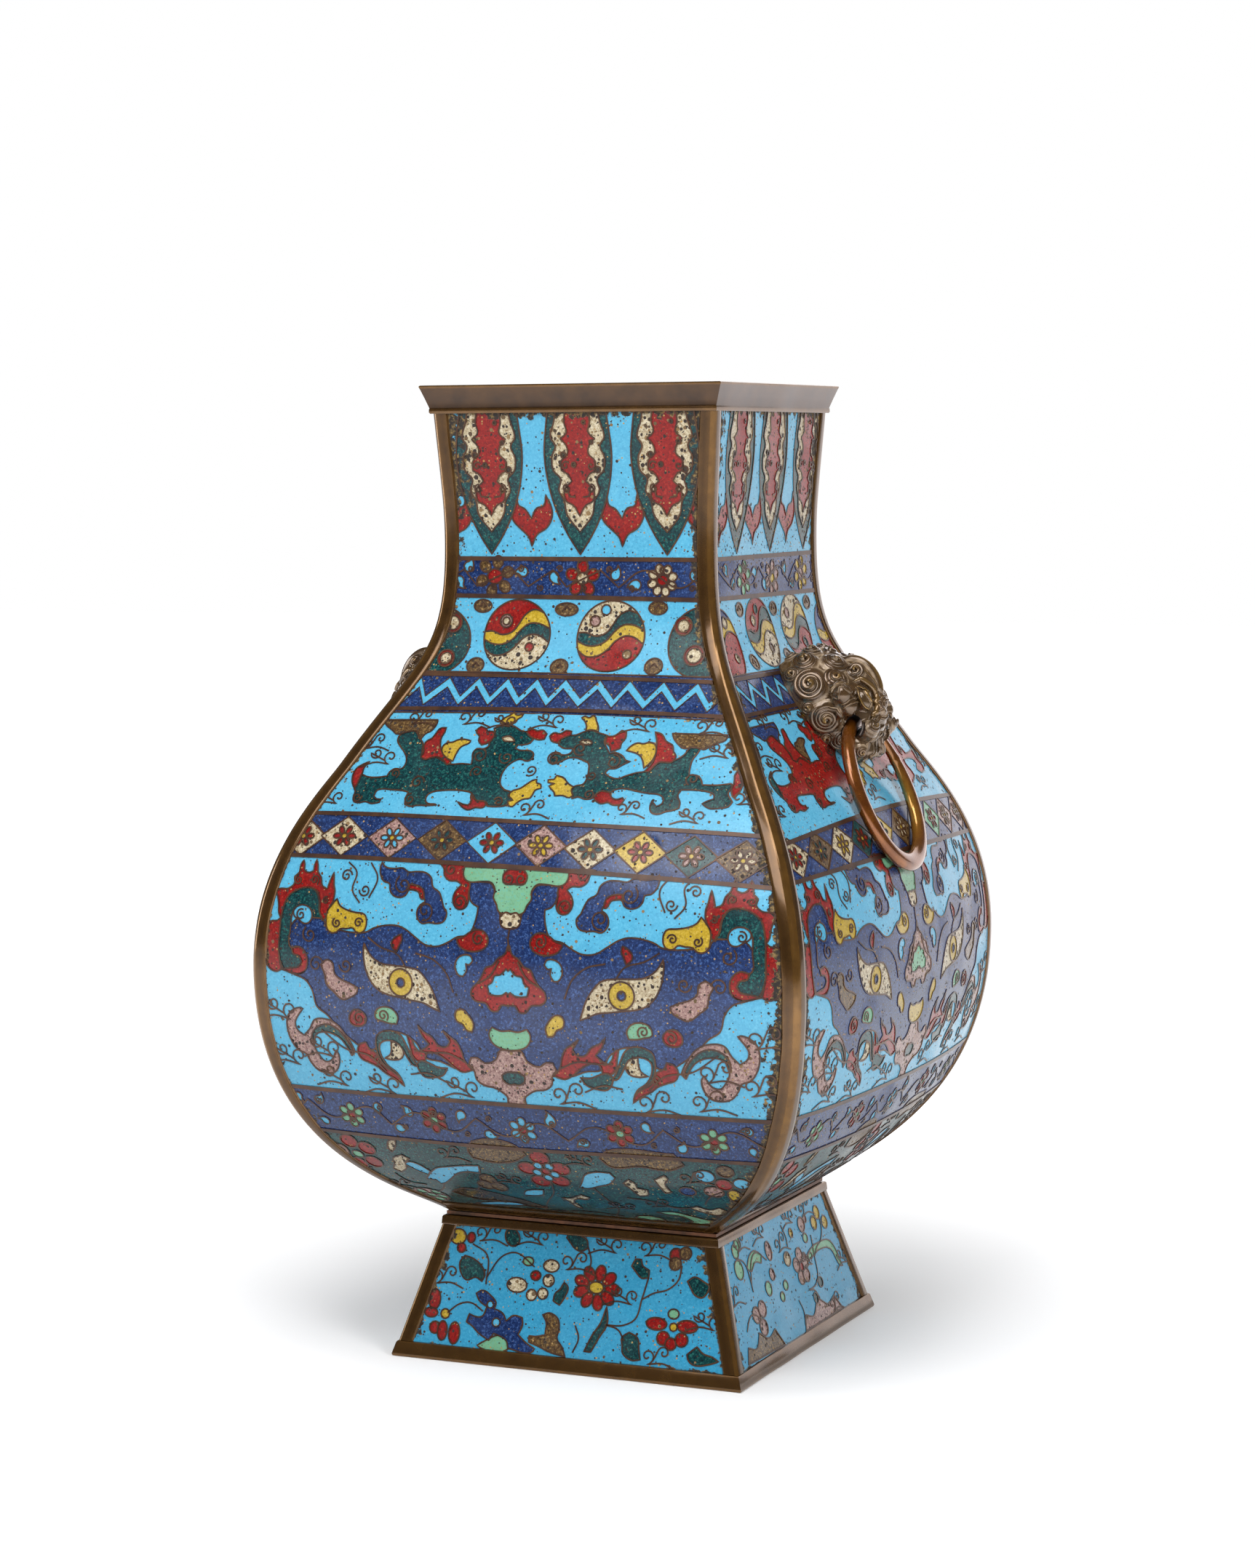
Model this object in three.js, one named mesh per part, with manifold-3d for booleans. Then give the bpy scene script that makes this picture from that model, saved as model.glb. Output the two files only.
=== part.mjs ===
import * as THREE from 'three';
import { mergeVertices } from 'three/addons/utils/BufferGeometryUtils.js';
import Module from 'manifold-3d';

// Square cloisonne vase with a splayed foot, flared rim and two lion masks that hold loose rings.
// Millimetres, +Z up, the front face looks along -Y. The origin is the middle of the foot's underside.
// A half size is measured from the vertical axis to the bronze at the middle line of a face's edge.

// Gap that touching pieces keep, where the real ones are soldered face to face
const gap = 0.3;

// Rim
const rimZ = 400;
const rimHeight = 11;
const rimTopHalf = 66.4;
const rimLowHalf = 62.4;
const rimThick = 3.6;
const rimRound = 1.2;

// Foot's top edge, and how far the body's lower edge stands back from it
const footTopHalf = 61.1;
const baseBack = 0.3;

// Body profile: half width and height of its four stops, with the reach of each curve's handles
const neckHalf = 59.4;
const neckZ = 336.2;
const shoulderHalf = 91.2;
const shoulderZ = 248;
const bellyHalf = 118.5;
const bellyZ = 165.5;
const baseHalf = footTopHalf - baseBack;
const bodyBaseZ = 59.5;
const lipDip = 2.2;
const lipRun = 31;
const neckRise = 14.5;
const neckDrop = 46;
const shoulderLean = 29.2;
const shoulderUp = 47;
const shoulderDown = 13.5;
const bellyRise = 44.6;
const bellyDrop = 80;
const baseLean = 48;
const baseRun = 15.4;
// How far the middle of a face swells past its corners at the belly
const swell = 7.5;

// Wall: enamel lies under the bronze frame, on copper
const enamelDepth = 0.8;
const wallThick = 2;
const ribFlange = 6.5;
const ribLip = 1.2;
const ribCore = 3;
const ribRound = 2.6;
const baseBand = 7;
const floorThick = 1.3;

// Foot
const footBaseHalf = 77.9;
const footThick = 3.4;
const footTopStrip = 3.8;
const footBaseStrip = 6.6;
const footCorner = 6.3;
const footBaseRound = 1.4;

// Lion mask, in its own frame: across the face, up the slope and out from the wall
const maskRise = 208.2;
const maskHalfHeight = 27;
const maskHalfWidth = 22.5;
const maskDome = 25;
const hingeUp = -11;
const hingeOut = 11.6;
const muzzleOut = 27.5;
const rivetUp = 11;
const rivetRadius = 2.4;
const rivetHead = 5.2;
const rivetHeadThick = 2;
const rivetDepth = 7.5;

// Ring: an oval of oval rod, thinner towards one end
const ringHalfWidth = 28;
const ringHalfHeight = 30.4;
const rodRadial = 4;
const rodAxial = 2.75;
const rodThinning = 0.36;
const ringClearance = 0.4;
const ringSwing = 75;

// Middle point of a rounded edge, as a share of its radius in from the corner
const roundNip = 0.29;

// Facets
const wallStations = 22;
const faceSteps = 8;
const ringSteps = 40;
const rodSides = 8;

const wasm = await Module();
wasm.setup();

// Solids as manifolds, for cuts and joins
function toSolid(geometry) {
  const bare = geometry.index ? geometry.toNonIndexed() : geometry.clone();
  bare.deleteAttribute('normal');
  bare.deleteAttribute('uv');
  const merged = mergeVertices(bare, 1e-5);
  return new wasm.Manifold(new wasm.Mesh({
    numProp: 3,
    vertProperties: new Float32Array(merged.attributes.position.array),
    triVerts: new Uint32Array(merged.index.array),
  }));
}

function toGeometry(solid) {
  const mesh = solid.getMesh();
  const geometry = new THREE.BufferGeometry();
  geometry.setAttribute('position', new THREE.BufferAttribute(Float32Array.from(mesh.vertProperties), 3));
  geometry.setIndex(Array.from(mesh.triVerts));
  geometry.computeVertexNormals();
  return geometry;
}

// Closed loft through sections with as many points each; the outline, in its own plane, makes the end faces
function loft(sections, outline) {
  const count = outline.length;
  const positions = sections.flat().flatMap((point) => [point.x, point.y, point.z]);
  const index = [];
  for (let i = 0; i + 1 < sections.length; i++) {
    for (let j = 0; j < count; j++) {
      const k = (j + 1) % count;
      const low = i * count;
      const high = low + count;
      index.push(low + j, low + k, high + k, low + j, high + k, high + j);
    }
  }
  const last = (sections.length - 1) * count;
  const windsLeft = THREE.ShapeUtils.area(outline) > 0;
  for (const triangle of THREE.ShapeUtils.triangulateShape(outline, [])) {
    const turnsLeft = THREE.ShapeUtils.area(triangle.map((i) => outline[i])) > 0;
    const [a, b, c] = turnsLeft === windsLeft ? triangle : triangle.toReversed();
    index.push(a, c, b, last + a, last + b, last + c);
  }
  const geometry = new THREE.BufferGeometry();
  geometry.setAttribute('position', new THREE.Float32BufferAttribute(positions, 3));
  geometry.setIndex(facingOut(positions, index));
  geometry.computeVertexNormals();
  return geometry;
}

// Turns a closed mesh's triangles over where its volume comes out negative
function facingOut(positions, index) {
  let volume = 0;
  const corner = (i) => new THREE.Vector3().fromArray(positions, index[i] * 3);
  for (let i = 0; i < index.length; i += 3) volume += corner(i).dot(corner(i + 1).cross(corner(i + 2)));
  if (volume < 0) {
    for (let i = 0; i < index.length; i += 3) [index[i + 1], index[i + 2]] = [index[i + 2], index[i + 1]];
  }
  return index;
}

// Wall of the body: a path of half width and height, from the body's base up to the rim
const rimLowZ = rimZ - rimHeight;
const wallTopZ = rimLowZ - gap;

function bodyPath() {
  const base = new THREE.Vector2(baseHalf, bodyBaseZ);
  const belly = new THREE.Vector2(bellyHalf, bellyZ);
  const shoulder = new THREE.Vector2(shoulderHalf, shoulderZ);
  const neck = new THREE.Vector2(neckHalf, neckZ);
  const lip = new THREE.Vector2(rimLowHalf, wallTopZ);
  const outAndUp = aim(baseLean);
  const inAndUp = aim(-shoulderLean);
  const path = new THREE.CurvePath();
  path.add(new THREE.CubicBezierCurve(
    base, base.clone().addScaledVector(outAndUp, baseRun), step(belly, 0, -bellyDrop), belly));
  path.add(new THREE.CubicBezierCurve(
    belly, step(belly, 0, bellyRise), shoulder.clone().addScaledVector(inAndUp, -shoulderDown), shoulder));
  path.add(new THREE.CubicBezierCurve(
    shoulder, shoulder.clone().addScaledVector(inAndUp, shoulderUp), step(neck, 0, -neckDrop), neck));
  path.add(new THREE.CubicBezierCurve(neck, step(neck, 0, neckRise), step(lip, -lipDip, -lipRun), lip));
  return path;
}

// Direction that leans from straight up, outwards where the angle in degrees is positive
function aim(lean) {
  const angle = THREE.MathUtils.degToRad(lean);
  return new THREE.Vector2(Math.sin(angle), Math.cos(angle));
}

function step(point, across, up) {
  return new THREE.Vector2(point.x + across, point.y + up);
}

// A wall gives, at a height along its path, the point, the direction up and the direction out
function makeWall(path, bulge) {
  const length = path.getLength();
  return {
    length,
    bulge,
    at(run) {
      const share = THREE.MathUtils.clamp(run / length, 0, 1);
      const point = path.getPoint(share);
      const up = path.getTangent(THREE.MathUtils.clamp(share, 0.0002, 0.9998));
      return { point, up, out: new THREE.Vector2(up.y, -up.x), level: endLevel(share, point) };
    },
  };
}

// The two ends of a wall are cut level
function endLevel(share, point) {
  return share === 0 || share === 1 ? point.y : null;
}

// Place on the front wall: inset from the corner line on either side, and depth under the bronze
function onWall(place, bulge, across, depth) {
  const { point, up, out, level } = place;
  let half = point.x - depth * out.x;
  let z = point.y - depth * out.y;
  if (level !== null) {
    half += (up.x / up.y) * (level - z);
    z = level;
  }
  const u = across(half);
  const rise = bulge(point.x) * (1 - (u / half) ** 2);
  const outwards = level === null ? out : new THREE.Vector2(1 / out.x, 0);
  return new THREE.Vector3(u, -(half + rise * outwards.x), z + rise * outwards.y);
}

const bodyWall = makeWall(bodyPath(), (half) => {
  const share = (half - neckHalf) / (bellyHalf - neckHalf);
  return swell * THREE.MathUtils.clamp(share, 0, 1) * endFade(half);
});

// The swell runs out at the base, where the half width comes back to the neck's
function endFade(half) {
  return THREE.MathUtils.smoothstep(half, baseHalf, baseHalf + baseRun);
}

// Foot: half width at a height, on the outer bronze line, and the wall between its two strips
const footTopZ = bodyBaseZ - 2 * gap - floorThick;
const footHalfAt = (z) => footBaseHalf - ((footBaseHalf - footTopHalf) * z) / footTopZ;
const footRise = Math.hypot(footBaseHalf - footTopHalf, footTopZ) / footTopZ;
const footStripTopZ = footBaseStrip / footRise;
const footStripLowZ = footTopZ - footTopStrip / footRise;
const footWall = makeWall(new THREE.LineCurve(
  new THREE.Vector2(footHalfAt(footStripTopZ + gap), footStripTopZ + gap),
  new THREE.Vector2(footHalfAt(footStripLowZ - gap), footStripLowZ - gap)), () => 0);

// Heights along a wall between two stops, which are both included
function stations(from, to, steps) {
  return Array.from({ length: steps + 1 }, (_, i) => from + ((to - from) * i) / steps);
}

const panelFrom = baseBand + gap;
const bodyRuns = [0, ...stations(panelFrom, bodyWall.length, wallStations)];

// Panel between two corner ribs: a tongue on each side slips under the rib's lip
function panelOutline(wallDepth, tongueDepth, flange, core, steps) {
  const tongue = (side) => ({ side, inset: core + gap, share: 1, depth: tongueDepth });
  const shelf = (side) => ({ side, inset: flange + gap, share: 1, depth: tongueDepth });
  const face = acrossSteps(steps, flange + gap, enamelDepth);
  const back = acrossSteps(steps / 2, core + gap, wallDepth).reverse();
  return [tongue(-1), shelf(-1), ...face, shelf(1), tongue(1), ...back];
}

// Outline points from the left edge of a face to the right one
function acrossSteps(steps, inset, depth) {
  return Array.from({ length: steps + 1 }, (_, i) => {
    const share = (2 * i) / steps - 1;
    return { side: share < 0 ? -1 : 1, inset, share: Math.abs(share), depth };
  });
}

// Side, 1 or -1, with the share of the way from the middle to a place inset from the corner line
function acrossOf({ side, inset, share }) {
  return (half) => side * share * (half - inset);
}

function loftOnWall(wall, runs, outline) {
  const sections = runs.map((run) => {
    const place = wall.at(run);
    return outline.map((point) => onWall(place, wall.bulge, acrossOf(point), point.depth));
  });
  const flat = outline.map((point) => new THREE.Vector2(acrossOf(point)(100), point.depth));
  return loft(sections, flat);
}

function bodyPanel() {
  const outline = panelOutline(enamelDepth + wallThick, ribLip + gap, ribFlange, ribCore, faceSteps);
  return loftOnWall(bodyWall, bodyRuns.slice(1), outline);
}

// Strip across the foot of a body face, between the ribs
function bodyBaseStrip() {
  const inset = ribFlange + gap;
  const face = acrossSteps(faceSteps / 2, inset, 0);
  const back = acrossSteps(1, inset, enamelDepth + wallThick).reverse();
  const outline = [...face, ...back];
  return loftOnWall(bodyWall, [0, baseBand], outline);
}

// Corner rib: an L of two flanges with a rounded arris and a core that the panels' tongues meet.
// Its outline is measured inwards from the two faces' corner line.
function ribOutline(flange, lip, core, depth, round) {
  const points = [[flange, 0], [round, 0]];
  for (const share of [0.25, 0.5, 0.75]) {
    const angle = (share * Math.PI) / 2;
    points.push([round - round * Math.sin(angle), round - round * Math.cos(angle)]);
  }
  points.push([0, round], [0, flange], [lip, flange + lip]);
  points.push([lip, core + lip], [depth, core + depth], [core + depth, depth]);
  points.push([core + lip, lip], [flange + lip, lip]);
  return points;
}

// Place of a rib's outline point: it lies on the front wall or, past the mitre, on the right wall
function onCorner(place, bulge, [sideways, inwards]) {
  const onFront = sideways >= inwards;
  const depth = Math.min(sideways, inwards);
  const inset = Math.max(sideways, inwards) - depth;
  const point = onWall(place, bulge, (half) => half - inset, depth);
  return onFront ? point : new THREE.Vector3(-point.y, -point.x, point.z);
}

function cornerRib(wall, runs, outline) {
  const sections = runs.map((run) => {
    const place = wall.at(run);
    return outline.map((pair) => onCorner(place, wall.bulge, pair));
  });
  return loft(sections, outline.map(([a, b]) => new THREE.Vector2(a, b)));
}

// Straight bar with the given section of half width and height, mitred at both corners
function mitredBar(section) {
  const mitre = gap / Math.SQRT2;
  const end = (side) => section.map(([half, z]) => new THREE.Vector3(side * (half - mitre), -half, z));
  return loft([end(-1), end(1)], section.map(([half, z]) => new THREE.Vector2(half, z)));
}

function rimStrip() {
  const flare = (rimTopHalf - rimLowHalf) / rimHeight;
  const round = rimRound;
  const nip = round * roundNip;
  const innerHalf = rimTopHalf - rimThick;
  return mitredBar([
    [rimLowHalf, rimLowZ],
    [rimTopHalf - flare * round, rimZ - round],
    [rimTopHalf - nip, rimZ - nip],
    [rimTopHalf - round, rimZ],
    [innerHalf + round, rimZ],
    [innerHalf + nip, rimZ - nip],
    [innerHalf - flare * round, rimZ - round],
    [rimLowHalf - enamelDepth - wallThick, rimLowZ],
  ]);
}

function bodyFloor() {
  const side = 2 * (Math.min(baseHalf, footTopHalf) - gap);
  return new THREE.BoxGeometry(side, side, floorThick).translate(0, 0, bodyBaseZ - gap - floorThick / 2);
}

function footTopBar() {
  const low = footStripLowZ;
  return mitredBar([
    [footHalfAt(low), low],
    [footTopHalf, footTopZ],
    [footTopHalf - footThick, footTopZ],
    [footHalfAt(low) - footThick, low],
  ]);
}

function footBaseBar() {
  const top = footStripTopZ;
  const round = footBaseRound;
  return mitredBar([
    [footBaseHalf - round, 0],
    [footBaseHalf - round * roundNip, round * roundNip],
    [footHalfAt(round), round],
    [footHalfAt(top), top],
    [footHalfAt(top) - footThick, top],
    [footBaseHalf - footThick - round, 0],
  ]);
}

const footRuns = [0, footWall.length];

function footCornerStrip() {
  const outline = ribOutline(footCorner, ribLip, ribCore, footThick - gap, footBaseRound);
  return cornerRib(footWall, footRuns, outline);
}

function footPanel() {
  const outline = panelOutline(enamelDepth + wallThick, ribLip + gap, footCorner, ribCore, 2);
  return loftOnWall(footWall, footRuns, outline);
}

// Lion mask's frame on the right wall: across is along +Y, up follows the slope, out leaves the wall
function maskFrame() {
  const place = bodyWall.at(maskRise + maskHalfHeight);
  const low = bodyWall.at(maskRise).point;
  const high = bodyWall.at(maskRise + 2 * maskHalfHeight).point;
  const slope = high.clone().sub(low).normalize();
  const seat = onWall(place, bodyWall.bulge, () => 0, enamelDepth);
  const up = new THREE.Vector3(slope.x, 0, slope.y);
  const across = new THREE.Vector3(0, 1, 0);
  const out = new THREE.Vector3().crossVectors(across, up);
  const frame = new THREE.Matrix4().makeBasis(across, up, out);
  return frame.setPosition(-seat.y, 0, seat.z);
}

const mask = maskFrame();
const hinge = new THREE.Vector3(0, hingeUp, hingeOut).applyMatrix4(mask);

// Dome of the mask: half-oval sections from the beard up to the crown
function maskDomeForm() {
  const rows = 9;
  const columns = 10;
  const outline = Array.from({ length: columns + 1 }, (_, j) => {
    const angle = (Math.PI * j) / columns;
    return new THREE.Vector2(Math.cos(angle), Math.sin(angle) ** 0.8);
  });
  const back = -0.5;
  outline.push(new THREE.Vector2(-1, back), new THREE.Vector2(1, back));
  const sections = Array.from({ length: rows + 1 }, (_, i) => {
    const rise = (2 * i) / rows - 1;
    const wide = maskHalfWidth * domeWidth(rise);
    const tall = maskDome * domeHeight(rise);
    return outline.map(({ x, y }) => new THREE.Vector3(
      x * wide, rise * maskHalfHeight, y < 0 ? y * maskDome : y * tall));
  });
  return loft(sections, outline);
}

// Shares of the dome's width and height at a rise from -1, the beard's tip, to 1, the crown
function domeWidth(rise) {
  const round = 1 - 0.68 * Math.abs(rise - 0.12) ** 3.2;
  return round * (rise < 0 ? 1 + 0.42 * rise : 1);
}

function domeHeight(rise) {
  const round = 0.2 + 0.8 * Math.sqrt(Math.max(0, 1 - Math.abs(rise) ** 2.4));
  return round * (rise > 0 ? 1 - 0.2 * rise : 1 + 0.35 * rise);
}

// Place or size on the mask, from shares of its half width, half height and muzzle
function onMask(across, up, out) {
  return [across * maskHalfWidth, up * maskHalfHeight, out * muzzleOut];
}

// Ellipsoid with its centre and half sizes across, up and out
function swelling(centre, halves, detail = 7) {
  const ball = new THREE.SphereGeometry(1, detail, Math.ceil(detail * 0.65));
  return ball.scale(...onMask(...halves)).translate(...onMask(...centre));
}

// Snail-shell curl of hair: a stepped rim round a raised button, tilted to lie on the dome
function snailCurl(centre, share, tiltUp, tiltOut) {
  const radius = share * maskHalfWidth;
  const profile = [[0, -0.3], [1, -0.3], [0.85, 0.42], [0.5, 0.2], [0.25, 0.66], [0, 0.7]];
  const curl = new THREE.LatheGeometry(profile.map(([r, h]) => new THREE.Vector2(r * radius, h * radius)), 7);
  const side = Math.sign(centre[0]);
  curl.rotateX(Math.PI / 2).rotateX(-tiltUp).rotateY(side * tiltOut);
  return curl.translate(...onMask(...centre));
}

// Ridge along a curve, such as a brow, as a round rod
function ridge(points, share) {
  const curve = new THREE.CatmullRomCurve3(points.map((point) => new THREE.Vector3(...onMask(...point))));
  const section = new THREE.Shape().absarc(0, 0, share * maskHalfWidth, 0, 2 * Math.PI);
  return new THREE.ExtrudeGeometry(section, { steps: 5, curveSegments: 2, extrudePath: curve });
}

// Muzzle, nose and the middle lock of the beard
function maskMiddle() {
  return [
    swelling([0, -0.41, 0.455], [0.58, 0.425, 0.545], 12),
    swelling([0, -0.34, 0.91], [0.16, 0.17, 0.116]),
    swelling([0, -0.925, 0.345], [0.124, 0.2, 0.153]),
  ];
}

// Features of one half of the face: hair curls, ear, eye, nostril, beard locks and brow
function maskHalf(side) {
  const at = (across, up, out) => [side * across, up, out];
  const brow = [at(0.07, -0.28, 0.945), at(0.16, -0.02, 0.96), at(0.38, 0.07, 0.895), at(0.59, -0.06, 0.69)];
  return [
    snailCurl(at(0.31, 0.76, 0.455), 0.222, 0.75, 0.25),
    snailCurl(at(0.35, 0.35, 0.745), 0.204, 0.4, 0.3),
    snailCurl(at(0.755, 0.425, 0.4), 0.275, 0.4, 0.95),
    snailCurl(at(0.845, -0.13, 0.345), 0.265, 0, 1.1),
    snailCurl(at(0.735, -0.575, 0.2), 0.222, -0.3, 0.8),
    snailCurl(at(0.355, -0.635, 0.71), 0.187, -0.7, 0.6),
    swelling(at(0.6, 0.06, 0.625), [0.187, 0.17, 0.116]),
    swelling(at(0.33, -0.155, 0.807), [0.204, 0.12, 0.13]),
    swelling(at(0.13, -0.495, 0.895), [0.115, 0.08, 0.087]),
    swelling(at(0.205, -0.85, 0.4), [0.124, 0.2, 0.16]),
    swelling(at(0.4, -0.74, 0.364), [0.124, 0.185, 0.145]),
    ridge(brow, 0.075),
  ];
}

// Bore that the ring's top lies in: narrow in the middle, wider at both cheeks
function trumpetBore() {
  const reach = ringHalfWidth * 0.56;
  const steps = 4;
  const sides = 14;
  const rod = (rodRadial * 0.85 + ringClearance) / Math.cos(Math.PI / sides);
  const profile = [new THREE.Vector2(0, -reach)];
  for (let i = -steps; i <= steps; i++) {
    const y = (reach * i) / steps;
    profile.push(new THREE.Vector2(rod + ringSag(Math.abs(y)), y));
  }
  profile.push(new THREE.Vector2(0, reach));
  return new THREE.LatheGeometry(profile, sides).translate(hinge.x, hinge.y, hinge.z);
}

// Drop of the ring's middle line below its top, at a distance from its centre line
function ringSag(y) {
  return ringHalfHeight * (1 - Math.sqrt(Math.max(0, 1 - (y / ringHalfWidth) ** 2)));
}

// Room that one leg of the ring sweeps beside the muzzle, from its rest to the end of its swing
function legSweep(side, lean) {
  const steps = 9;
  const outline = [...legEdge(1), ...legEdge(-1).reverse()];
  const swing = THREE.MathUtils.degToRad(ringSwing);
  const section = (angle, offset) => outline.map(({ x, y }) => new THREE.Vector3(
    hinge.x + x * Math.sin(angle) + offset * Math.cos(angle), side * y,
    hinge.z - x * Math.cos(angle) + offset * Math.sin(angle)));
  const room = rodAxial + ringClearance;
  const turned = Array.from({ length: steps + 1 }, (_, i) => section(lean + (swing * i) / steps, 0));
  return loft([section(lean, -room), ...turned, section(lean + swing, room)], outline);
}

// Inner or outer edge of the ring's leg with its clearance: x is the reach from the hinge
function legEdge(side) {
  const room = side * (rodRadial * 0.9 + ringClearance);
  return [30, 42, 54, 68, 90].map((degrees) => {
    const angle = THREE.MathUtils.degToRad(degrees);
    const across = ringHalfWidth * Math.cos(angle);
    const inwards = new THREE.Vector2(across, -ringHalfHeight * Math.sin(angle)).normalize();
    const x = ringHalfHeight * (1 - Math.cos(angle)) + room * inwards.x;
    const y = ringHalfWidth * Math.sin(angle) + room * inwards.y;
    return new THREE.Vector2(Math.max(x, ringClearance), y);
  });
}

// Block from just over the wall's enamel inwards, so that the mask is cut to sit on the wall
function wallBlock() {
  const half = maskHalfWidth * 1.6;
  const steps = 6;
  const face = stations(-half, half, steps).map((u) => ({ u, depth: enamelDepth - gap }));
  const outline = [...face, { u: half, depth: maskDome }, { u: -half, depth: maskDome }];
  const reach = 3 * maskHalfHeight;
  const middle = maskRise + maskHalfHeight;
  const sections = bodyRuns.filter((run) => Math.abs(run - middle) < reach).map((run) => {
    const spot = bodyWall.at(run);
    return outline.map(({ u, depth }) => {
      const point = onWall(spot, bodyWall.bulge, () => u, depth);
      return new THREE.Vector3(-point.y, u, point.z);
    });
  });
  return loft(sections, outline.map(({ u, depth }) => new THREE.Vector2(u, depth)));
}

function rivetPin(radius, from, to) {
  const pin = new THREE.CylinderGeometry(radius, radius, to - from, 14);
  return pin.rotateX(Math.PI / 2).translate(0, rivetUp, (from + to) / 2).applyMatrix4(mask);
}

// Level of the wall's inner face under the rivet, measured out from the mask's seat
function innerLevel() {
  const back = mask.clone().invert();
  const levels = [-rivetHead, 0, rivetHead].map((offset) => {
    const run = maskRise + maskHalfHeight + rivetUp + offset;
    const point = onWall(bodyWall.at(run), bodyWall.bulge, () => 0, enamelDepth + wallThick);
    return new THREE.Vector3(-point.y, 0, point.z).applyMatrix4(back).z;
  });
  return Math.min(...levels);
}

// Rivet that holds the mask: its head lies inside the wall and its shank ends in the mask's back
function maskRivet() {
  const head = rivetPin(rivetHead, innerLevel() - gap - rivetHeadThick, innerLevel() - gap);
  const shank = rivetPin(rivetRadius, innerLevel() - gap - rivetHeadThick / 2, rivetDepth - gap);
  return toGeometry(toSolid(head).add(toSolid(shank)));
}

function drilled(panel) {
  return toGeometry(toSolid(panel).subtract(toSolid(rivetPin(rivetRadius + gap, -maskDome, maskDome))));
}

function lionMask(lean) {
  let solid = toSolid(maskDomeForm());
  for (const form of [...maskMiddle(), ...maskHalf(-1), ...maskHalf(1)]) solid = solid.add(toSolid(form));
  solid = toSolid(toGeometry(solid).applyMatrix4(mask));
  for (const cut of [
    wallBlock(), trumpetBore(), legSweep(-1, lean), legSweep(1, lean),
    rivetPin(rivetRadius + gap, -maskDome, rivetDepth),
  ]) solid = solid.subtract(toSolid(cut));
  return toGeometry(largest(solid));
}

// The cuts may leave a crumb of a curl apart from the mask, which is dropped
function largest(solid) {
  return solid.decompose().sort((a, b) => b.volume() - a.volume())[0];
}

// Rod size round the ring, as a share of its full size: thinner high on one leg
function rodShare(angle) {
  const away = Math.atan2(Math.sin(angle - 2.5), Math.cos(angle - 2.5));
  return 1 - rodThinning * Math.exp(-((away / 0.85) ** 2));
}

// Ring's middle line and rod directions at an angle from its lowest point, hung from the hinge at a lean
function ringPlace(angle, lean) {
  const down = new THREE.Vector3(Math.sin(lean), 0, -Math.cos(lean));
  const axial = new THREE.Vector3(Math.cos(lean), 0, Math.sin(lean));
  const across = new THREE.Vector3(0, 1, 0);
  const point = hinge.clone().addScaledVector(down, ringHalfHeight * (1 + Math.cos(angle)));
  point.addScaledVector(across, ringHalfWidth * Math.sin(angle));
  const radial = down.multiplyScalar(ringHalfWidth * Math.cos(angle));
  radial.addScaledVector(across, ringHalfHeight * Math.sin(angle)).normalize();
  const share = rodShare(angle);
  return {
    point, radial, axial,
    halfRadial: rodRadial * share * (1 - 0.15 * (0.5 - 0.5 * Math.cos(angle))),
    halfAxial: rodAxial * share,
  };
}

// Least clearance of the ring's lower part to the wall at a lean
function ringToWall(lean) {
  let least = Infinity;
  for (let i = -15; i <= 15; i++) {
    const place = ringPlace((i / 15) * 2.1, lean);
    const u = place.point.y;
    for (const run of stations(maskRise - 60, maskRise + 20, 80)) {
      const spot = bodyWall.at(run);
      const wall = onWall(spot, bodyWall.bulge, () => u, enamelDepth);
      const out = new THREE.Vector3(spot.out.x, 0, spot.out.y);
      const away = place.point.clone().sub(new THREE.Vector3(-wall.y, u, wall.z));
      const along = Math.abs(away.dot(new THREE.Vector3(spot.up.x, 0, spot.up.y)));
      if (along > 1) continue;
      const radial = place.halfRadial * out.dot(place.radial);
      const reach = Math.hypot(radial, place.halfAxial * out.dot(place.axial));
      least = Math.min(least, away.dot(out) - reach);
    }
  }
  return least;
}

// Lean at which the ring comes to rest against the shoulder
function restLean() {
  let low = 0;
  let high = Math.PI / 2;
  for (let i = 0; i < 24; i++) {
    const middle = (low + high) / 2;
    if (ringToWall(middle) < ringClearance) low = middle;
    else high = middle;
  }
  return high;
}

function looseRing(lean) {
  const outline = Array.from({ length: rodSides }, (_, j) => {
    const turn = (2 * Math.PI * (j + 0.5)) / rodSides;
    return new THREE.Vector2(Math.cos(turn), Math.sin(turn));
  });
  const positions = [];
  const index = [];
  for (let i = 0; i < ringSteps; i++) {
    const place = ringPlace((2 * Math.PI * i) / ringSteps, lean);
    for (const { x, y } of outline) {
      const point = place.point.clone();
      point.addScaledVector(place.radial, x * place.halfRadial);
      point.addScaledVector(place.axial, y * place.halfAxial);
      positions.push(...point.toArray());
    }
    for (let j = 0; j < rodSides; j++) {
      const k = (j + 1) % rodSides;
      const here = i * rodSides;
      const next = ((i + 1) % ringSteps) * rodSides;
      index.push(here + j, here + k, next + k, here + j, next + k, next + j);
    }
  }
  const geometry = new THREE.BufferGeometry();
  geometry.setAttribute('position', new THREE.Float32BufferAttribute(positions, 3));
  geometry.setIndex(facingOut(positions, index));
  geometry.computeVertexNormals();
  return geometry;
}

// Assembly
const group = new THREE.Group();

function finish(color, roughness, metalness) {
  return () => new THREE.MeshStandardMaterial({ color, roughness, metalness });
}

const enamel = finish('#5fbfdc', 0.25, 0);
const footEnamel = finish('#4fb2d2', 0.25, 0);
const bronze = finish('#6b4a28', 0.35, 0.9);
const copper = finish('#9a5b3a', 0.5, 0.9);
const maskBronze = finish('#4a3c2c', 0.45, 0.8);
const ringCopper = finish('#8a4a1c', 0.2, 1);

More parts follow.
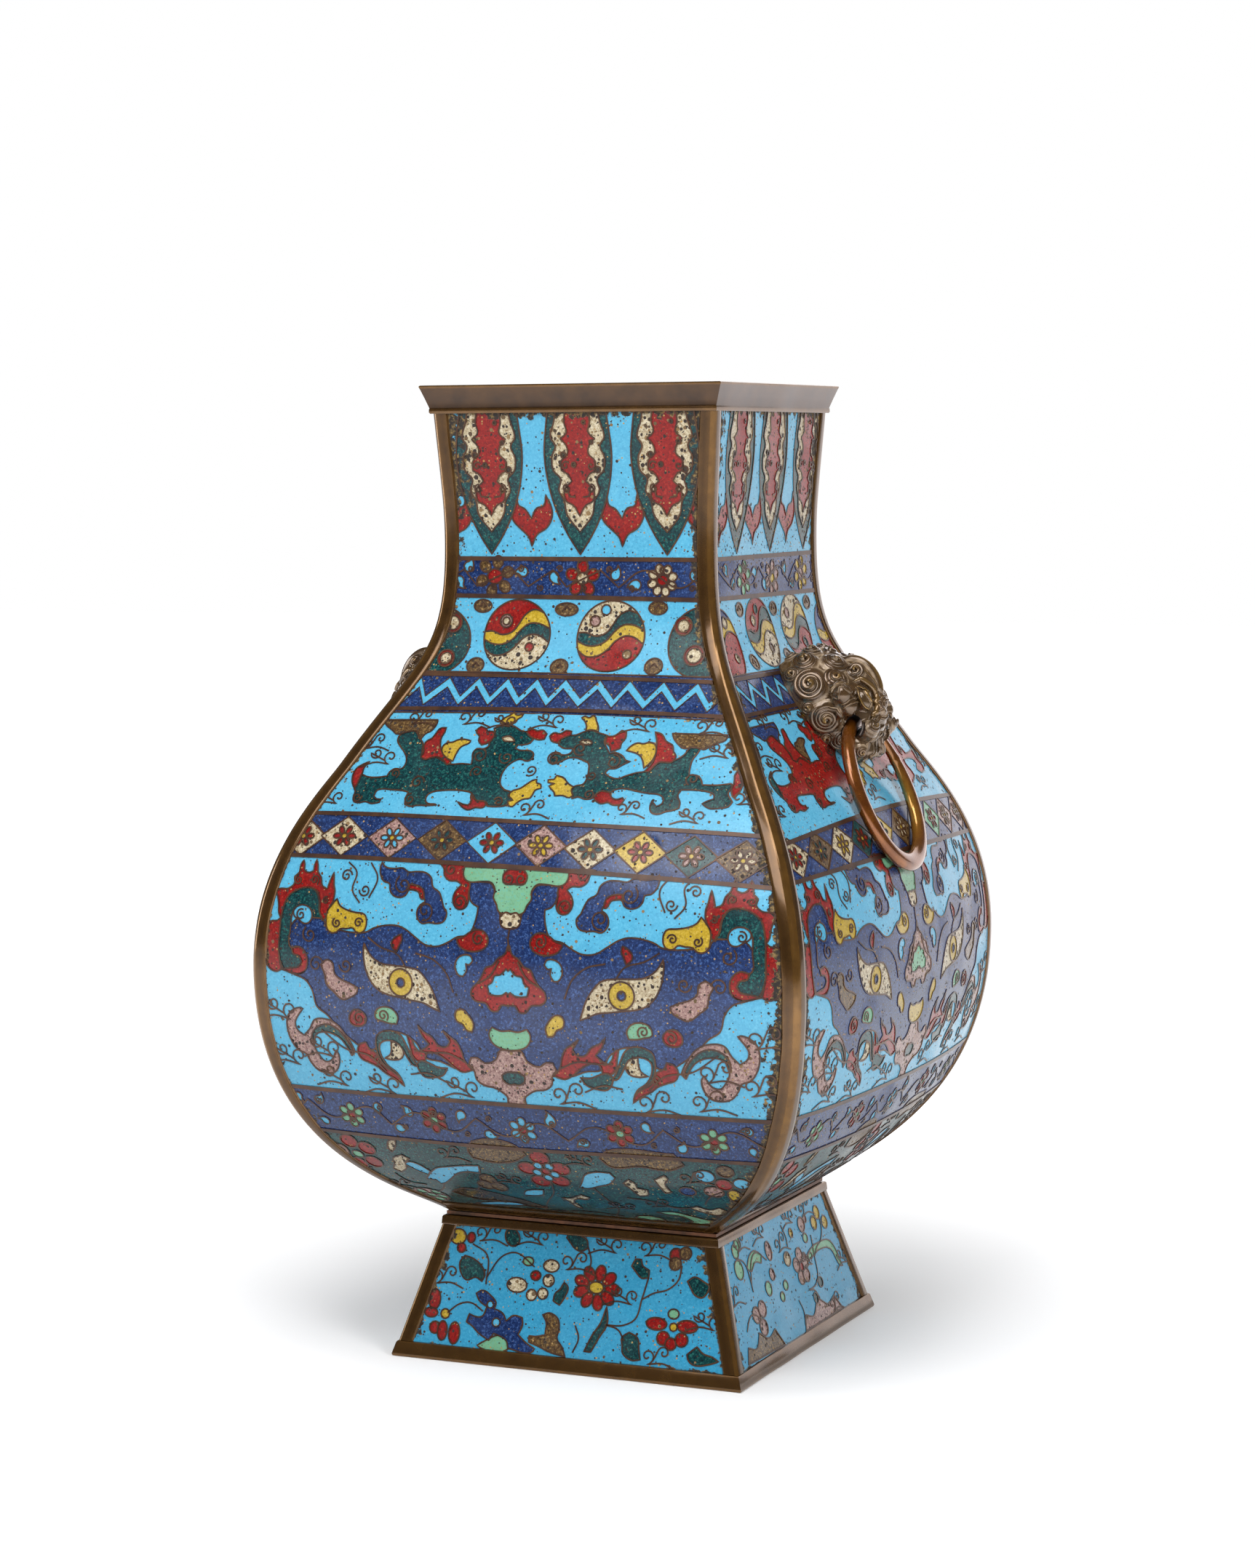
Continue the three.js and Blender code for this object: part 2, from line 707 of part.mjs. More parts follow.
function addPiece(name, geometry, material, turn = 0) {
  const mesh = new THREE.Mesh(geometry, material());
  mesh.name = name;
  mesh.rotation.z = turn;
  group.add(mesh);
}

const quarter = Math.PI / 2;
const faces = ['front', 'right', 'back', 'left'];
const corners = ['front_right', 'back_right', 'back_left', 'front_left'];

const plainPanel = bodyPanel();
const drilledPanel = drilled(plainPanel.clone().rotateZ(quarter)).rotateZ(-quarter);
const bodyRib = ribOutline(ribFlange, ribLip, ribCore, enamelDepth + wallThick, ribRound);
for (const [i, face] of faces.entries()) {
  const turn = i * quarter;
  const carriesMask = face === 'left' || face === 'right';
  addPiece(`body_panel_${face}`, carriesMask ? drilledPanel : plainPanel, enamel, turn);
  addPiece(`body_base_strip_${face}`, bodyBaseStrip(), bronze, turn);
  addPiece(`rim_${face}`, rimStrip(), bronze, turn);
  addPiece(`foot_top_strip_${face}`, footTopBar(), bronze, turn);
  addPiece(`foot_panel_${face}`, footPanel(), footEnamel, turn);
  addPiece(`foot_base_strip_${face}`, footBaseBar(), bronze, turn);
}
for (const [i, corner] of corners.entries()) {
  const turn = i * quarter;
  addPiece(`corner_rib_${corner}`, cornerRib(bodyWall, bodyRuns, bodyRib), bronze, turn);
  addPiece(`foot_corner_${corner}`, footCornerStrip(), bronze, turn);
}
addPiece('body_floor', bodyFloor(), copper);

const lean = restLean();
const maskSolid = lionMask(lean);
const rivet = maskRivet();
const ring = looseRing(lean);
for (const [face, turn] of [['right', 0], ['left', 2 * quarter]]) {
  addPiece(`mask_${face}`, maskSolid, maskBronze, turn);
  addPiece(`mask_rivet_${face}`, rivet, copper, turn);
  addPiece(`ring_${face}`, ring, ringCopper, turn);
}

export default group;
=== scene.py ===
import math
import bpy
import bmesh
import numpy as np
from mathutils import Matrix, Vector, noise
from mathutils.bvhtree import BVHTree
from mathutils.geometry import delaunay_2d_cdt


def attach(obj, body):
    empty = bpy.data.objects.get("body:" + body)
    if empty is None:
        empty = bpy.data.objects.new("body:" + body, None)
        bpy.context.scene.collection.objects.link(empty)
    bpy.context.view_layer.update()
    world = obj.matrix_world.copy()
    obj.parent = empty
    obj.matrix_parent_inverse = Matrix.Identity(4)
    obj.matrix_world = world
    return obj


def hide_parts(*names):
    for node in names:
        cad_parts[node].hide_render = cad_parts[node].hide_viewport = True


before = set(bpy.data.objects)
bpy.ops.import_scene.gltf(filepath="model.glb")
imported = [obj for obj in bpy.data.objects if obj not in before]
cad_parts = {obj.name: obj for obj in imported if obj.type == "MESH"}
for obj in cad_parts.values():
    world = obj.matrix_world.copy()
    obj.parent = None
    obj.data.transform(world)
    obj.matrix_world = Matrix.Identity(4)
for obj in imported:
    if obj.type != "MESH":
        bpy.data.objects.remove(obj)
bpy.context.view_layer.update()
mm = 0.001
quarter = math.pi / 2
print("frame loaded")

# Camera of the photograph: turned 23.8 degrees to the right of the front face, a little above it
cameraView = {"azimuth": 23.792, "elevation": 5.325, "roll": -0.364, "lens": 81.355,
              "place": (0.01255, -0.58205, -3.77371), "unit": 0.4, "sensor": 36, "nearest": 0.05}


def addCamera(view):
    az, el, roll = (math.radians(view[key]) for key in ("azimuth", "elevation", "roll"))
    right = Vector((math.cos(az), math.sin(az), 0))
    back = Vector((math.sin(az) * math.cos(el), -math.cos(az) * math.cos(el), math.sin(el)))
    up = back.cross(right)
    turned = right * math.cos(roll) + up * math.sin(roll)
    upright = up * math.cos(roll) - right * math.sin(roll)
    x, y, z = view["place"]
    spot = -(turned * x + upright * y + back * z) * view["unit"]
    camera = bpy.data.cameras.new("camera")
    camera.sensor_fit = "VERTICAL"
    camera.sensor_height = view["sensor"]
    camera.lens = view["lens"]
    camera.clip_start = view["nearest"]
    holder = bpy.data.objects.new("camera", camera)
    bpy.context.scene.collection.objects.link(holder)
    holder.matrix_world = Matrix.Translation(spot) @ Matrix((turned, upright, back)).transposed().to_4x4()
    bpy.context.scene.camera = holder


addCamera(cameraView)
bpy.context.scene.view_settings.view_transform = "Standard"


def linear(colour):  # sRGB hex to linear values
    parts = [int(colour[i:i + 2], 16) / 255 for i in (1, 3, 5)]
    return [c / 12.92 if c <= 0.04045 else ((c + 0.055) / 1.055) ** 2.4 for c in parts] + [1]


def addNode(tree, kind, settings=None, inputs=None):
    node = tree.nodes.new(kind)
    for key, value in (settings or {}).items():
        setattr(node, key, value)
    for key, value in (inputs or {}).items():
        if isinstance(value, bpy.types.NodeSocket):
            tree.links.new(value, node.inputs[key])
        else:
            node.inputs[key].default_value = value
    return node


def newObject(name, data):
    thing = bpy.data.objects.new(name, data)
    bpy.context.scene.collection.objects.link(thing)
    return thing


def finishedMesh(holder):  # the mesh that an object's modifiers make
    depsgraph = bpy.context.evaluated_depsgraph_get()
    return bpy.data.meshes.new_from_object(holder.evaluated_get(depsgraph), depsgraph=depsgraph)


def newMaterial(name):
    material = bpy.data.materials.new(name)
    material.use_nodes = True
    material.node_tree.nodes.clear()
    return material, material.node_tree


def inMillimetres(tree):
    coords = addNode(tree, "ShaderNodeTexCoord")
    return addNode(tree, "ShaderNodeVectorMath", {"operation": "SCALE"},
                   {0: coords.outputs["Object"], "Scale": 1000.0}).outputs[0]


def noiseAt(tree, place, size, detail=2.0, rough=0.5):
    return addNode(tree, "ShaderNodeTexNoise", None,
                   {"Vector": place, "Scale": 1 / size, "Detail": detail, "Roughness": rough}).outputs[0]


def ramp(tree, value, low, high, to=(0.0, 1.0)):
    return addNode(tree, "ShaderNodeMapRange", {"clamp": True},
                   {"Value": value, "From Min": low, "From Max": high,
                    "To Min": to[0], "To Max": to[1]}).outputs[0]


def blendColours(tree, share, first, second):
    return addNode(tree, "ShaderNodeMix", {"data_type": "RGBA"}, {0: share, 6: first, 7: second}).outputs[2]


def maths(tree, operation, first, second):
    return addNode(tree, "ShaderNodeMath", {"operation": operation, "use_clamp": True},
                   {0: first, 1: second}).outputs[0]


def surfaceOut(tree, inputs):
    shader = addNode(tree, "ShaderNodeBsdfPrincipled", None, inputs)
    addNode(tree, "ShaderNodeOutputMaterial", None, {"Surface": shader.outputs[0]})


# Vitreous enamel, fired and polished: a glossy glass skin with ground-glass flecks and open pits.
# Each entry: colour, light grain, dark grain, share of grain, share of cells with a pit, pit radius in mm
enamels = {
    "turquoise": ("#52a6c8", "#70bfd9", "#3e8ab0", 0.5, 0.26, 0.75),
    # the foot's turquoise is the turquoise made darker: painted shade under the belly
    "footTurquoise": ("#3490b6", "#52abca", "#26759b", 0.5, 0.3, 0.7),
    "cobalt": ("#172d5c", "#45649c", "#0d1836", 0.8, 0.28, 0.7),
    "green": ("#07353a", "#2a7067", "#031417", 0.8, 0.34, 0.7),
    "mint": ("#71a682", "#55a49a", "#56886a", 0.6, 0.36, 0.7),
    "red": ("#82100f", "#b03424", "#440706", 0.6, 0.65, 0.8),
    "pink": ("#957670", "#bda294", "#572a29", 0.9, 0.85, 1.0),
    "yellow": ("#b29527", "#cdb456", "#775f1c", 0.6, 0.55, 0.75),
    "white": ("#b6a98b", "#d6cbb4", "#6e5436", 0.9, 1.0, 1.1),
    "brown": ("#574026", "#947847", "#291c11", 0.9, 0.8, 0.9),
    "soil": ("#2b2117", "#5f4d2c", "#140e0a", 0.9, 0.5, 0.9),
}


# What all the enamels share: sizes in mm, and the noise values between which each thing sets in
glass = {
    "grainSize": 1.0, "lightGrain": (0.53, 0.66), "darkGrain": (0.34, 0.47),
    "cloudSize": 12, "cloud": (0.4, 0.75), "cloudShare": 0.2,
    "pitCell": 1.9, "pitTint": (0.6, 0.9), "pitDirt": ("#251710", "#7d6440"),
    "pinholeCell": 1.25, "pinholeRadius": 0.46, "pinholeShare": (0.32, 0.5), "pinholeTint": (0.64, 0.74),
    "pinholeDirt": ("#22160e", "#a8854c"), "pitRim": 0.05,
    "lossSize": 4, "lossNoise": (0.3, 0.75), "lossSpread": (-0.5, 0.45), "lossEdge": (0.5, 0.58),
    "lossHeight": 0.5, "fillerSize": 1.8, "fillerGrain": (0.5, 0.66), "filler": ("#1a110a", "#8a7040"),
    "polishSize": 20, "polish": (0.3, 1.0), "rough": (0.12, 0.6), "index": 1.5,
    "bump": 0.5, "pitDepth": 0.0003,
}


def pitsIn(tree, place, cellSize, share, radius):  # round holes of mixed sizes, and a tint for each
    cells = addNode(tree, "ShaderNodeTexVoronoi", {"feature": "F1"},
                    {"Vector": place, "Scale": 1 / cellSize, "Randomness": 1.0})
    tints = addNode(tree, "ShaderNodeSeparateColor", None, {0: cells.outputs["Color"]})
    size = ramp(tree, tints.outputs[0], 1 - share, 1, (0, radius / cellSize))
    hole = ramp(tree, maths(tree, "SUBTRACT", size, cells.outputs["Distance"]), 0, glass["pitRim"])
    return hole, tints.outputs[1]


def enamelMaterial(name, look):
    base, light, dark, amount, share, radius = look
    material, tree = newMaterial(name + "Enamel")
    place = inMillimetres(tree)
    grain = noiseAt(tree, place, glass["grainSize"], 2, 0.8)
    flecks = ramp(tree, grain, *glass["lightGrain"], (0, amount))
    colour = blendColours(tree, flecks, linear(base), linear(light))
    flecks = ramp(tree, grain, *glass["darkGrain"], (amount, 0))
    colour = blendColours(tree, flecks, colour, linear(dark))
    cloud = noiseAt(tree, place, glass["cloudSize"], 3)
    cloud = ramp(tree, cloud, *glass["cloud"], (0.0, glass["cloudShare"]))
    colour = blendColours(tree, cloud, colour, linear(dark))  # uneven firing
    # open pits and pinholes in the glass, with old polish and dirt in them
    least, more = glass["pinholeShare"]
    hole, tint = pitsIn(tree, place, glass["pitCell"], share, radius)
    pinhole, pinTint = pitsIn(tree, place, glass["pinholeCell"], least + share * more, glass["pinholeRadius"])
    for holes, shade, kind in ((hole, tint, "pit"), (pinhole, pinTint, "pinhole")):
        deep, shallow = (linear(dirt) for dirt in glass[kind + "Dirt"])
        dirt = blendColours(tree, ramp(tree, shade, *glass[kind + "Tint"]), deep, shallow)
        colour = blendColours(tree, holes, colour, dirt)
    hole = maths(tree, "MAXIMUM", hole, pinhole)
    # near the frame the enamel has crumbled and been filled
    edge = addNode(tree, "ShaderNodeAttribute", {"attribute_name": "loss"}).outputs["Fac"]
    crumbs = noiseAt(tree, place, glass["lossSize"], 4, 0.65)
    worn = maths(tree, "ADD", edge, ramp(tree, crumbs, *glass["lossNoise"], glass["lossSpread"]))
    lost = ramp(tree, worn, *glass["lossEdge"])
    grit = ramp(tree, noiseAt(tree, place, glass["fillerSize"], 4, 0.7), *glass["fillerGrain"])
    filler = blendColours(tree, grit, *(linear(dirt) for dirt in glass["filler"]))
    colour = blendColours(tree, lost, colour, filler)
    polish = noiseAt(tree, place, glass["polishSize"], 2)
    rough = maths(tree, "MAXIMUM", maths(tree, "MAXIMUM", hole, lost), polish)
    sunk = maths(tree, "MAXIMUM", hole, maths(tree, "MULTIPLY", lost, glass["lossHeight"]))
    height = maths(tree, "SUBTRACT", 1.0, sunk)
    bump = addNode(tree, "ShaderNodeBump", None, {
        "Strength": glass["bump"], "Distance": glass["pitDepth"], "Height": height})
    surfaceOut(tree, {"Base Color": colour, "Roughness": ramp(tree, rough, *glass["polish"], glass["rough"]),
                      "IOR": glass["index"], "Normal": bump.outputs[0]})
    return material


# Gilt brass and bronze, browned with age and rubbed bright where it stands out. The clear coat is the thin
# oxide and wax skin of the patina, which gives pale highlights on dark metal.
metals = {
    "agedBronze": {"dark": "#301c08", "light": "#452c12", "worn": "#7c5828", "rough": 0.2, "metal": 0.6,
                   "grain": 0.03, "skin": 0.35},
    "wireCopper": {"dark": "#38221a", "light": "#573923", "worn": "#7a5630", "rough": 0.4, "metal": 0.4,
                   "grain": 0.1, "skin": 0.2},
    "bareCopper": {"dark": "#38210f", "light": "#6b4228", "worn": "#9c6743", "rough": 0.5, "metal": 0.8,
                   "grain": 0.3, "skin": 0.2},
    "maskBronze": {"dark": "#2f2019", "light": "#533a28", "worn": "#c09648", "rough": 0.21, "metal": 0.5,
                   "grain": 0.03, "skin": 0.9},
    "ringCopper": {"dark": "#6a370b", "light": "#8a5017", "worn": "#c08c34", "rough": 0.2, "metal": 0.6,
                   "grain": 0.02, "skin": 0.7},
}


# What all the metals share: sizes in mm, and the noise values between which each thing sets in
patina = {
    "stainSize": 9, "stain": (0.35, 0.68), "rubSize": 5, "rub": (0.25, 0.65), "rubShare": (0.5, 1.0),
    "dustSize": 2.2, "dust": (0.3, 0.6), "dustShare": (0.45, 1.0), "dustColour": "#a8937a", "dustRough": 0.7,
    # painted shade in the ring's hole: where wear runs from -1 to -0.3, and its near-black colour
    "holeShade": (-1, -0.3), "holeShadeColour": "#120c08",
    "fineSize": 0.8, "fine": (0.3, 0.8), "fineRough": (-0.03, 0.06), "rubbedRough": 0.6, "dentSize": 6,
    "dentDepth": 0.00025, "skinIndex": 1.5, "skinRough": 0.1,
}


def metalMaterial(name, look):
    material, tree = newMaterial(name)
    place = inMillimetres(tree)
    stain = ramp(tree, noiseAt(tree, place, patina["stainSize"], 5, 0.6), *patina["stain"])
    colour = blendColours(tree, stain, linear(look["dark"]), linear(look["light"]))
    wear = addNode(tree, "ShaderNodeAttribute", {"attribute_name": "wear"}).outputs["Fac"]
    patches = ramp(tree, noiseAt(tree, place, patina["rubSize"], 4, 0.6), *patina["rub"], patina["rubShare"])
    rubbed = maths(tree, "MULTIPLY", wear, patches)
    colour = blendColours(tree, rubbed, colour, linear(look["worn"]))
    dirt = addNode(tree, "ShaderNodeAttribute", {"attribute_name": "dirt"}).outputs["Fac"]
    patches = ramp(tree, noiseAt(tree, place, patina["dustSize"], 3), *patina["dust"], patina["dustShare"])
    crust = maths(tree, "MULTIPLY", dirt, patches)
    colour = blendColours(tree, crust, colour, linear(patina["dustColour"]))
    shade = ramp(tree, wear, *patina["holeShade"], (1, 0))  # painted shade: near black on the faces cut for the ring, in the hole that it lies in
    colour = blendColours(tree, shade, colour, linear(patina["holeShadeColour"]))
    crust = maths(tree, "MAXIMUM", crust, shade)
    fine = noiseAt(tree, place, patina["fineSize"], 4, 0.6)
    smooth = ramp(tree, rubbed, 0, 1, (look["rough"], look["rough"] * patina["rubbedRough"]))
    rough = maths(tree, "ADD", smooth, ramp(tree, fine, *patina["fine"], patina["fineRough"]))
    rough = maths(tree, "MAXIMUM", rough, maths(tree, "MULTIPLY", crust, patina["dustRough"]))
    height = addNode(tree, "ShaderNodeMath", {"operation": "ADD"},
                     {0: fine, 1: noiseAt(tree, place, patina["dentSize"], 2)}).outputs[0]
    bump = addNode(tree, "ShaderNodeBump", None, {
        "Strength": look["grain"], "Distance": patina["dentDepth"], "Height": height})
    surfaceOut(tree, {"Base Color": colour, "Metallic": ramp(tree, crust, 0, 1, (look["metal"], 0.0)),
                      "Roughness": rough, "Normal": bump.outputs[0],
                      "Coat Weight": ramp(tree, crust, 0, 1, (look["skin"], 0.0)),
                      "Coat IOR": patina["skinIndex"], "Coat Roughness": patina["skinRough"]})
    return material


materials = {name: enamelMaterial(name, look) for name, look in enamels.items()}
materials.update({name: metalMaterial(name, look) for name, look in metals.items()})
print("materials made", len(materials))


def addPiece(name, mesh, body="vase", replaced=()):
    piece = newObject(name, mesh)
    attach(piece, body)
    if replaced:
        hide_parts(*replaced)
    return piece


def setWeights(mesh, name, values):
    mesh.attributes.new(name, "FLOAT", "POINT").data.foreach_set("value", np.asarray(values, np.float32))


def smoothShade(mesh, degrees):  # edges sharper than this stay crisp
    mesh.polygons.foreach_set("use_smooth", [True] * len(mesh.polygons))
    mesh.set_sharp_from_angle(angle=math.radians(degrees))


# Body wall in mm: the face's half width and height follow four curves, up from the body's foot
wallForm = {
    "curves": [[(60.8, 59.5), (72.24, 69.8), (118.5, 85.5), (118.5, 165.5)],
               [(118.5, 165.5), (118.5, 210.1), (97.79, 236.22), (91.2, 248)],
               [(91.2, 248), (68.27, 289.03), (59.4, 290.2), (59.4, 336.2)],
               [(59.4, 336.2), (59.4, 350.7), (60.2, 357.7), (62.4, 388.7)]],
    "swell": 7.5, "swellFrom": 60.8, "swellRun": 15.4, "neckHalf": 59.4, "neckToBelly": 59.1,
    "enamelDepth": 0.8, "wallThick": 2.0, "ribFlange": 6.5, "base": 7.0, "steps": 400,
}
footForm = {"topHalf": 61.1, "baseHalf": 77.9, "topZ": 57.6, "topStrip": 3.8, "baseStrip": 6.6,
            "corner": 6.3}


def wallTable(curves):
    share = np.linspace(0, 1, wallForm["steps"])[:, None]
    points = []
    for a, b, c, d in (np.array(curve, float) for curve in curves):
        points.append(a * (1 - share) ** 3 + 3 * b * share * (1 - share) ** 2
                      + 3 * c * share ** 2 * (1 - share) + d * share ** 3)
    path = np.concatenate([points[0]] + [part[1:] for part in points[1:]])
    lengths = np.linalg.norm(np.diff(path, axis=0), axis=1)
    run = np.concatenate([[0], np.cumsum(lengths)])
    up = np.gradient(path, run, axis=0)
    up /= np.linalg.norm(up, axis=1)[:, None]
    return run, path, up


wallRun, wallPath, wallUp = wallTable(wallForm["curves"])
wallLength = wallRun[-1]


def halfAt(s):
    return np.interp(s, wallRun, wallPath[:, 0])


def ontoBody(u, s, depth):
    half, z = (np.interp(s, wallRun, wallPath[:, k]) for k in (0, 1))
    upX, upZ = (np.interp(s, wallRun, wallUp[:, k]) for k in (0, 1))
    share = np.clip((half - wallForm["swellFrom"]) / wallForm["swellRun"], 0, 1)
    swell = wallForm["swell"] * np.clip((half - wallForm["neckHalf"]) / wallForm["neckToBelly"], 0, 1)
    swell = swell * share * share * (3 - 2 * share)
    level = half - depth * upZ
    rise = swell * (1 - (u / level) ** 2)
    return np.stack([u, -(level + rise * upZ), z + depth * upX - rise * upX], axis=1)


footRise = math.hypot(footForm["baseHalf"] - footForm["topHalf"], footForm["topZ"]) / footForm["topZ"]
footLean = (footForm["baseHalf"] - footForm["topHalf"]) / (footForm["topZ"] * footRise)


def footHalfAt(s):
    return footForm["baseHalf"] - footLean * s


def ontoFoot(u, s, depth):
    z = s / footRise
    half = footHalfAt(s)
    return np.stack([u, -(half - depth / footRise), z - depth * footLean], axis=1)


def turned(points, turn):
    c, s = round(math.cos(turn)), round(math.sin(turn))
    x, y, z = points[:, 0], points[:, 1], points[:, 2]
    return np.stack([c * x - s * y, s * x + c * y, z], axis=1) * mm


# Drawing on a face: outlines in mm, u across from the middle and s up the wall
drawing = {"pitch": 1.2, "sharpTurn": 62, "leastSides": 8, "curlTurns": 1.4, "curlSteps": 12, "curlEye": 0.14}


def smoothed(points, closed=True, pitch=drawing["pitch"]):  # a soft line that keeps the sharp corners
    path = np.array(points, float)
    count = len(path)
    after = np.roll(path, -1, axis=0) - path
    if not closed:
        after[-1] = after[-2]
    before = np.roll(after, 1, axis=0)
    if not closed:
        before[0] = after[0]
    lengths = np.linalg.norm(after, axis=1) + 1e-9
    ahead = after / lengths[:, None]
    behind = before / (np.linalg.norm(before, axis=1)[:, None] + 1e-9)
    middle = ahead + behind
    middle /= np.linalg.norm(middle, axis=1)[:, None] + 1e-9
    corner = (ahead * behind).sum(axis=1) < math.cos(math.radians(drawing["sharpTurn"]))
    out = []
    for i in range(count if closed else count - 1):
        j = (i + 1) % count
        start = ahead[i] if corner[i] else middle[i]
        end = ahead[i] if corner[j] else middle[j]
        steps = max(1, int(math.ceil(lengths[i] / pitch)))
        for t in np.arange(steps) / steps:
            a, b = (1 + 2 * t) * (1 - t) ** 2, t * t * (3 - 2 * t)
            c, d = t * (1 - t) ** 2 * lengths[i], t * t * (t - 1) * lengths[i]
            out.append(a * path[i] + b * path[j] + c * start + d * end)
    if not closed:
        out.append(path[-1])
    return np.array(out)


def mirrored(points):
    return [(-u, s) for u, s in reversed(list(points))]


def bothHalves(points):
    half = [(min(u, 0), s) for u, s in points]
    return half + mirrored(half)


def disc(u, s, wide, tall=None, tilt=0.0):
    tall = tall or wide
    count = max(drawing["leastSides"], int(6 * max(wide, tall) / drawing["pitch"]))
    angles = np.arange(count) * 2 * math.pi / count
    x, y = wide * np.cos(angles), tall * np.sin(angles)
    c, d = math.cos(tilt), math.sin(tilt)
    return np.stack([u + c * x - d * y, s + d * x + c * y], axis=1)


def spiral(u, s, size, start, turns, hand):  # curls inwards from its outer end
    share = np.linspace(0, 1, int(drawing["curlSteps"] * turns) + 2)
    angle = start + hand * share * turns * 2 * math.pi
    reach = size * (1 - (1 - drawing["curlEye"]) * share)
    return np.stack([u + reach * np.cos(angle), s + reach * np.sin(angle)], axis=1)


def newSheet():
    return {"cells": [], "wires": [], "bars": []}


def cell(sheet, colour, outline):
    sheet["cells"].append((colour, np.asarray(outline, float)))


def wire(sheet, points):
    sheet["wires"].append(smoothed(points, False))


def curl(sheet, u, s, size, start, hand=1, tail=(), turns=drawing["curlTurns"]):
    inner = spiral(u, s, size, start, turns, hand)
    if tail:
        inner = np.concatenate([smoothed(list(tail) + [tuple(inner[0])], False)[:-1], inner])
    sheet["wires"].append(inner)


# Beast mask of the belly: outlines of its middle, as left halves that close on the middle line
beastMiddle = {
    "face": ("cobalt", [(0.5, 150.9), (-4.2, 150.9), (-4.6, 154.2), (-6.4, 157.5), (-7.9, 160),
        (-8.1, 163.3), (-9.7, 165.5), (-14.1, 166.1), (-19.3, 166.1), (-18.8, 160.4), (-17, 157.8),
        (-14.4, 156.7), (-14.7, 153.1), (-16.3, 148), (-17.7, 146.1), (-22.8, 144.9), (-27.2, 142.5),
        (-31.6, 141), (-36.7, 141.4), (-41.8, 144.3), (-46.2, 146.9), (-49.9, 148), (-55.7, 147.8),
        (-60.8, 146.5), (-64.1, 144.9), (-82.8, 145.8), (-83.9, 148.3), (-87.9, 149.8), (-95.2, 149.8),
        (-101, 144.3), (-104, 137), (-104.7, 131.2), (-102.5, 128.2), (-97.4, 126.4), (-92.3, 124.6),
        (-89.3, 120.9), (-87.2, 114.3), (-82.8, 111.4), (-79.1, 107.8), (-75.5, 104.5), (-71.8, 101.9),
        (-68.2, 99.7), (-63.8, 98.6), (-60.5, 99.7), (-59.7, 103.4), (-56.5, 106.7), (-52.1, 107),
        (-46.2, 105.9), (-41.8, 103), (-38.2, 97.5), (-31.6, 96.4), (-24.3, 93.9), (-17, 93.9),
        (0.5, 93.9)]),
    "forehead": ("mint", [(0.5, 171.7), (-22.5, 171.7), (-22.7, 169.2), (-21.7, 167), (-19.6, 165.9),
        (-14.1, 166.2), (-9.7, 165.9), (-7.9, 163.3), (-8.2, 160.4), (-6.5, 157.8), (-5.7, 155.6),
        (-3.8, 154.5), (0.5, 154.7)]),
    "crown": ("red", [(0.5, 171.3), (-3.1, 171.3), (-5.2, 169.2), (-4.6, 166.2), (-1.7, 165.6),
        (0.5, 165.9)]),
    "browCurl": ("white", [(0.5, 154.5), (-2.4, 155.1), (-4.6, 153.1), (-3.8, 150.2), (-1.7, 149.1),
        (0.5, 149.1)]),
    "trefoil": ("red", [(0.5, 140.7), (-0.5, 142.8), (-1.3, 139.9), (-4.6, 137.7), (-6.8, 135.2),
        (-9.7, 134.1), (-11.2, 131.2), (-13.3, 128.2), (-15.7, 126), (-16.1, 123.1), (-14.1, 121.3),
        (-9.7, 120.6), (-7.5, 118), (-4.6, 118), (-3.1, 120.2), (0.5, 120.2)]),
    "trefoilHeart": ("turquoise", [(0.5, 133.3), (-0.9, 134.1), (-3.1, 131.9), (-6, 131.2), (-6.8, 129),
        (-9, 127.5), (-8.2, 124.2), (-5.3, 123.8), (-2.4, 124.2), (-0.9, 125.3), (0.5, 124.6)]),
    "nose": ("pink", [(0.5, 102.7), (-4.6, 102.7), (-6.8, 99), (-11.9, 97.2), (-14.8, 99), (-17.7, 99),
        (-19, 96.1), (-17, 93.9), (-16.3, 90.2), (-13.3, 88), (-9, 87.3), (-6, 85.8), (-3.8, 83.7),
        (-4.2, 80.7), (0.5, 80.7)]),
    "nostril": ("green", [(0.5, 94.2), (-2.4, 94.2), (-4.9, 92.8), (-4.6, 90.6), (-1.7, 89.1), (0.5, 89.5)]),
    "lip": ("mint", [(0.5, 110.7), (-3.8, 110.3), (-7.5, 111.6), (-9, 108.9), (-7.5, 105.2), (-3.8, 103.4),
        (0.5, 102.9)]),
}
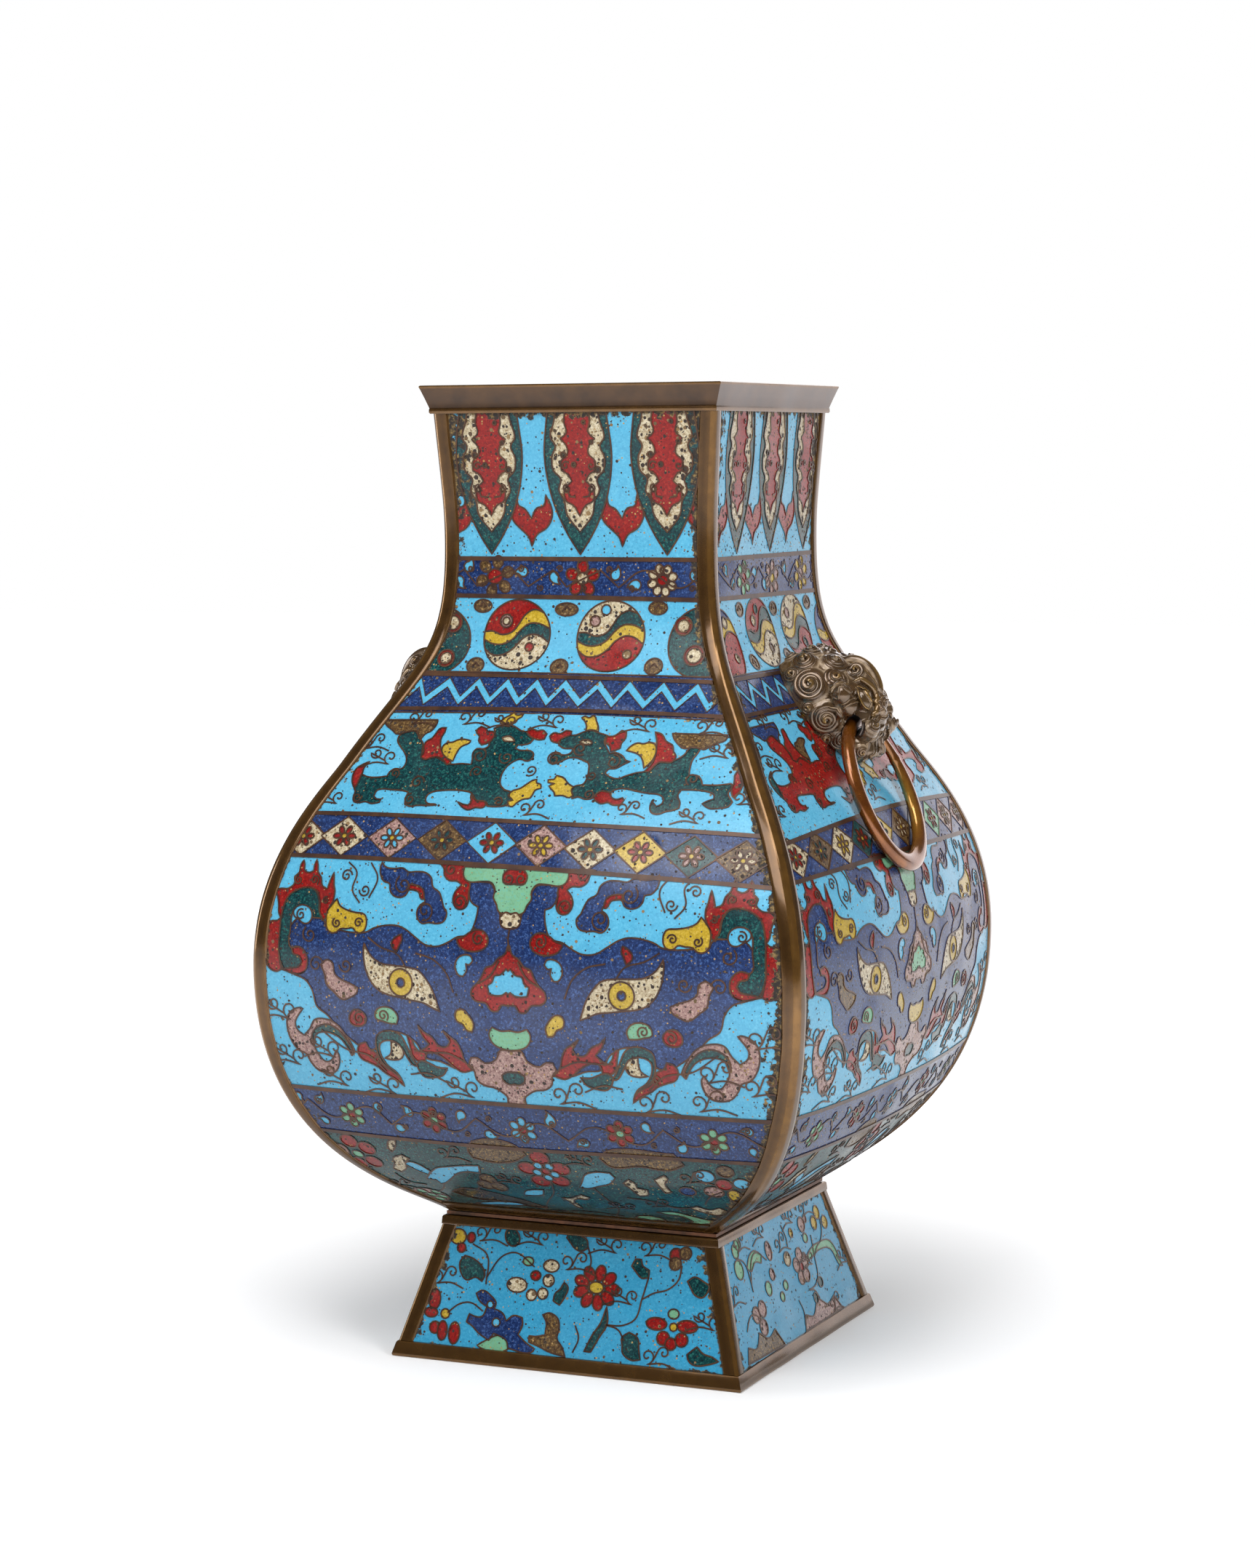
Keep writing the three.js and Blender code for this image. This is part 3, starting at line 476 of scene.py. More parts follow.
# Beast mask of the belly: pieces of its left half, which the right half repeats turned over
beastSide = {
    "flameTop": ("red", [(-33.8, 172.7), (-31.6, 170.6), (-31, 168.1), (-28.7, 166.2), (-24.7, 165.9),
        (-22.7, 164.6), (-25, 162.2), (-25.9, 159.3), (-25, 156.7), (-23.2, 155.4), (-20.3, 155.9),
        (-19, 158.2), (-19.2, 161.8), (-19.2, 165.5), (-21.4, 167), (-22.5, 169.2), (-22.3, 172.4)]),
    "cloud": ("cobalt", [(-60, 172.4), (-58.3, 170.6), (-54.3, 169.9), (-49.9, 170.2), (-47.3, 168.8),
        (-44, 169), (-39.7, 168.8), (-36.7, 167), (-35.3, 163.3), (-32.3, 161.5), (-30.7, 158.6),
        (-29.6, 155.9), (-28, 153.8), (-29.1, 150.5), (-32, 149.6), (-35.6, 149.8), (-38.9, 149.4),
        (-41.1, 151.6), (-41.3, 154.2), (-40, 156.4), (-38.2, 157.5), (-38.9, 159.7), (-40.4, 161.5),
        (-42.9, 161.7), (-45.9, 161.8), (-47.3, 159.7), (-49.9, 158.8), (-52.8, 159.5), (-54.6, 161.5),
        (-55.1, 163.9), (-57.9, 164.8), (-60, 167.7), (-60.4, 170.6)]),
    "cloudBar": ("red", [(-45.9, 164), (-42.6, 163.7), (-39.7, 162.2), (-38.7, 158.6), (-40, 158.6),
        (-41.5, 161.1), (-44, 162), (-46.2, 162)]),
    "bell": ("yellow", [(-82.8, 152.3), (-80.9, 154.9), (-78.7, 157.3), (-77.3, 154.9), (-74, 153.2),
        (-69.6, 152.3), (-65.2, 151.6), (-64.1, 149.4), (-64.5, 146.1), (-66.3, 144.5), (-68.9, 144.9),
        (-70, 146.1), (-73.3, 145.8), (-76.2, 145.6), (-77.7, 144.3), (-80.2, 143.9), (-82.4, 145.4),
        (-83.1, 148.7)]),
    "flame": ("red", [(-106.2, 127.1), (-109.8, 128.2), (-111.6, 131.2), (-112, 138.5), (-112, 144.3),
        (-109.8, 147.2), (-106.5, 147.6), (-105.1, 148.7), (-106.2, 150.9), (-106.5, 153.8), (-107.2, 156.7),
        (-108.3, 159.3), (-106.9, 160.4), (-102.5, 160.7), (-99.9, 162.9), (-100.3, 165.5), (-98.5, 167),
        (-98.1, 170.6), (-97, 172.4), (-96.3, 170.6), (-95.9, 168.4), (-93.7, 167.3), (-91.5, 168.1),
        (-91.5, 170.6), (-90.8, 172.8), (-89.9, 170.6), (-89.3, 167.7), (-87.5, 165.5), (-86.4, 162.2),
        (-83.9, 161.1), (-83.1, 164), (-81.7, 167.7), (-81.3, 165.5), (-80.9, 162.6), (-80.2, 160.4),
        (-80.6, 156), (-82.8, 152.3), (-83.5, 149.4), (-85, 148.5), (-86.3, 150.9), (-86.8, 156),
        (-89.3, 160.4), (-93.7, 161.3), (-98.1, 160.2), (-102.1, 157.5), (-104.3, 151.6), (-105.1, 142.1),
        (-105.1, 134.1), (-104, 128.2)]),
    "horn": ("green", [(-102.5, 128.2), (-105.1, 134.1), (-105.1, 142.1), (-104.3, 151.6), (-102.1, 157.5),
        (-98.1, 160.2), (-93.7, 161.3), (-89.3, 160.2), (-87.2, 156.7), (-86.4, 151.6), (-84.8, 149.3),
        (-89.7, 149.4), (-90.8, 152.3), (-94.5, 154.2), (-98.1, 153.1), (-99.4, 150.9), (-99.9, 144.3),
        (-100.3, 138.5), (-99, 137), (-95.2, 137.6), (-92.3, 135.5), (-91.2, 131.9), (-92.6, 128.2),
        (-96.3, 126.8), (-99.6, 127.5)]),
    "hornCurl": ("red", [(-99, 137), (-95.2, 137.6), (-92.3, 135.5), (-91.2, 131.9), (-92.6, 128.2),
        (-96.3, 126.8), (-101, 127.5), (-104, 128.2), (-99.6, 129), (-95.6, 129.8), (-94.1, 131.9),
        (-95.2, 133.9), (-98.1, 134.7)]),
    "hornEye": ("turquoise", [(-99, 151.6), (-97, 153.8), (-93.7, 154.2), (-90.8, 152.7), (-89.9, 149.8),
        (-91.2, 147.4), (-93.7, 147), (-96.3, 148.5), (-98.5, 149.8)]),
    "eye": ("white", [(-64.6, 140.7), (-63.4, 138.5), (-60.8, 135.5), (-56.5, 133.3), (-50.6, 132.8),
        (-44.8, 132.5), (-39.7, 131.5), (-36, 128.2), (-33.1, 123.8), (-30.3, 116.2), (-33.1, 117.3),
        (-37.5, 119.1), (-42.6, 119.8), (-48.4, 120.6), (-53.5, 121.3), (-57.6, 122.7), (-60.8, 125.3),
        (-63.4, 129.7), (-64.6, 134.1), (-64.9, 138.5)]),
    "comma": ("red", [(-47.7, 144.9), (-49.9, 143.9), (-52.1, 141.4), (-51.3, 139.2), (-49.5, 138.1),
        (-48.4, 140.7), (-47.3, 142.8)]),
    "patch": ("pink", [(-82, 133.3), (-85, 131.2), (-83.1, 127.5), (-82.4, 123.8), (-79.1, 120.9),
        (-74.7, 118), (-71.1, 119.1), (-68.2, 120.9), (-67.4, 123.1), (-71.1, 124.6), (-75.5, 126),
        (-78.4, 128.2), (-79.1, 131.9), (-80.6, 133)]),
    "drop": ("turquoise", [(-22.1, 131.2), (-23.2, 134.1), (-22.1, 137), (-19.2, 138.5), (-16.3, 138.1),
        (-15.5, 136.3), (-17, 134.8), (-18.5, 135.2), (-18.1, 132.6), (-19.6, 130.4), (-21.4, 130.6)]),
    "bean": ("yellow", [(-23.6, 115.1), (-22.5, 117.3), (-19.9, 117.6), (-17.7, 115.8), (-15.5, 112.2),
        (-16.3, 109.2), (-18.8, 109.6), (-20.3, 111.8), (-22.8, 112.9)]),
    "trefoilCurl": ("yellow", [(-8.2, 123.5), (-8.8, 120.9), (-6.8, 118.6), (-4.2, 118.4), (-3.1, 120.6),
        (-4.6, 123)]),
    "cheekDrop": ("red", [(-22.8, 144.3), (-19.6, 145.4), (-17.4, 146.9), (-14.8, 148), (-11.2, 147.6),
        (-9.1, 145), (-9.7, 142.1), (-12.6, 140.3), (-17, 139.9), (-20.7, 141), (-22.5, 143)]),
    "cheekRing": ("red", [(-72.2, 110), (-71.4, 112.9), (-68.9, 114.5), (-65.6, 113.6), (-64.1, 111.1),
        (-65.6, 108.5), (-68.5, 107.8), (-71.1, 108.4)]),
    "cheekBean": ("mint", [(-60, 112.9), (-58.7, 115.4), (-55.4, 116.5), (-51.7, 115.7), (-49.5, 112.9),
        (-50.2, 110), (-53.5, 110), (-56.5, 110.7), (-59.7, 111.6)]),
    "moustache": ("red", [(-17.7, 93.9), (-22.1, 92.8), (-25.8, 94.6), (-29.4, 97.5), (-33.1, 99.4),
        (-36.7, 99.7), (-38.2, 97.5), (-38.2, 95.3), (-41.8, 95.7), (-44, 97.5), (-44.8, 101.2),
        (-45.9, 105.9), (-44, 104.8), (-42.9, 101.9), (-41.1, 99.7), (-38.2, 101.2), (-36, 103),
        (-38.9, 106.3), (-40.7, 110.3), (-38.2, 107.8), (-34.5, 105.9), (-31.6, 102.7), (-28, 102.7),
        (-26.5, 104.8), (-29.4, 108.9), (-25.8, 106.3), (-23.6, 104.8), (-21.7, 101.2), (-20.7, 97.5)]),
    "fangArc": ("green", [(-60.5, 101.9), (-59.7, 104.8), (-56.5, 106.7), (-51.3, 107), (-48.4, 105.2),
        (-46.2, 101.2), (-44, 96.4), (-41.8, 93.5), (-44.4, 94), (-46.6, 96.8), (-48.8, 100.5),
        (-51.7, 102.8), (-55.7, 103), (-58.7, 101.2), (-58.8, 97.5), (-56.5, 93.2), (-52.1, 89.9),
        (-50.2, 86.9), (-55, 91), (-58.7, 94.2), (-60.3, 98.3)]),
    "fangDrop": ("red", [(-69.6, 97.5), (-68.2, 100.5), (-65.2, 101.6), (-63.8, 99), (-60.8, 97.5),
        (-59.7, 95.3), (-57.9, 92.4), (-53.5, 89.9), (-50.6, 87.3), (-49.7, 84.5), (-53.5, 87.3),
        (-57.9, 89.5), (-60.8, 91.7), (-64.5, 93.2), (-68.2, 94.6)]),
    "fang": ("white", [(-53.5, 103), (-49.9, 101.9), (-48.1, 99), (-49.2, 96.4), (-52.8, 95.3),
        (-57.2, 95.7), (-54.3, 97.5), (-53.5, 100.5)]),
    "jawLeaf": ("green", [(-42.6, 94.6), (-40.4, 96.1), (-36.7, 95.3), (-33.1, 93.9), (-28.8, 93.9),
        (-30.9, 91), (-35.3, 89.5), (-39.7, 89.5), (-41.8, 91.7)]),
    "claw": ("pink", [(-94.1, 112.9), (-97.4, 108.9), (-98.3, 107), (-97.7, 104.1), (-94.5, 101.9),
        (-91.5, 104.8), (-88.6, 108.9), (-82.8, 109.4), (-78.4, 107.8), (-74.7, 104.1), (-71.8, 99.7),
        (-70.7, 97.2), (-72.5, 95.3), (-74, 98.3), (-76.9, 101.9), (-80.6, 103.7), (-85, 104.1),
        (-88.6, 102.7), (-90.1, 98.3), (-88.6, 94.6), (-85.7, 91.7), (-82.8, 92.4), (-79.8, 96.8),
        (-78.7, 95.3), (-79.5, 90.2), (-82, 87.3), (-86.4, 86.6), (-90.1, 87.7), (-93, 91), (-94.5, 93.9),
        (-98.1, 95.3), (-101, 99), (-102.5, 104.8), (-101.8, 109.2), (-98.8, 112.2), (-95.2, 113.2)]),
    "clawStripe": ("green", [(-90.8, 101.9), (-87.9, 105.9), (-82.8, 107.4), (-78.4, 105.9), (-74.7, 102.3),
        (-72, 97.4), (-72.5, 95.3), (-74, 98.3), (-76.9, 101.9), (-80.6, 103.7), (-85, 104.1),
        (-88.6, 102.7), (-89.9, 99)]),
}
# Dragon of the shoulder that faces right
dragonLeft = {
    "dragon": ("green", [(-19.4, 233.7), (-22.5, 232.8), (-24.6, 231.7), (-23.6, 229.7), (-24, 227.2),
        (-24.9, 225.1), (-24.9, 223.5), (-26.8, 222.3), (-29.8, 222.3), (-31, 220.5), (-30.5, 217.4),
        (-30.5, 215.2), (-34.8, 215.5), (-39.7, 215.2), (-42.8, 216.2), (-46.5, 218), (-50.2, 218.3),
        (-53.8, 218), (-54.3, 221.1), (-55.1, 224.8), (-57.5, 227.2), (-59.4, 229.7), (-63.1, 230),
        (-66.5, 228.5), (-67.1, 226), (-64.9, 222.9), (-62.5, 220.5), (-60.6, 217.4), (-60.6, 214.3),
        (-61.8, 212.8), (-64.9, 212.8), (-66.8, 211.2), (-67.4, 209.4), (-71.7, 208.8), (-76.6, 209.1),
        (-79.4, 210.3), (-80.6, 207.5), (-81.2, 203.8), (-80.3, 202.6), (-80.4, 199.5), (-79.4, 197.6),
        (-76.6, 197.2), (-74.2, 197.7), (-71.1, 196.8), (-67.4, 197.4), (-67.1, 198.9), (-69.2, 198.9),
        (-70.8, 200.2), (-70.2, 202.6), (-69.1, 203.2), (-62.5, 203), (-57.5, 202.6), (-55.4, 202),
        (-55.8, 198.9), (-55.4, 196.5), (-52.6, 195.7), (-49.5, 196.2), (-45.2, 196.2), (-40.8, 196.5),
        (-41.5, 196.8), (-45.2, 197.2), (-46.5, 198.6), (-46.2, 200.8), (-44, 202.3), (-39.7, 203),
        (-34.8, 203.2), (-29.8, 202.9), (-26.8, 202.1), (-23.7, 198.9), (-18.8, 198), (-18.2, 196.5),
        (-13.2, 196.5), (-10.2, 197.1), (-7.1, 199.5), (-10.2, 201.4), (-9.5, 203.2), (-12.6, 204),
        (-15, 206.3), (-15.7, 210), (-14.8, 213.7), (-12.6, 216.5), (-9.5, 218), (-5.8, 217.3),
        (-4.3, 218.3), (-4, 220.5), (-5.8, 221.9), (-10.2, 222), (-12.6, 222.8), (-12.1, 224.3),
        (-8.9, 224.6), (-6.8, 225.4), (-5.8, 227.5), (-9.2, 230.3), (-12, 230.8), (-15.7, 232.8)]),
    "tailTip": ("red", [(-77.5, 216.2), (-80.3, 214.9), (-82.8, 213.1), (-83.7, 210), (-83.1, 206.9),
        (-81.2, 203.7), (-80.4, 205.1), (-80, 208.2), (-79.4, 210.6), (-79.4, 213.1)]),
    "tailPlate": ("brown", [(-76.4, 235.4), (-51.1, 235.4), (-50.9, 234), (-52.6, 230.3), (-55.1, 228.8),
        (-56.3, 226.6), (-57.5, 227.8), (-58.8, 229.7), (-62.5, 230), (-66.8, 228.8), (-68.6, 228.8),
        (-70.5, 230.3), (-74.2, 232.8)]),
    "backFlame": ("red", [(-46.2, 231.8), (-48.9, 231.4), (-50.2, 229.1), (-51.4, 226.9), (-53.5, 225.5),
        (-54.3, 223.5), (-53.5, 220.5), (-54.3, 218.3), (-52, 217.1), (-49.5, 217.9), (-46.5, 218.3),
        (-43.4, 216.8), (-41.5, 214.9), (-39.7, 215.5), (-40.9, 217.7), (-43.4, 219.2), (-45.8, 221.7),
        (-46.8, 224.2), (-47.1, 227.2), (-46.3, 229.7)]),
    "wing": ("yellow", [(-33.5, 225.9), (-36.6, 226.5), (-39.7, 226.1), (-41.5, 225.1), (-44, 224.8),
        (-45.5, 222.9), (-45.2, 220.8), (-42.8, 218.3), (-39.1, 216.5), (-38.6, 219.2), (-37.2, 222.9),
        (-33.5, 225.3)]),
    "earHorn": ("red", [(-30.5, 232.5), (-32, 230.9), (-31.7, 229.4), (-30.2, 228.2), (-29.8, 225.7),
        (-28, 224), (-25.8, 224.9), (-24, 226.6), (-23.6, 228.8), (-24.6, 230.3), (-26.8, 230.3),
        (-28.3, 231.7)]),
    "snout": ("red", [(-9.8, 230.6), (-7.4, 231.8), (-5.2, 231), (-2.8, 231.4), (-0.6, 229.7), (-1.2, 227.2),
        (-3.4, 226.9), (-5.8, 227.5), (-8.3, 228.8)]),
    "crest": ("yellow", [(-22.5, 234), (-21.2, 236.5), (-19.4, 237.7), (-17.5, 239.5), (-16.6, 238.3),
        (-15.1, 238), (-13.2, 238.8), (-13.7, 237.2), (-15.2, 236.2), (-15.8, 234.6), (-18.8, 233.7)]),
    "dragonEye": ("white", [(-19.7, 227.5), (-17.2, 228.3), (-14.8, 227.2), (-13.8, 225.9), (-16.9, 225.9),
        (-18.8, 226.3)]),
    "paw": ("yellow", [(-9.5, 203.1), (-5.8, 204.8), (-3.4, 206.9), (-1.5, 208.5), (0.3, 209.1),
        (0.6, 207.5), (2.5, 206.9), (3.1, 205.1), (0.9, 204.2), (0.3, 202.6), (-0.3, 200.8), (-3.4, 200),
        (-5.8, 198.3), (-7.1, 196.8), (-8.9, 197), (-9.7, 198.9), (-7.6, 199.5), (-9.8, 201.4)]),
    "footFlame": ("red", [(-26.6, 202), (-25.5, 200.2), (-23.7, 198.9), (-20, 198.6), (-18.5, 197.7),
        (-20, 195.8), (-23.1, 195.8), (-26.2, 194.7), (-28.6, 195.5), (-32, 198.2), (-29.2, 197.1),
        (-26.8, 196.8), (-25.8, 198.3), (-26.5, 200.2)]),
}
# Dragon of the shoulder that faces left
dragonRight = {
    "dragon": ("green", [(6.2, 227.5), (8.9, 229.1), (12.3, 229.7), (15.1, 231.2), (18.5, 232), (21.5, 231),
        (23.7, 230.4), (25.5, 230), (24.9, 227.2), (26.8, 224.2), (28.3, 222), (31.1, 222.4), (34.2, 221.1),
        (36, 219.2), (38, 218.9), (35.4, 217.5), (32.3, 215.4), (29.5, 215), (28.6, 213.1), (30.5, 211.8),
        (34.2, 210.9), (37.8, 212.5), (41.5, 214), (44.6, 214.7), (48.3, 217.4), (49.5, 218.9),
        (52.6, 219.2), (56.3, 220.5), (59.4, 222.9), (61.5, 226.3), (65.5, 226.1), (64.9, 224.2),
        (63.4, 221.1), (63.1, 217.4), (63.4, 214.3), (66.8, 214.3), (68.6, 212.8), (69.8, 210.3),
        (76, 210.7), (81.2, 211.8), (81.8, 210), (80.9, 207.5), (83.4, 203.8), (82.2, 201.7), (78.5, 200.6),
        (74.8, 200.3), (71.4, 202.1), (73.5, 203.5), (75.7, 204.5), (75.4, 206.3), (72.3, 207.5),
        (66.8, 207.8), (61.8, 207.5), (60.9, 205.1), (62.5, 202), (62.6, 199.5), (60, 198.3), (57.5, 197.7),
        (55.1, 196.5), (52, 196.8), (50.8, 198.9), (50.8, 201.7), (51.7, 201.1), (53.2, 199.7),
        (55.1, 200.8), (55.4, 203.2), (53.2, 204.8), (48.9, 205.1), (44, 205.7), (37.8, 206.6),
        (34.2, 205.7), (32.9, 204.5), (30.5, 205.1), (27.1, 203.5), (26.5, 202), (23.1, 201.1), (19.7, 202),
        (17.5, 201.1), (16.3, 205.1), (17.2, 206.6), (20.6, 207.8), (21.5, 210.6), (21.2, 214.9),
        (20.6, 217.1), (18.2, 218.3), (15.1, 219.4), (11.4, 219.2), (7.7, 217.1), (5.2, 216.2), (3.7, 218),
        (4, 220.2), (5.8, 221), (9.5, 220.5), (12, 221.7), (12.3, 223.5), (8.3, 223.5), (5.8, 224.8)]),
    "tailTip": ("red", [(82.6, 217.7), (84.6, 214.9), (85.8, 211.2), (85.2, 208.2), (83.7, 205.4),
        (82.2, 207.5), (81.8, 210), (82.2, 212.5), (81.8, 215.5)]),
    "tailPlate": ("brown", [(52.5, 232.2), (57.5, 232.3), (66.8, 232.5), (75.4, 232.8), (74.8, 230.3),
        (71.7, 228.8), (69.2, 227.2), (66.8, 225.7), (64.9, 226.3), (61.5, 226.3), (58.8, 225.7),
        (56.3, 227.2), (53.8, 229.7)]),
    "backFlame": ("red", [(45.2, 232.5), (48.3, 231.5), (50.8, 228.5), (53.8, 226.9), (54.8, 224.2),
        (56.3, 222), (55.1, 219.5), (52.6, 219.2), (50.2, 219.2), (48.3, 217.4), (46.5, 214.9),
        (44.6, 214.8), (46.5, 217.4), (47.6, 220.5), (47.4, 224.8), (46.8, 228.5)]),
    "wing": ("yellow", [(35.1, 223.5), (36.6, 225.7), (39.1, 227.2), (41.5, 226.9), (44, 227.7),
        (46.5, 226.9), (47.6, 224.2), (47.2, 220.5), (45.2, 217.4), (44.1, 216.2), (43.1, 219.2),
        (41.2, 221.7), (38.5, 222.9)]),
    "earHorn": ("red", [(25.5, 229.7), (28, 229.7), (29.8, 230.9), (31.1, 232.5), (33.2, 231.8),
        (33.5, 229.1), (32.3, 226.6), (32.3, 224.5), (29.8, 223.2), (28.6, 222.9), (27.7, 225.1),
        (25.5, 226.9)]),
    "snout": ("red", [(5.2, 225.7), (2.2, 226.6), (0.9, 228.8), (2.2, 230.3), (5.2, 230), (7.4, 231.5),
        (9.8, 231.2), (10, 229.4), (8.3, 228.8), (6.2, 227.5)]),
    "crest": ("yellow", [(15.7, 231.8), (15.7, 233.4), (14.5, 235.8), (12.5, 237.6), (13.8, 238.3),
        (15.7, 237.7), (17.2, 238.8), (18.5, 238), (19.1, 236.5), (20.3, 234.6), (21.4, 231.5),
        (18.5, 232.2)]),
    "dragonEye": ("white", [(14.3, 226.6), (15.7, 227.5), (18.2, 227.5), (20, 226.3), (18.8, 225.5),
        (16.3, 225.7)]),
    "paw": ("yellow", [(16.9, 206.3), (14.5, 207.5), (11.4, 210.3), (8.3, 211.2), (7.7, 209.4), (5.2, 209.1),
        (5.5, 207.8), (8.3, 207.5), (6.2, 206.3), (7.7, 204.8), (9.2, 203.5), (9.8, 202), (13.2, 202.3),
        (16.3, 201.5), (17.5, 202.6), (16.3, 205.1)]),
    "footFlame": ("red", [(27.1, 203.5), (29.2, 205.1), (31.4, 204.8), (32.9, 204.5), (33.8, 202.6),
        (36, 201.7), (38.5, 202.6), (39.4, 201.7), (38.5, 199.5), (35.4, 199.2), (32.9, 200.2),
        (30.2, 199.5), (28, 200.5), (26.6, 202)]),
}


# Strips that part a face into registers, from the foot up, and the grounds between them
frontStrips = [
    [(-125, 56.5), (-50, 59), (0, 60), (50, 60), (125, 56)],
    [(-125, 77.9), (-20, 80.5), (60, 79.8), (125, 77.4)], [(-125, 174.9), (0, 172.3), (125, 169.4)],
    [(-125, 193), (-86, 192.5), (0, 190.4), (125, 190.3)], [(-125, 240.7), (125, 240.7)],
    [(-125, 257.3), (125, 255.3)], [(-125, 290.4), (0, 289.8), (125, 288.6)], [(-125, 305.2), (125, 305.2)],
]
sideStrips = [
    [(-125, 56.5), (0, 59.5), (125, 56)], [(-125, 78.5), (0, 80), (125, 77.4)],
    [(-125, 171.5), (125, 170.6)], [(-125, 186), (0, 189), (125, 187.6)], [(-125, 240.7), (125, 240.7)],
    [(-125, 256.6), (125, 256)], [(-125, 289.8), (125, 288.8)], [(-125, 305.2), (125, 305.2)],
]
grounds = [
    "green", "cobalt", "turquoise", "cobalt", "turquoise", "turquoise", "turquoise", "cobalt", "turquoise",
]


def drawRegisters(sheet, strips, colours):
    lines = [[(-125, -5), (125, -5)], *strips, [(-125, 370), (125, 370)]]
    for colour, low, high in zip(colours, lines, lines[1:]):
        cell(sheet, colour, np.concatenate([smoothed(low, False), smoothed(high, False)[::-1]]))
    sheet["bars"] += [smoothed(line, False) for line in strips]


# Hanging leaves of the neck, measured from a leaf's middle line: left half, closed at the middle
lappetForm = {
    "blade": ("green", [(-12.4, 367), (-13.8, 358), (-14.8, 347), (-13.4, 335), (-10.2, 324.5), (-5.4, 315),
        (0.5, 307)]),
    "lining": ("white", [(-8.6, 367), (-10.2, 360), (-11.8, 354), (-9.8, 350.6), (-11.6, 346), (-11, 340.6),
        (-8, 337.4), (-8.9, 332.6), (-6.8, 328.8), (-5.6, 323), (0.5, 316)]),
    "core": ("red", [(-4.6, 367), (-5.6, 360), (-4.8, 356), (-7.6, 353.4), (-5, 350.6), (-4.6, 347.4),
        (-7.4, 344.6), (-7.6, 340.8), (-4.6, 339), (-3.1, 336.4), (-6.4, 333), (-6, 328.6), (-2.6, 326.6),
        (0.5, 322.4)]),
}
budForm = [
    (-6.4, 331), (-9.4, 325), (-8.2, 320.6), (-4.6, 317), (-1.4, 314), (0, 310.2), (2.4, 315), (6.6, 317.6),
    (9.2, 322), (9, 326), (6.6, 331), (5.6, 326.6), (2.4, 325.6), (0, 321.4), (-3, 325.4), (-5.6, 326.8),
]


def shifted(points, across):
    return [(u + across, s) for u, s in points]


def drawLappets(sheet, blades, tongues):
    for middle in tongues:
        cell(sheet, "red", smoothed(shifted(budForm, middle)))
    for middle in blades:
        for colour, half in lappetForm.values():
            cell(sheet, colour, smoothed(shifted(bothHalves(half[::-1])[::-1], middle)))
        for side in (-1, 1):
            curl(sheet, middle + side * 5.4, 333.4, 1.9, math.pi / 2, -side,
                 [(middle + side * 1.6, 330), (middle + side * 4.4, 330.4)], turns=1.1)
            curl(sheet, middle + side * 5.6, 342.6, 1.9, 0.6, -side, turns=1.1)
            cell(sheet, "white", disc(middle + side * 5.2, 333.2, 1.0))
        for u, s, size in ((6, 352, 0.9), (-6.5, 347, 1.2), (3, 360, 0.8), (8.4, 341, 1.3), (-2, 343, 1.0)):
            cell(sheet, "soil", disc(middle + u, s, size))


def blossom(sheet, u, s, core, coreSize, petal, petalSize, reach, count, start):
    for k in range(count):
        angle = start + 2 * math.pi * k / count
        cell(sheet, petal, disc(u + reach * math.cos(angle), s + reach * math.sin(angle),
                                petalSize, petalSize * 0.86, angle))
    cell(sheet, core, disc(u, s, coreSize, coreSize * 0.9))


def commaLeaf(sheet, colour, u, s, size, turn):  # a head with a tail that curls round it
    form = [(1, 0.2), (0.6, 0.9), (-0.2, 1.1), (-0.9, 0.7), (-1.1, -0.1), (-0.7, -0.9), (0.2, -1.4),
            (1.5, -1.6), (0.9, -0.9)]
    c, d = math.cos(turn) * size, math.sin(turn) * size
    cell(sheet, colour, smoothed([(u + c * x - d * y, s + d * x + c * y) for x, y in form], pitch=0.8))


def drawVine(sheet, knots, sway, level):  # a stem that sways between the flowers
    wire(sheet, [(u, level + (sway if k % 2 else -sway)) for k, u in enumerate(knots)])
    for k, (u, after) in enumerate(zip(knots, knots[1:])):
        rise = (sway if k % 2 else -sway) * 1.1
        curl(sheet, (u + after) / 2, level + rise, 1.5, 0.6 * k, 1 - 2 * (k % 2))


def drawFlowerBand(sheet, look):
    for u, s, core, coreSize, petal, petalSize, reach, count in look["flowers"]:
        blossom(sheet, u, s, core, coreSize, petal, petalSize, reach, count, 0.3)
    for k, (u, s) in enumerate(look["leaves"]):
        commaLeaf(sheet, "turquoise", u, s, 1.9, 2.1 * k)
    drawVine(sheet, look["vine"], 3.4, 297.4)


# Split discs of the collar: S-curves part each into four colours
splitLines = [
    [(-14.6, 1.6), (-11, 1.8), (-7, 0.4), (-2.4, 1.6), (0.4, 5), (2.6, 8.4), (6.6, 10.8), (11.4, 9.6)],
    [(-14.6, -1.6), (-10.6, -3.4), (-6.4, -3.6), (-2, -1.6), (1.4, 2.4), (4.8, 5), (9, 5.2), (14.2, 3.2)],
    [(-13.6, -5.6), (-9.6, -8.2), (-5, -8), (-1, -5.4), (2.4, -1.4), (6, 0.6), (10, 0.2), (14.4, -2.6)],
]


def insideDisc(points, size):
    points = np.asarray(points, float)
    reach = np.linalg.norm(points, axis=1)
    return points * np.minimum(1, size / np.maximum(reach, 1e-6))[:, None]


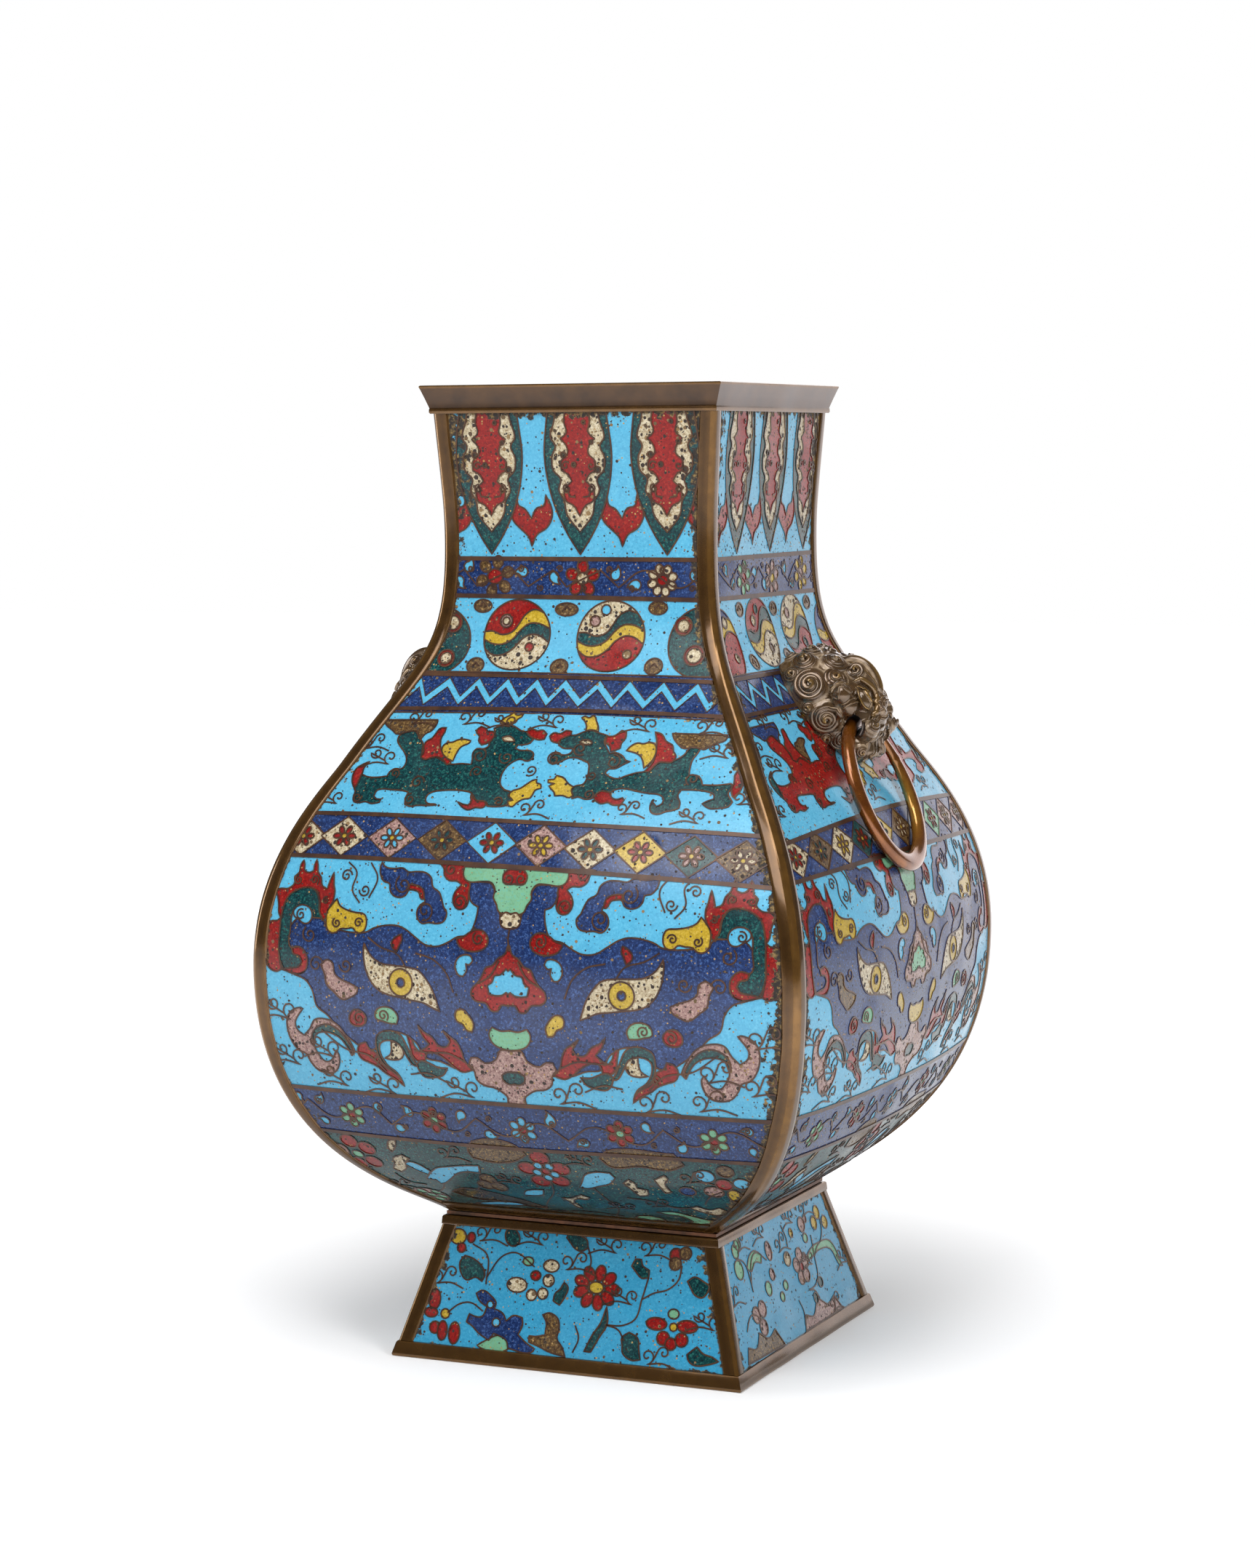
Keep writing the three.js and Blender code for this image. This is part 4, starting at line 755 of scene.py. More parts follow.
def roundel(sheet, u, s, colours, dots, size=14.7):
    cell(sheet, colours[0], disc(u, s, size))
    for colour, line in zip(colours[1:], splitLines):
        inner = insideDisc(smoothed(line, False), size)
        start, end = (math.atan2(p[1], p[0]) for p in (inner[0], inner[-1]))
        if start < 0:
            start += 2 * math.pi
        angles = np.linspace(end + 2 * math.pi, start, 30)
        rim = np.stack([np.cos(angles), np.sin(angles)], axis=1) * size
        cell(sheet, colour, np.concatenate([inner, rim[1:-1]]) + (u, s))
    for colour, ring, x, y, wide in dots:
        if ring:
            cell(sheet, ring, disc(u + x, s + y, wide + 1.1))
        cell(sheet, colour, disc(u + x, s + y, wide))


def drawCollar(sheet, look):
    for u, s, colours, dots in look["roundels"]:
        roundel(sheet, u, s, colours, dots)
    for u, s, wide, tall in look["studs"]:
        cell(sheet, "brown", disc(u, s, wide, tall))
        wire(sheet, [(u - 1.6, s - 0.4), (u, s + 1.4), (u + 1.4, s - 0.2)])


# Heights of the zigzag's points, how far below them its lower edge lies, and the top and foot of its band
zigzagForm = {"peak": 255.4, "valley": 246.6, "peakDrop": 4.6, "valleyDrop": 4.2, "top": 258, "foot": 239}


def drawZigzag(sheet, peaks, valleys):
    form = zigzagForm
    points = sorted([(u, form["peak"]) for u in peaks] + [(u, form["valley"]) for u in valleys])
    lower = [(u, s - form["peakDrop" if s == form["peak"] else "valleyDrop"]) for u, s in points]
    ends = (points[0][0], points[-1][0])
    cell(sheet, "cobalt", points + [(ends[1], form["top"]), (ends[0], form["top"])])
    cell(sheet, "cobalt", lower + [(ends[1], form["foot"]), (ends[0], form["foot"])])


def drawPieces(sheet, pieces, swaps, over=False):  # over draws each piece again on the other side
    for name, (colour, points) in pieces.items():
        colour = swaps.get(name, colour)
        cell(sheet, colour, smoothed(points))
        if over:
            cell(sheet, colour, smoothed(mirrored(points)))


# The beast's eyes, and how much larger than measured the loose curls are drawn, so that their wires part
beastEye = {"place": (47.7, 126.4), "iris": 5.3, "pupil": 1.8}
curlScale = {"beast": 1.4, "dragon": 1.45, "mist": 1.5, "beastMist": 2.6, "gardenMist": 2.1, "footMist": 2.2}


def drawBeast(sheet, swaps):
    middle = {name: (colour, bothHalves(points)) for name, (colour, points) in beastMiddle.items()}
    drawPieces(sheet, {"face": middle.pop("face")}, swaps)
    drawPieces(sheet, beastSide, swaps, over=True)
    drawPieces(sheet, middle, swaps)
    across, up = beastEye["place"]
    for side in (-1, 1):
        cell(sheet, "yellow", disc(side * across, up, beastEye["iris"]))
        cell(sheet, "cobalt", disc(side * across, up, beastEye["pupil"]))
        for u, s, size, start in beastCurls:
            curl(sheet, side * u, s, size * curlScale["beast"], start if side > 0 else math.pi - start, -side)
        for u, s in beastMist:
            mistCurl(sheet, side * u, s, curlScale["beastMist"], side)
        for line in beastLines:
            wire(sheet, [(side * u, s) for u, s in line])
    wire(sheet, [(0, 149), (-0.4, 145), (0.4, 141)])


# Loose curls of the beast: place, size and the angle at which each begins; then its loose wires and mist
beastCurls = [
    (2.7, 167.7, 1.8, 0), (28.3, 170.4, 2, 2), (22.8, 158.2, 2.2, 4), (48.8, 163.8, 2.8, 1),
    (37.8, 154.2, 2.8, 5), (78, 147.9, 1.5, 1), (67.8, 148.3, 1.5, 3), (95.3, 150.4, 1.7, 2),
    (98.1, 164.2, 1.4, 1), (90.4, 164.4, 1.5, 4), (83.9, 156.4, 1.1, 2), (13.4, 144.8, 1.9, 1),
    (56.3, 112.9, 1.8, 4), (67.6, 111, 1.9, 2), (73.2, 131.6, 2.2, 0), (87.2, 131.2, 2.5, 3),
    (90.6, 142.7, 2.5, 1), (75.5, 166.5, 1.9, 3), (66.2, 161.1, 1.9, 0), (60.6, 94.6, 1.5, 5),
]
beastLines = [
    [(75.5, 172), (71, 168), (72, 161), (68, 156)], [(65, 172), (61, 166), (64, 158)],
    [(45, 132), (49, 137), (57, 139.5), (63, 143)], [(20.6, 97), (28, 100), (36, 99.6), (43, 100)],
    [(57, 90), (64, 96), (75, 98), (86, 105)], [(30, 88), (38, 91), (46, 90)],
    [(13, 128), (8, 131), (4, 137)], [(24, 124), (27, 131), (33, 136), (41, 138)],
]
beastMist = [
    (79.8, 85), (57.9, 84), (101.5, 92), (22.1, 85.5), (104, 111), (84, 97),
]


def mistCurl(sheet, u, s, size, side):  # two curls turned against each other over a long tail
    size *= curlScale["mist"]
    curl(sheet, u - side * size * 0.9, s + 0.8, size, -math.pi / 2, side,
         [(u + side * size * 3.0, s - size * 1.1), (u + side * size * 1.2, s - size * 0.5)], turns=1.2)
    curl(sheet, u + side * size * 1.2, s + size * 0.8, size * 0.85, math.pi, -side,
         [(u - side * size * 0.1, s - size * 0.2)], turns=1.2)


# Loose curls and mist round the dragons: place and size
dragonCurls = [
    (-52.6, 206.6, 2.2), (-27.7, 219.2, 2.2), (-15.7, 218.6, 2.2), (-27.1, 211.8, 2), (-64, 210.6, 1.5),
    (-78.5, 199.8, 1.5), (-53.8, 198.9, 1.8), (-13.8, 198.6, 1.5), (-3.4, 213.1, 1.9), (15.4, 223.5, 2.2),
    (5.2, 218.6, 2.4), (30.8, 218.3, 2.3), (23.1, 211.8, 1.6), (65.2, 212.5, 2), (24, 203.2, 1.5),
]
dragonMist = [
    (-36.3, 235.8, 2.2), (-71.1, 217.4, 2.2), (-78.8, 224.3, 2), (0.3, 235.2, 2.2), (0.9, 195.4, 2),
    (40, 234.9, 2.2), (66.5, 235.2, 2.1), (75.1, 224.8, 2), (41.5, 197.3, 1.8), (69.1, 195.8, 2),
    (-60, 235.6, 2), (-90, 199, 2), (88, 205, 2), (-20, 234.5, 1.8),
]


def drawDragons(sheet, swaps):
    for pieces in (dragonLeft, dragonRight):
        drawPieces(sheet, pieces, swaps)
    for k, (u, s, size) in enumerate(dragonMist):
        mistCurl(sheet, u, s, size, 1 - 2 * (k % 2))
    for k, (u, s, size) in enumerate(dragonCurls):
        curl(sheet, u, s, size * curlScale["dragon"], 1.3 * k, 1 - 2 * (k % 2))


lozengeForm = {
    "wide": 11, "tall": 8.3, "starWide": 3.4, "starTall": 2.8, "ray": (1.8, 1.1), "heart": (1.3, 1.2),
}


def drawLozenges(sheet, lozenges):
    wide, tall = lozengeForm["wide"], lozengeForm["tall"]
    for u, s, field, star in lozenges:
        cell(sheet, field, [(u - wide, s), (u, s + tall), (u + wide, s), (u, s - tall)])
        for k in range(6):
            angle = math.pi * k / 3
            x, y = lozengeForm["starWide"] * math.cos(angle), lozengeForm["starTall"] * math.sin(angle)
            cell(sheet, star, disc(u + x, s + y, *lozengeForm["ray"], angle))
        cell(sheet, "yellow", disc(u, s, *lozengeForm["heart"]))


def drawFlorets(sheet, look):
    for u, s, petal, core in look["florets"]:
        blossom(sheet, u, s, core, 1.9, petal, 2.1, 3.9, 6, 0.5)
    for k, (u, s, size) in enumerate(look["leaves"]):
        commaLeaf(sheet, "turquoise", u, s, size, 1.9 * k)
    drawVine(sheet, look["vine"], 3.6, 69.5)


def drawPatches(sheet, patches):
    for colour, points in patches:
        cell(sheet, colour, smoothed(points))


def drawDiscs(sheet, discs):
    for colour, u, s, wide, tall in discs:
        cell(sheet, colour, disc(u, s, wide, tall))


# Rocks, leaves and sprays of the lowest register
gardenPatches = [
    ("brown", [(-28, 57), (-27, 52.5), (-18, 51), (-8, 53), (-2, 57), (-6, 62), (-24, 62)]),
    ("brown", [(30, 58), (34, 53.5), (46, 54.5), (58, 53), (65, 56), (62, 62), (34, 62)]),
    ("soil", [(-48, 23), (-42, 28), (-33, 29), (-24, 26), (-15, 22), (-8, 15), (-14, 13), (-30, 18),
        (-38, 17)]),
    ("turquoise", [(-62, 43), (-59, 45), (-55, 44), (-51, 40), (-53, 37), (-57, 39)]),
    ("turquoise", [(-55.5, 33), (-52, 38), (-47, 43), (-41, 45), (-33, 47), (-26, 48), (-27, 43), (-33, 43),
        (-38, 41), (-43, 36), (-48, 31), (-50, 30), (-51, 33)]),
    ("turquoise", [(-13, 28), (-11, 32), (-7, 34), (-2, 34.5), (-4, 30), (-8, 28.5)]),
    ("turquoise", [(15.5, 39), (18, 43), (21, 48), (26, 50), (32, 50), (33.5, 47), (30, 43), (24, 40.5),
        (19, 38.5)]),
    ("turquoise", [(-43, 9.5), (-37, 13), (-28, 17), (-20, 17.5), (-17, 16), (-22, 13), (-30, 11), (-38, 9)]),
    ("mint", [(28.5, 9), (32, 13), (37, 13.5), (41, 10), (41, 7), (34, 7.5)]),
    ("mint", [(42, 20), (50, 21), (56, 17), (62, 13), (68, 15), (64, 8), (60, 3.5), (54, 4), (48, 6),
        (54, 10), (51, 16), (45, 18)]),
    ("white", [(-64, 57), (-61, 57.5), (-62, 54), (-65, 50), (-66, 52)]),
    ("white", [(-66, 46), (-61, 49), (-58, 47), (-61, 44), (-62, 40), (-66, 36), (-69, 38), (-67, 42)]),
    ("white", [(36, 44), (39, 46.5), (41, 44), (41, 41), (45, 40), (44, 36), (40, 35), (38, 40)]),
    ("white", [(50, 47), (55, 50), (56, 48), (54, 45), (54, 42), (55, 39), (52, 38), (51, 43)]),
    ("white", [(4, 29), (8, 29), (11, 31), (14, 33), (17, 31), (15, 29), (11, 29), (8, 25), (9, 21), (9, 18),
        (7, 20), (6, 25)]),
    ("white", [(58, 26), (62, 28), (66, 25), (71, 27), (75, 22), (70, 19), (64, 21)]),
]
gardenDiscs = [
    ("pink", -61, 15.5, 8, 7),
    *[("mint", u, s, 2.5, 2.3) for u, s in ((-64, 18.5), (-61, 15), (-57, 19.5), (-56, 14.5), (-65, 12),
        (-59, 10.5))],
    *[("brown", u, s, 3.6, 3.4) for u, s in ((-25, 39), (-28, 34), (-22, 33.5))],
    ("cobalt", 62, 40, 3.4, 3),
    *[("red", u, s, 4.2, 3.6) for u, s in ((3.4, 56), (10.9, 50.4), (8.4, 42.6), (-0.4, 41.5), (-3.6, 49.3))],
    *[("turquoise", 3.8 + 4 * math.cos(a), 48.2 + 4 * math.sin(a), 2, 2) for a in (0.9, 2.2, 3.4, 4.7, 5.9)],
    ("red", 3.8, 48.2, 2, 2),
    *[("red", u, s, 4, 3.8) for u, s in ((-84.5, 53), (-77, 50), (-77, 41), (-85, 38.5))],
    ("pink", -90, 46, 3, 4), ("mint", -83, 45, 2.6, 2.4), ("turquoise", 72, 50, 4, 3.6),
    ("brown", 81, 53, 3.5, 3.2), ("red", 78.5, 45, 3.5, 3.5), ("turquoise", 86, 45.5, 3.6, 3.4),
    ("pink", 73, 40, 4, 3.6), ("yellow", 81, 37, 3, 4.6),
]
gardenStems = [
    [(-10, 12), (-4, 24), (2, 33), (4, 41)], [(-48, 31), (-52, 24), (-56, 20)],
    [(66, 30), (70, 36), (76, 40)], [(20, 9), (26, 22), (24, 32), (22, 39)],
    [(-70, 34), (-66, 28), (-58, 27)], [(-34, 29), (-30, 33)], [(-20, 9), (-4, 10), (10, 14), (24, 10)],
    [(34, 33), (44, 31), (52, 26), (58, 26)], [(-95, 30), (-86, 33), (-80, 36)],
    [(88, 33), (84, 26), (76, 22)],
]
gardenMist = [(-38, 53), (22, 56), (45, 28), (-14, 40), (-72, 24), (30, 24), (66, 48), (-98, 53)]


def drawStems(sheet, stems, mist, size):
    for line in stems:
        wire(sheet, line)
    for k, (u, s) in enumerate(mist):
        mistCurl(sheet, u, s, size, 1 - 2 * (k % 2))


def drawGarden(sheet):
    drawPatches(sheet, gardenPatches)
    drawDiscs(sheet, gardenDiscs)
    drawStems(sheet, gardenStems, gardenMist, curlScale["gardenMist"])


# Foot: leaves, blossoms and clouds on turquoise, and the large flower of its front and back
footFlower = {"place": (10.5, 36), "petals": 9, "reach": (7, 6), "petal": (3.3, 2.3), "heart": (3.2, 2.4)}
footPatches = [
    ("green", [(-52, 41), (-50, 44), (-46, 43), (-42, 40.5), (-40, 37), (-41, 34), (-44, 35.5), (-48, 34),
        (-50.5, 36)]),
    ("green", [(-32.5, 55.5), (-31, 57), (-28, 56), (-26, 53), (-26.5, 50.5), (-29, 49.5), (-32, 51.5)]),
    ("green", [(-5, 55), (-4, 58), (0, 56.5), (4, 55), (5, 51.5), (2, 50), (-1, 51), (-3, 53)]),
    ("green", [(25, 46), (26.5, 49), (29, 49), (30, 46.5), (33, 45), (33, 42), (30, 41.5), (27.5, 43.5)]),
    ("green", [(50, 42), (53, 44), (57, 42.5), (60, 41), (59, 38), (57, 36), (53.5, 37), (52, 39)]),
    ("green", [(-4, 37), (-2, 35), (-3, 31), (-5, 27.5), (-8, 29), (-7.5, 32), (-5.5, 34)]),
    ("green", [(24, 17), (27, 19.5), (31, 17.5), (32, 13), (33, 9), (29, 8.5), (25, 11), (24.5, 14)]),
    ("green", [(53, 13), (57, 16.5), (60, 14), (64, 13), (67, 11.5), (63, 10), (57, 9), (54, 10.5)]),
    ("green", [(16, 29), (14, 22), (11, 17), (8, 10), (11, 10), (14, 16), (17, 22)]),
    ("mint", [(-40, 8), (-36, 10.5), (-31, 13), (-27, 13.5), (-24, 10), (-27, 7), (-38, 7)]),
    ("cobalt", [(-43, 29), (-40, 30.5), (-36, 28.5), (-33.5, 26), (-34, 23.5), (-30, 22), (-28, 19),
        (-25, 21.5), (-21, 21), (-20.5, 18), (-22, 14), (-18, 11), (-14, 9), (-15, 7.5), (-26, 8), (-27, 11),
        (-33, 13.5), (-35, 10.5), (-40, 13), (-43, 15.5), (-46, 17), (-45, 20.5), (-42, 19.5), (-39, 20),
        (-37.5, 24), (-41, 26)]),
    ("brown", [(-12, 23), (-9, 24), (-5, 22), (-4, 18), (-4.5, 14), (-2, 11), (0, 7), (-8, 8.5), (-12, 10),
        (-17, 11.5), (-17, 14), (-14, 14), (-10, 15), (-10, 20)]),
]
footDiscs = [
    ("yellow", -54, 51.5, 3.6, 3.2), ("red", -48, 51.5, 1.8, 2.2), ("red", -52, 47, 2, 2),
    ("red", 44, 52, 2.8, 2.8), ("brown", 48, 53, 2.6, 2.6), ("brown", 44, 48.5, 2.6, 2.6),
    ("red", 38.5, 24, 4.5, 2.5), ("red", 52, 24, 4.5, 2.5), ("red", 42, 18.5, 2.8, 2.8),
    ("red", 45.5, 16.5, 2.5, 2.5), ("red", 50, 18.5, 2.8, 2.8), ("yellow", 46, 23.3, 1.7, 1.7),
    ("mint", 45.5, 28.5, 2.4, 2), ("white", -25, 34, 4.5, 3), ("white", -10.5, 43, 3.5, 2.5),
    ("white", -11, 37, 2.5, 2.5), ("white", -18, 30.5, 2.3, 2.3), ("white", -13, 31.5, 2.3, 2.3),
    ("red", -17, 38.5, 2.3, 2), ("mint", -21, 44, 2.4, 1.8), ("red", -61.5, 25, 2.6, 4.2),
    ("red", -62.5, 19.5, 3, 2), ("red", -60, 13.5, 2.5, 2.5), ("red", -56.5, 12.5, 2.2, 4),
    ("red", -51, 12, 2.5, 4.5), ("yellow", -56, 19.5, 2, 2), ("turquoise", -36, 25, 1.5, 1.5),
    ("turquoise", -32.5, 18, 1.8, 1.8),
]
footStems = [
    [(-47, 49), (-40, 45), (-39, 33)], [(-39, 36), (-33, 45), (-27, 47), (-18, 42)],
    [(5, 52), (7, 46), (6, 42)],
    [(33, 42), (31, 33), (29, 25), (24, 22), (16, 21.5), (22, 20), (25, 16)],
    [(3, 20), (5, 15), (3, 9)], [(47, 48), (46, 42), (42, 38), (36, 36), (31, 33)],
    [(-55, 20), (-50, 24), (-45, 25), (-39, 22)],
]
footMist = [
    (-41, 53), (-18, 53.5), (-1, 44.5), (15, 53), (33, 53), (24, 33), (-59, 34), (61, 26), (39, 10),
]
sideFootPatches = [
    ("mint", [(-39, 43), (-34, 47), (-28, 48), (-22, 45), (-24, 42), (-30, 43.5), (-36, 41)]),
    ("mint", [(18, 32), (26, 36), (38, 37.5), (52, 35), (58, 23), (55, 24), (50, 32), (38, 34.5), (27, 33)]),
    ("brown", [(-62, 8), (-58, 14), (-50, 12), (-44, 17), (-36, 13), (-28, 15), (-22, 7)]),
    ("pink", [(2, 7), (6, 13), (14, 11), (22, 16), (32, 12), (40, 14), (46, 7)]),
]
sideFootDiscs = [
    ("mint", -47, 44, 4, 4), ("mint", -46, 51.5, 3, 3), ("mint", -42, 54, 3, 2.6),
    ("white", 2.5, 38, 3.4, 3),
    *[("pink", 15 + 5 * math.cos(a), 32 + 5 * math.sin(a), 3.4, 3) for a in (0.3, 1.5, 2.8, 4.1, 5.3)],
    ("red", 15, 32, 2, 2),
    *[("pink", u, s, 3.8, 3.4) for u, s in ((-42, 24), (-35, 25), (-38, 18))],
    ("yellow", 39.5, 46, 3, 3), ("yellow", 45, 49.5, 3, 3), ("yellow", 51, 44, 3, 2.8),
    ("pink", 26, 48, 3.5, 3.2), ("pink", 31, 49.5, 1.8, 1.8), ("mint", 26.5, 42, 2.4, 2),
    ("mint", -23.5, 31, 3, 3), ("pink", -16.5, 35.5, 2.5, 2.5), ("pink", -14, 45, 3, 4),
    ("yellow", 13, 47, 2, 2), ("mint", -12, 25, 2.2, 2), ("mint", -6, 28.5, 2.4, 2),
    ("green", 30, 22, 2.6, 2.2), ("green", 21, 17, 2.2, 2.4),
]


def drawFoot(sheet, patches, discs, flower=None):
    # ground of the darker turquoise: painted shade under the belly
    cell(sheet, "footTurquoise", [(-90, -5), (90, -5), (90, 70), (-90, 70)])
    drawPatches(sheet, patches)
    if flower:
        (u, s), (wide, tall) = flower["place"], flower["reach"]
        for k in range(flower["petals"]):
            angle = 2 * math.pi * k / flower["petals"]
            petal = disc(u + wide * math.cos(angle), s + tall * math.sin(angle), *flower["petal"], angle)
            cell(sheet, "red", petal)
        cell(sheet, "yellow", disc(u, s, *flower["heart"]))
    drawDiscs(sheet, discs)
    drawStems(sheet, footStems, footMist, curlScale["footMist"])


# What differs between the front face and the right one
frontLook = {
    "strips": frontStrips, "blades": (-37.5, 2, 40), "tongues": (-19.5, 20.5, 57.5, -55.5), "swaps": {},
    "zigzag": ((-51, -37.5, -24.5, -11.5, 1, 16, 29, 43.5, 58, -64, 71, 84, -77, -90),
               (-60, -44, -30.5, -17.5, -4.5, 9.5, 24, 37.5, 51, 64.5, 78, -71, -84)),
    "band": {
        "flowers": [(-36, 298, "red", 3.4, "brown", 2.6, 6, 6), (3, 297.5, "white", 2.6, "red", 2.8, 4.8, 5),
                    (38, 297, "red", 2.4, "white", 2, 4.6, 8)],
        "leaves": [(-52, 296), (-48, 302), (-23.5, 300), (-9.5, 298), (17.5, 299), (26.5, 295), (52, 299)],
        "vine": (-62, -50, -44, -28, -21, -10, -4, 11, 19, 30, 46, 56, 66)},
    "collar": {
        "roundels": [
            (-24.6, 274, ("red", "yellow", "green", "white"),
             [("white", "pink", -5.4, 6, 1.6), ("red", None, 6.1, -4.6, 1.9)]),
            (16.9, 274, ("white", "green", "yellow", "red"),
             [("pink", None, -7.4, 6.5, 2.2), ("turquoise", None, -2.9, 11, 2.1),
              ("white", None, 8.1, -7, 1.9)]),
            (-60, 271, ("green",), [("white", "red", 6, 8, 2.9), ("white", "red", 5, -7, 2.6)]),
            (57, 272, ("green",), [("white", "red", -9, 7, 2.6), ("white", "red", -3, -5, 3.2)])],
        "studs": [(-41, 286, 4, 2.6), (-41, 261, 3.8, 3.4), (-3.5, 285, 5, 2.6), (-3.5, 261, 3.8, 3.4),
                  (36.5, 286, 4, 2.6), (37.5, 262, 3.8, 3.6)]},
    "lozenges": [
        (-99.6, 182.6, "white", "red"), (-80, 182.8, "white", "red"), (-57.6, 182.3, "pink", "turquoise"),
        (-34.8, 181.9, "brown", "green"), (-12.6, 181.5, "turquoise", "red"), (8.7, 181.2, "pink", "yellow"),
        (29.8, 180.6, "white", "green"), (50.7, 180.6, "yellow", "red"), (71.6, 180.2, "green", "pink"),
        (92.4, 179.8, "brown", "white")],
    "floretBand": {
        "florets": [(-78, 68.1, "mint", "red"), (-39.3, 70.4, "red", "mint"), (0, 69.4, "turquoise", "red"),
                    (41.7, 70.6, "red", "mint"), (80, 68.4, "mint", "red")],
        "leaves": [(-102.3, 74, 1.6), (-92.6, 73.6, 1.8), (-92.2, 63, 1.7), (-64.6, 73.6, 1.8),
                   (-56.5, 64.6, 1.9), (-50.5, 73, 1.8), (-26.3, 74, 1.9), (-15.5, 66, 1.9),
                   (12.8, 74.4, 2.2), (25.5, 65.2, 1.9), (53.1, 74.2, 1.8), (66.2, 64.6, 1.9),
                   (94.6, 73.4, 1.7), (94.9, 64, 1.6)],
        "vine": (-106, -98, -88, -68, -60, -47, -31, -20, -8, 8, 19, 31, 50, 60, 71, 88, 100)},
}
sideLook = {
    **frontLook, "strips": sideStrips, "blades": (-31.5, 5, 43), "tongues": (-14.5, 23, -51, 61),
    "swaps": {"dragon": "red", "tailPlate": "cobalt", "tailTip": "green", "wing": "brown", "horn": "cobalt",
              "cheekDrop": "yellow", "trefoil": "pink", "trefoilHeart": "mint", "lip": "yellow",
              "patch": "brown"},
    "zigzag": ((-51, -37, -24, -10.5, 3, 17, 30.5, 44, 58, -64, 71.5, 85, -77, -90),
               (-58, -44, -30.5, -17, -4, 10, 24, 37, 51, 64.5, 78, -71, -84)),
    "band": {
        "flowers": [(-25, 297, "red", 2.6, "mint", 2.4, 5, 6), (6, 296, "yellow", 2.6, "pink", 2.5, 5, 6),
                    (39, 297, "pink", 2.6, "yellow", 2.4, 5, 6)],
        "leaves": [(-44, 301), (-37, 295), (-13, 299), (-3, 294), (20, 299), (28.5, 293), (54, 299)],
        "vine": (-62, -52, -40, -32, -17, -8, 0, 14, 24, 32, 47, 57, 66)},
    "collar": {
        "roundels": [
            (-15, 274, ("red", "green", "yellow", "white"),
             [("green", None, -1, 10, 2), ("white", None, -5.5, 5.5, 2.2), ("brown", None, 6, -6.5, 2)]),
            (24, 274, ("white", "yellow", "green", "red"),
             [("pink", None, -6, 7, 2.2), ("green", None, 6, -6, 2.2)]),
            (-56, 271, ("cobalt", "yellow", "red"), [("white", None, 5, 9, 2.4), ("white", None, 7, -6, 2)]),
            (62, 271, ("cobalt", "yellow", "red"), [("white", None, -6, 8, 2.2)])],
        "studs": [(-33, 284.5, 3.8, 2.8), (-34, 262.5, 3.8, 3.4), (3.5, 283.5, 3.8, 2.8),
                  (4.5, 263, 3.8, 3.4), (42.5, 284.5, 3.8, 2.8), (43, 263, 3.8, 3.4)]},
    "lozenges": [
        (-96, 180.4, "white", "red"), (-74, 180.2, "brown", "green"), (-53, 180, "white", "yellow"),
        (-33, 180, "green", "red"), (-10, 180, "yellow", "green"), (12, 180, "brown", "white"),
        (33, 180, "turquoise", "red"), (55, 180, "mint", "red"), (76, 180, "pink", "white"),
        (97, 180, "pink", "white")],
}


def drawFace(look):
    sheet = newSheet()
    drawRegisters(sheet, look["strips"], grounds)
    drawLappets(sheet, look["blades"], look["tongues"])
    drawFlowerBand(sheet, look["band"])
    drawCollar(sheet, look["collar"])
    drawZigzag(sheet, *look["zigzag"])
    drawDragons(sheet, look["swaps"])
    drawLozenges(sheet, look["lozenges"])
    drawBeast(sheet, look["swaps"])
    drawFlorets(sheet, look["floretBand"])
    drawGarden(sheet)
    return sheet


# Wires of the drawing, in mm: flat edges become a bar that follows them, then bend onto the wall
wireSize = {"wire": 0.65, "scroll": 0.66, "strip": 1.75, "wireTall": 0.5, "stripTall": 0.7, "topShare": 0.72,
            "stripSunk": 0.02, "edgeGap": 0.1}
# Pitches in mm of the points that let the enamelled sheet bend: along its edges, and inside it
sheetPitch = {"edge": 2.5, "inside": 4.0}


def wireTree():
    tree = bpy.data.node_groups.new("cloisonWire", "GeometryNodeTree")
    tree.interface.new_socket("Geometry", in_out="INPUT", socket_type="NodeSocketGeometry")
    for name in ("Width", "Height"):
        tree.interface.new_socket(name, in_out="INPUT", socket_type="NodeSocketFloat")
    tree.interface.new_socket("Material", in_out="INPUT", socket_type="NodeSocketMaterial")
    tree.interface.new_socket("Geometry", in_out="OUTPUT", socket_type="NodeSocketGeometry")
    source = addNode(tree, "NodeGroupInput")
    top = addNode(tree, "ShaderNodeMath", {"operation": "MULTIPLY"},
                  {0: source.outputs["Width"], 1: wireSize["topShare"]})
    section = addNode(tree, "GeometryNodeCurvePrimitiveQuadrilateral", {"mode": "TRAPEZOID"},
                      {"Height": source.outputs["Height"], "Bottom Width": source.outputs["Width"],
                       "Top Width": top.outputs[0], "Offset": 0.0})
    path = addNode(tree, "GeometryNodeMeshToCurve", None, {0: source.outputs["Geometry"]})
    level = addNode(tree, "GeometryNodeSetCurveNormal", {"mode": "Z_UP"}, {"Curve": path.outputs[0]})
    bar = addNode(tree, "GeometryNodeCurveToMesh", None,
                  {"Curve": level.outputs[0], "Profile Curve": section.outputs[0], "Fill Caps": True})
    real = addNode(tree, "GeometryNodeRealizeInstances", None, {0: bar.outputs[0]})
    finish = addNode(tree, "GeometryNodeSetMaterial", None,
                     {"Geometry": real.outputs[0], "Material": source.outputs["Material"]})
    addNode(tree, "NodeGroupOutput", None, {"Geometry": finish.outputs[0]})
    return tree


cloisonWire = wireTree()


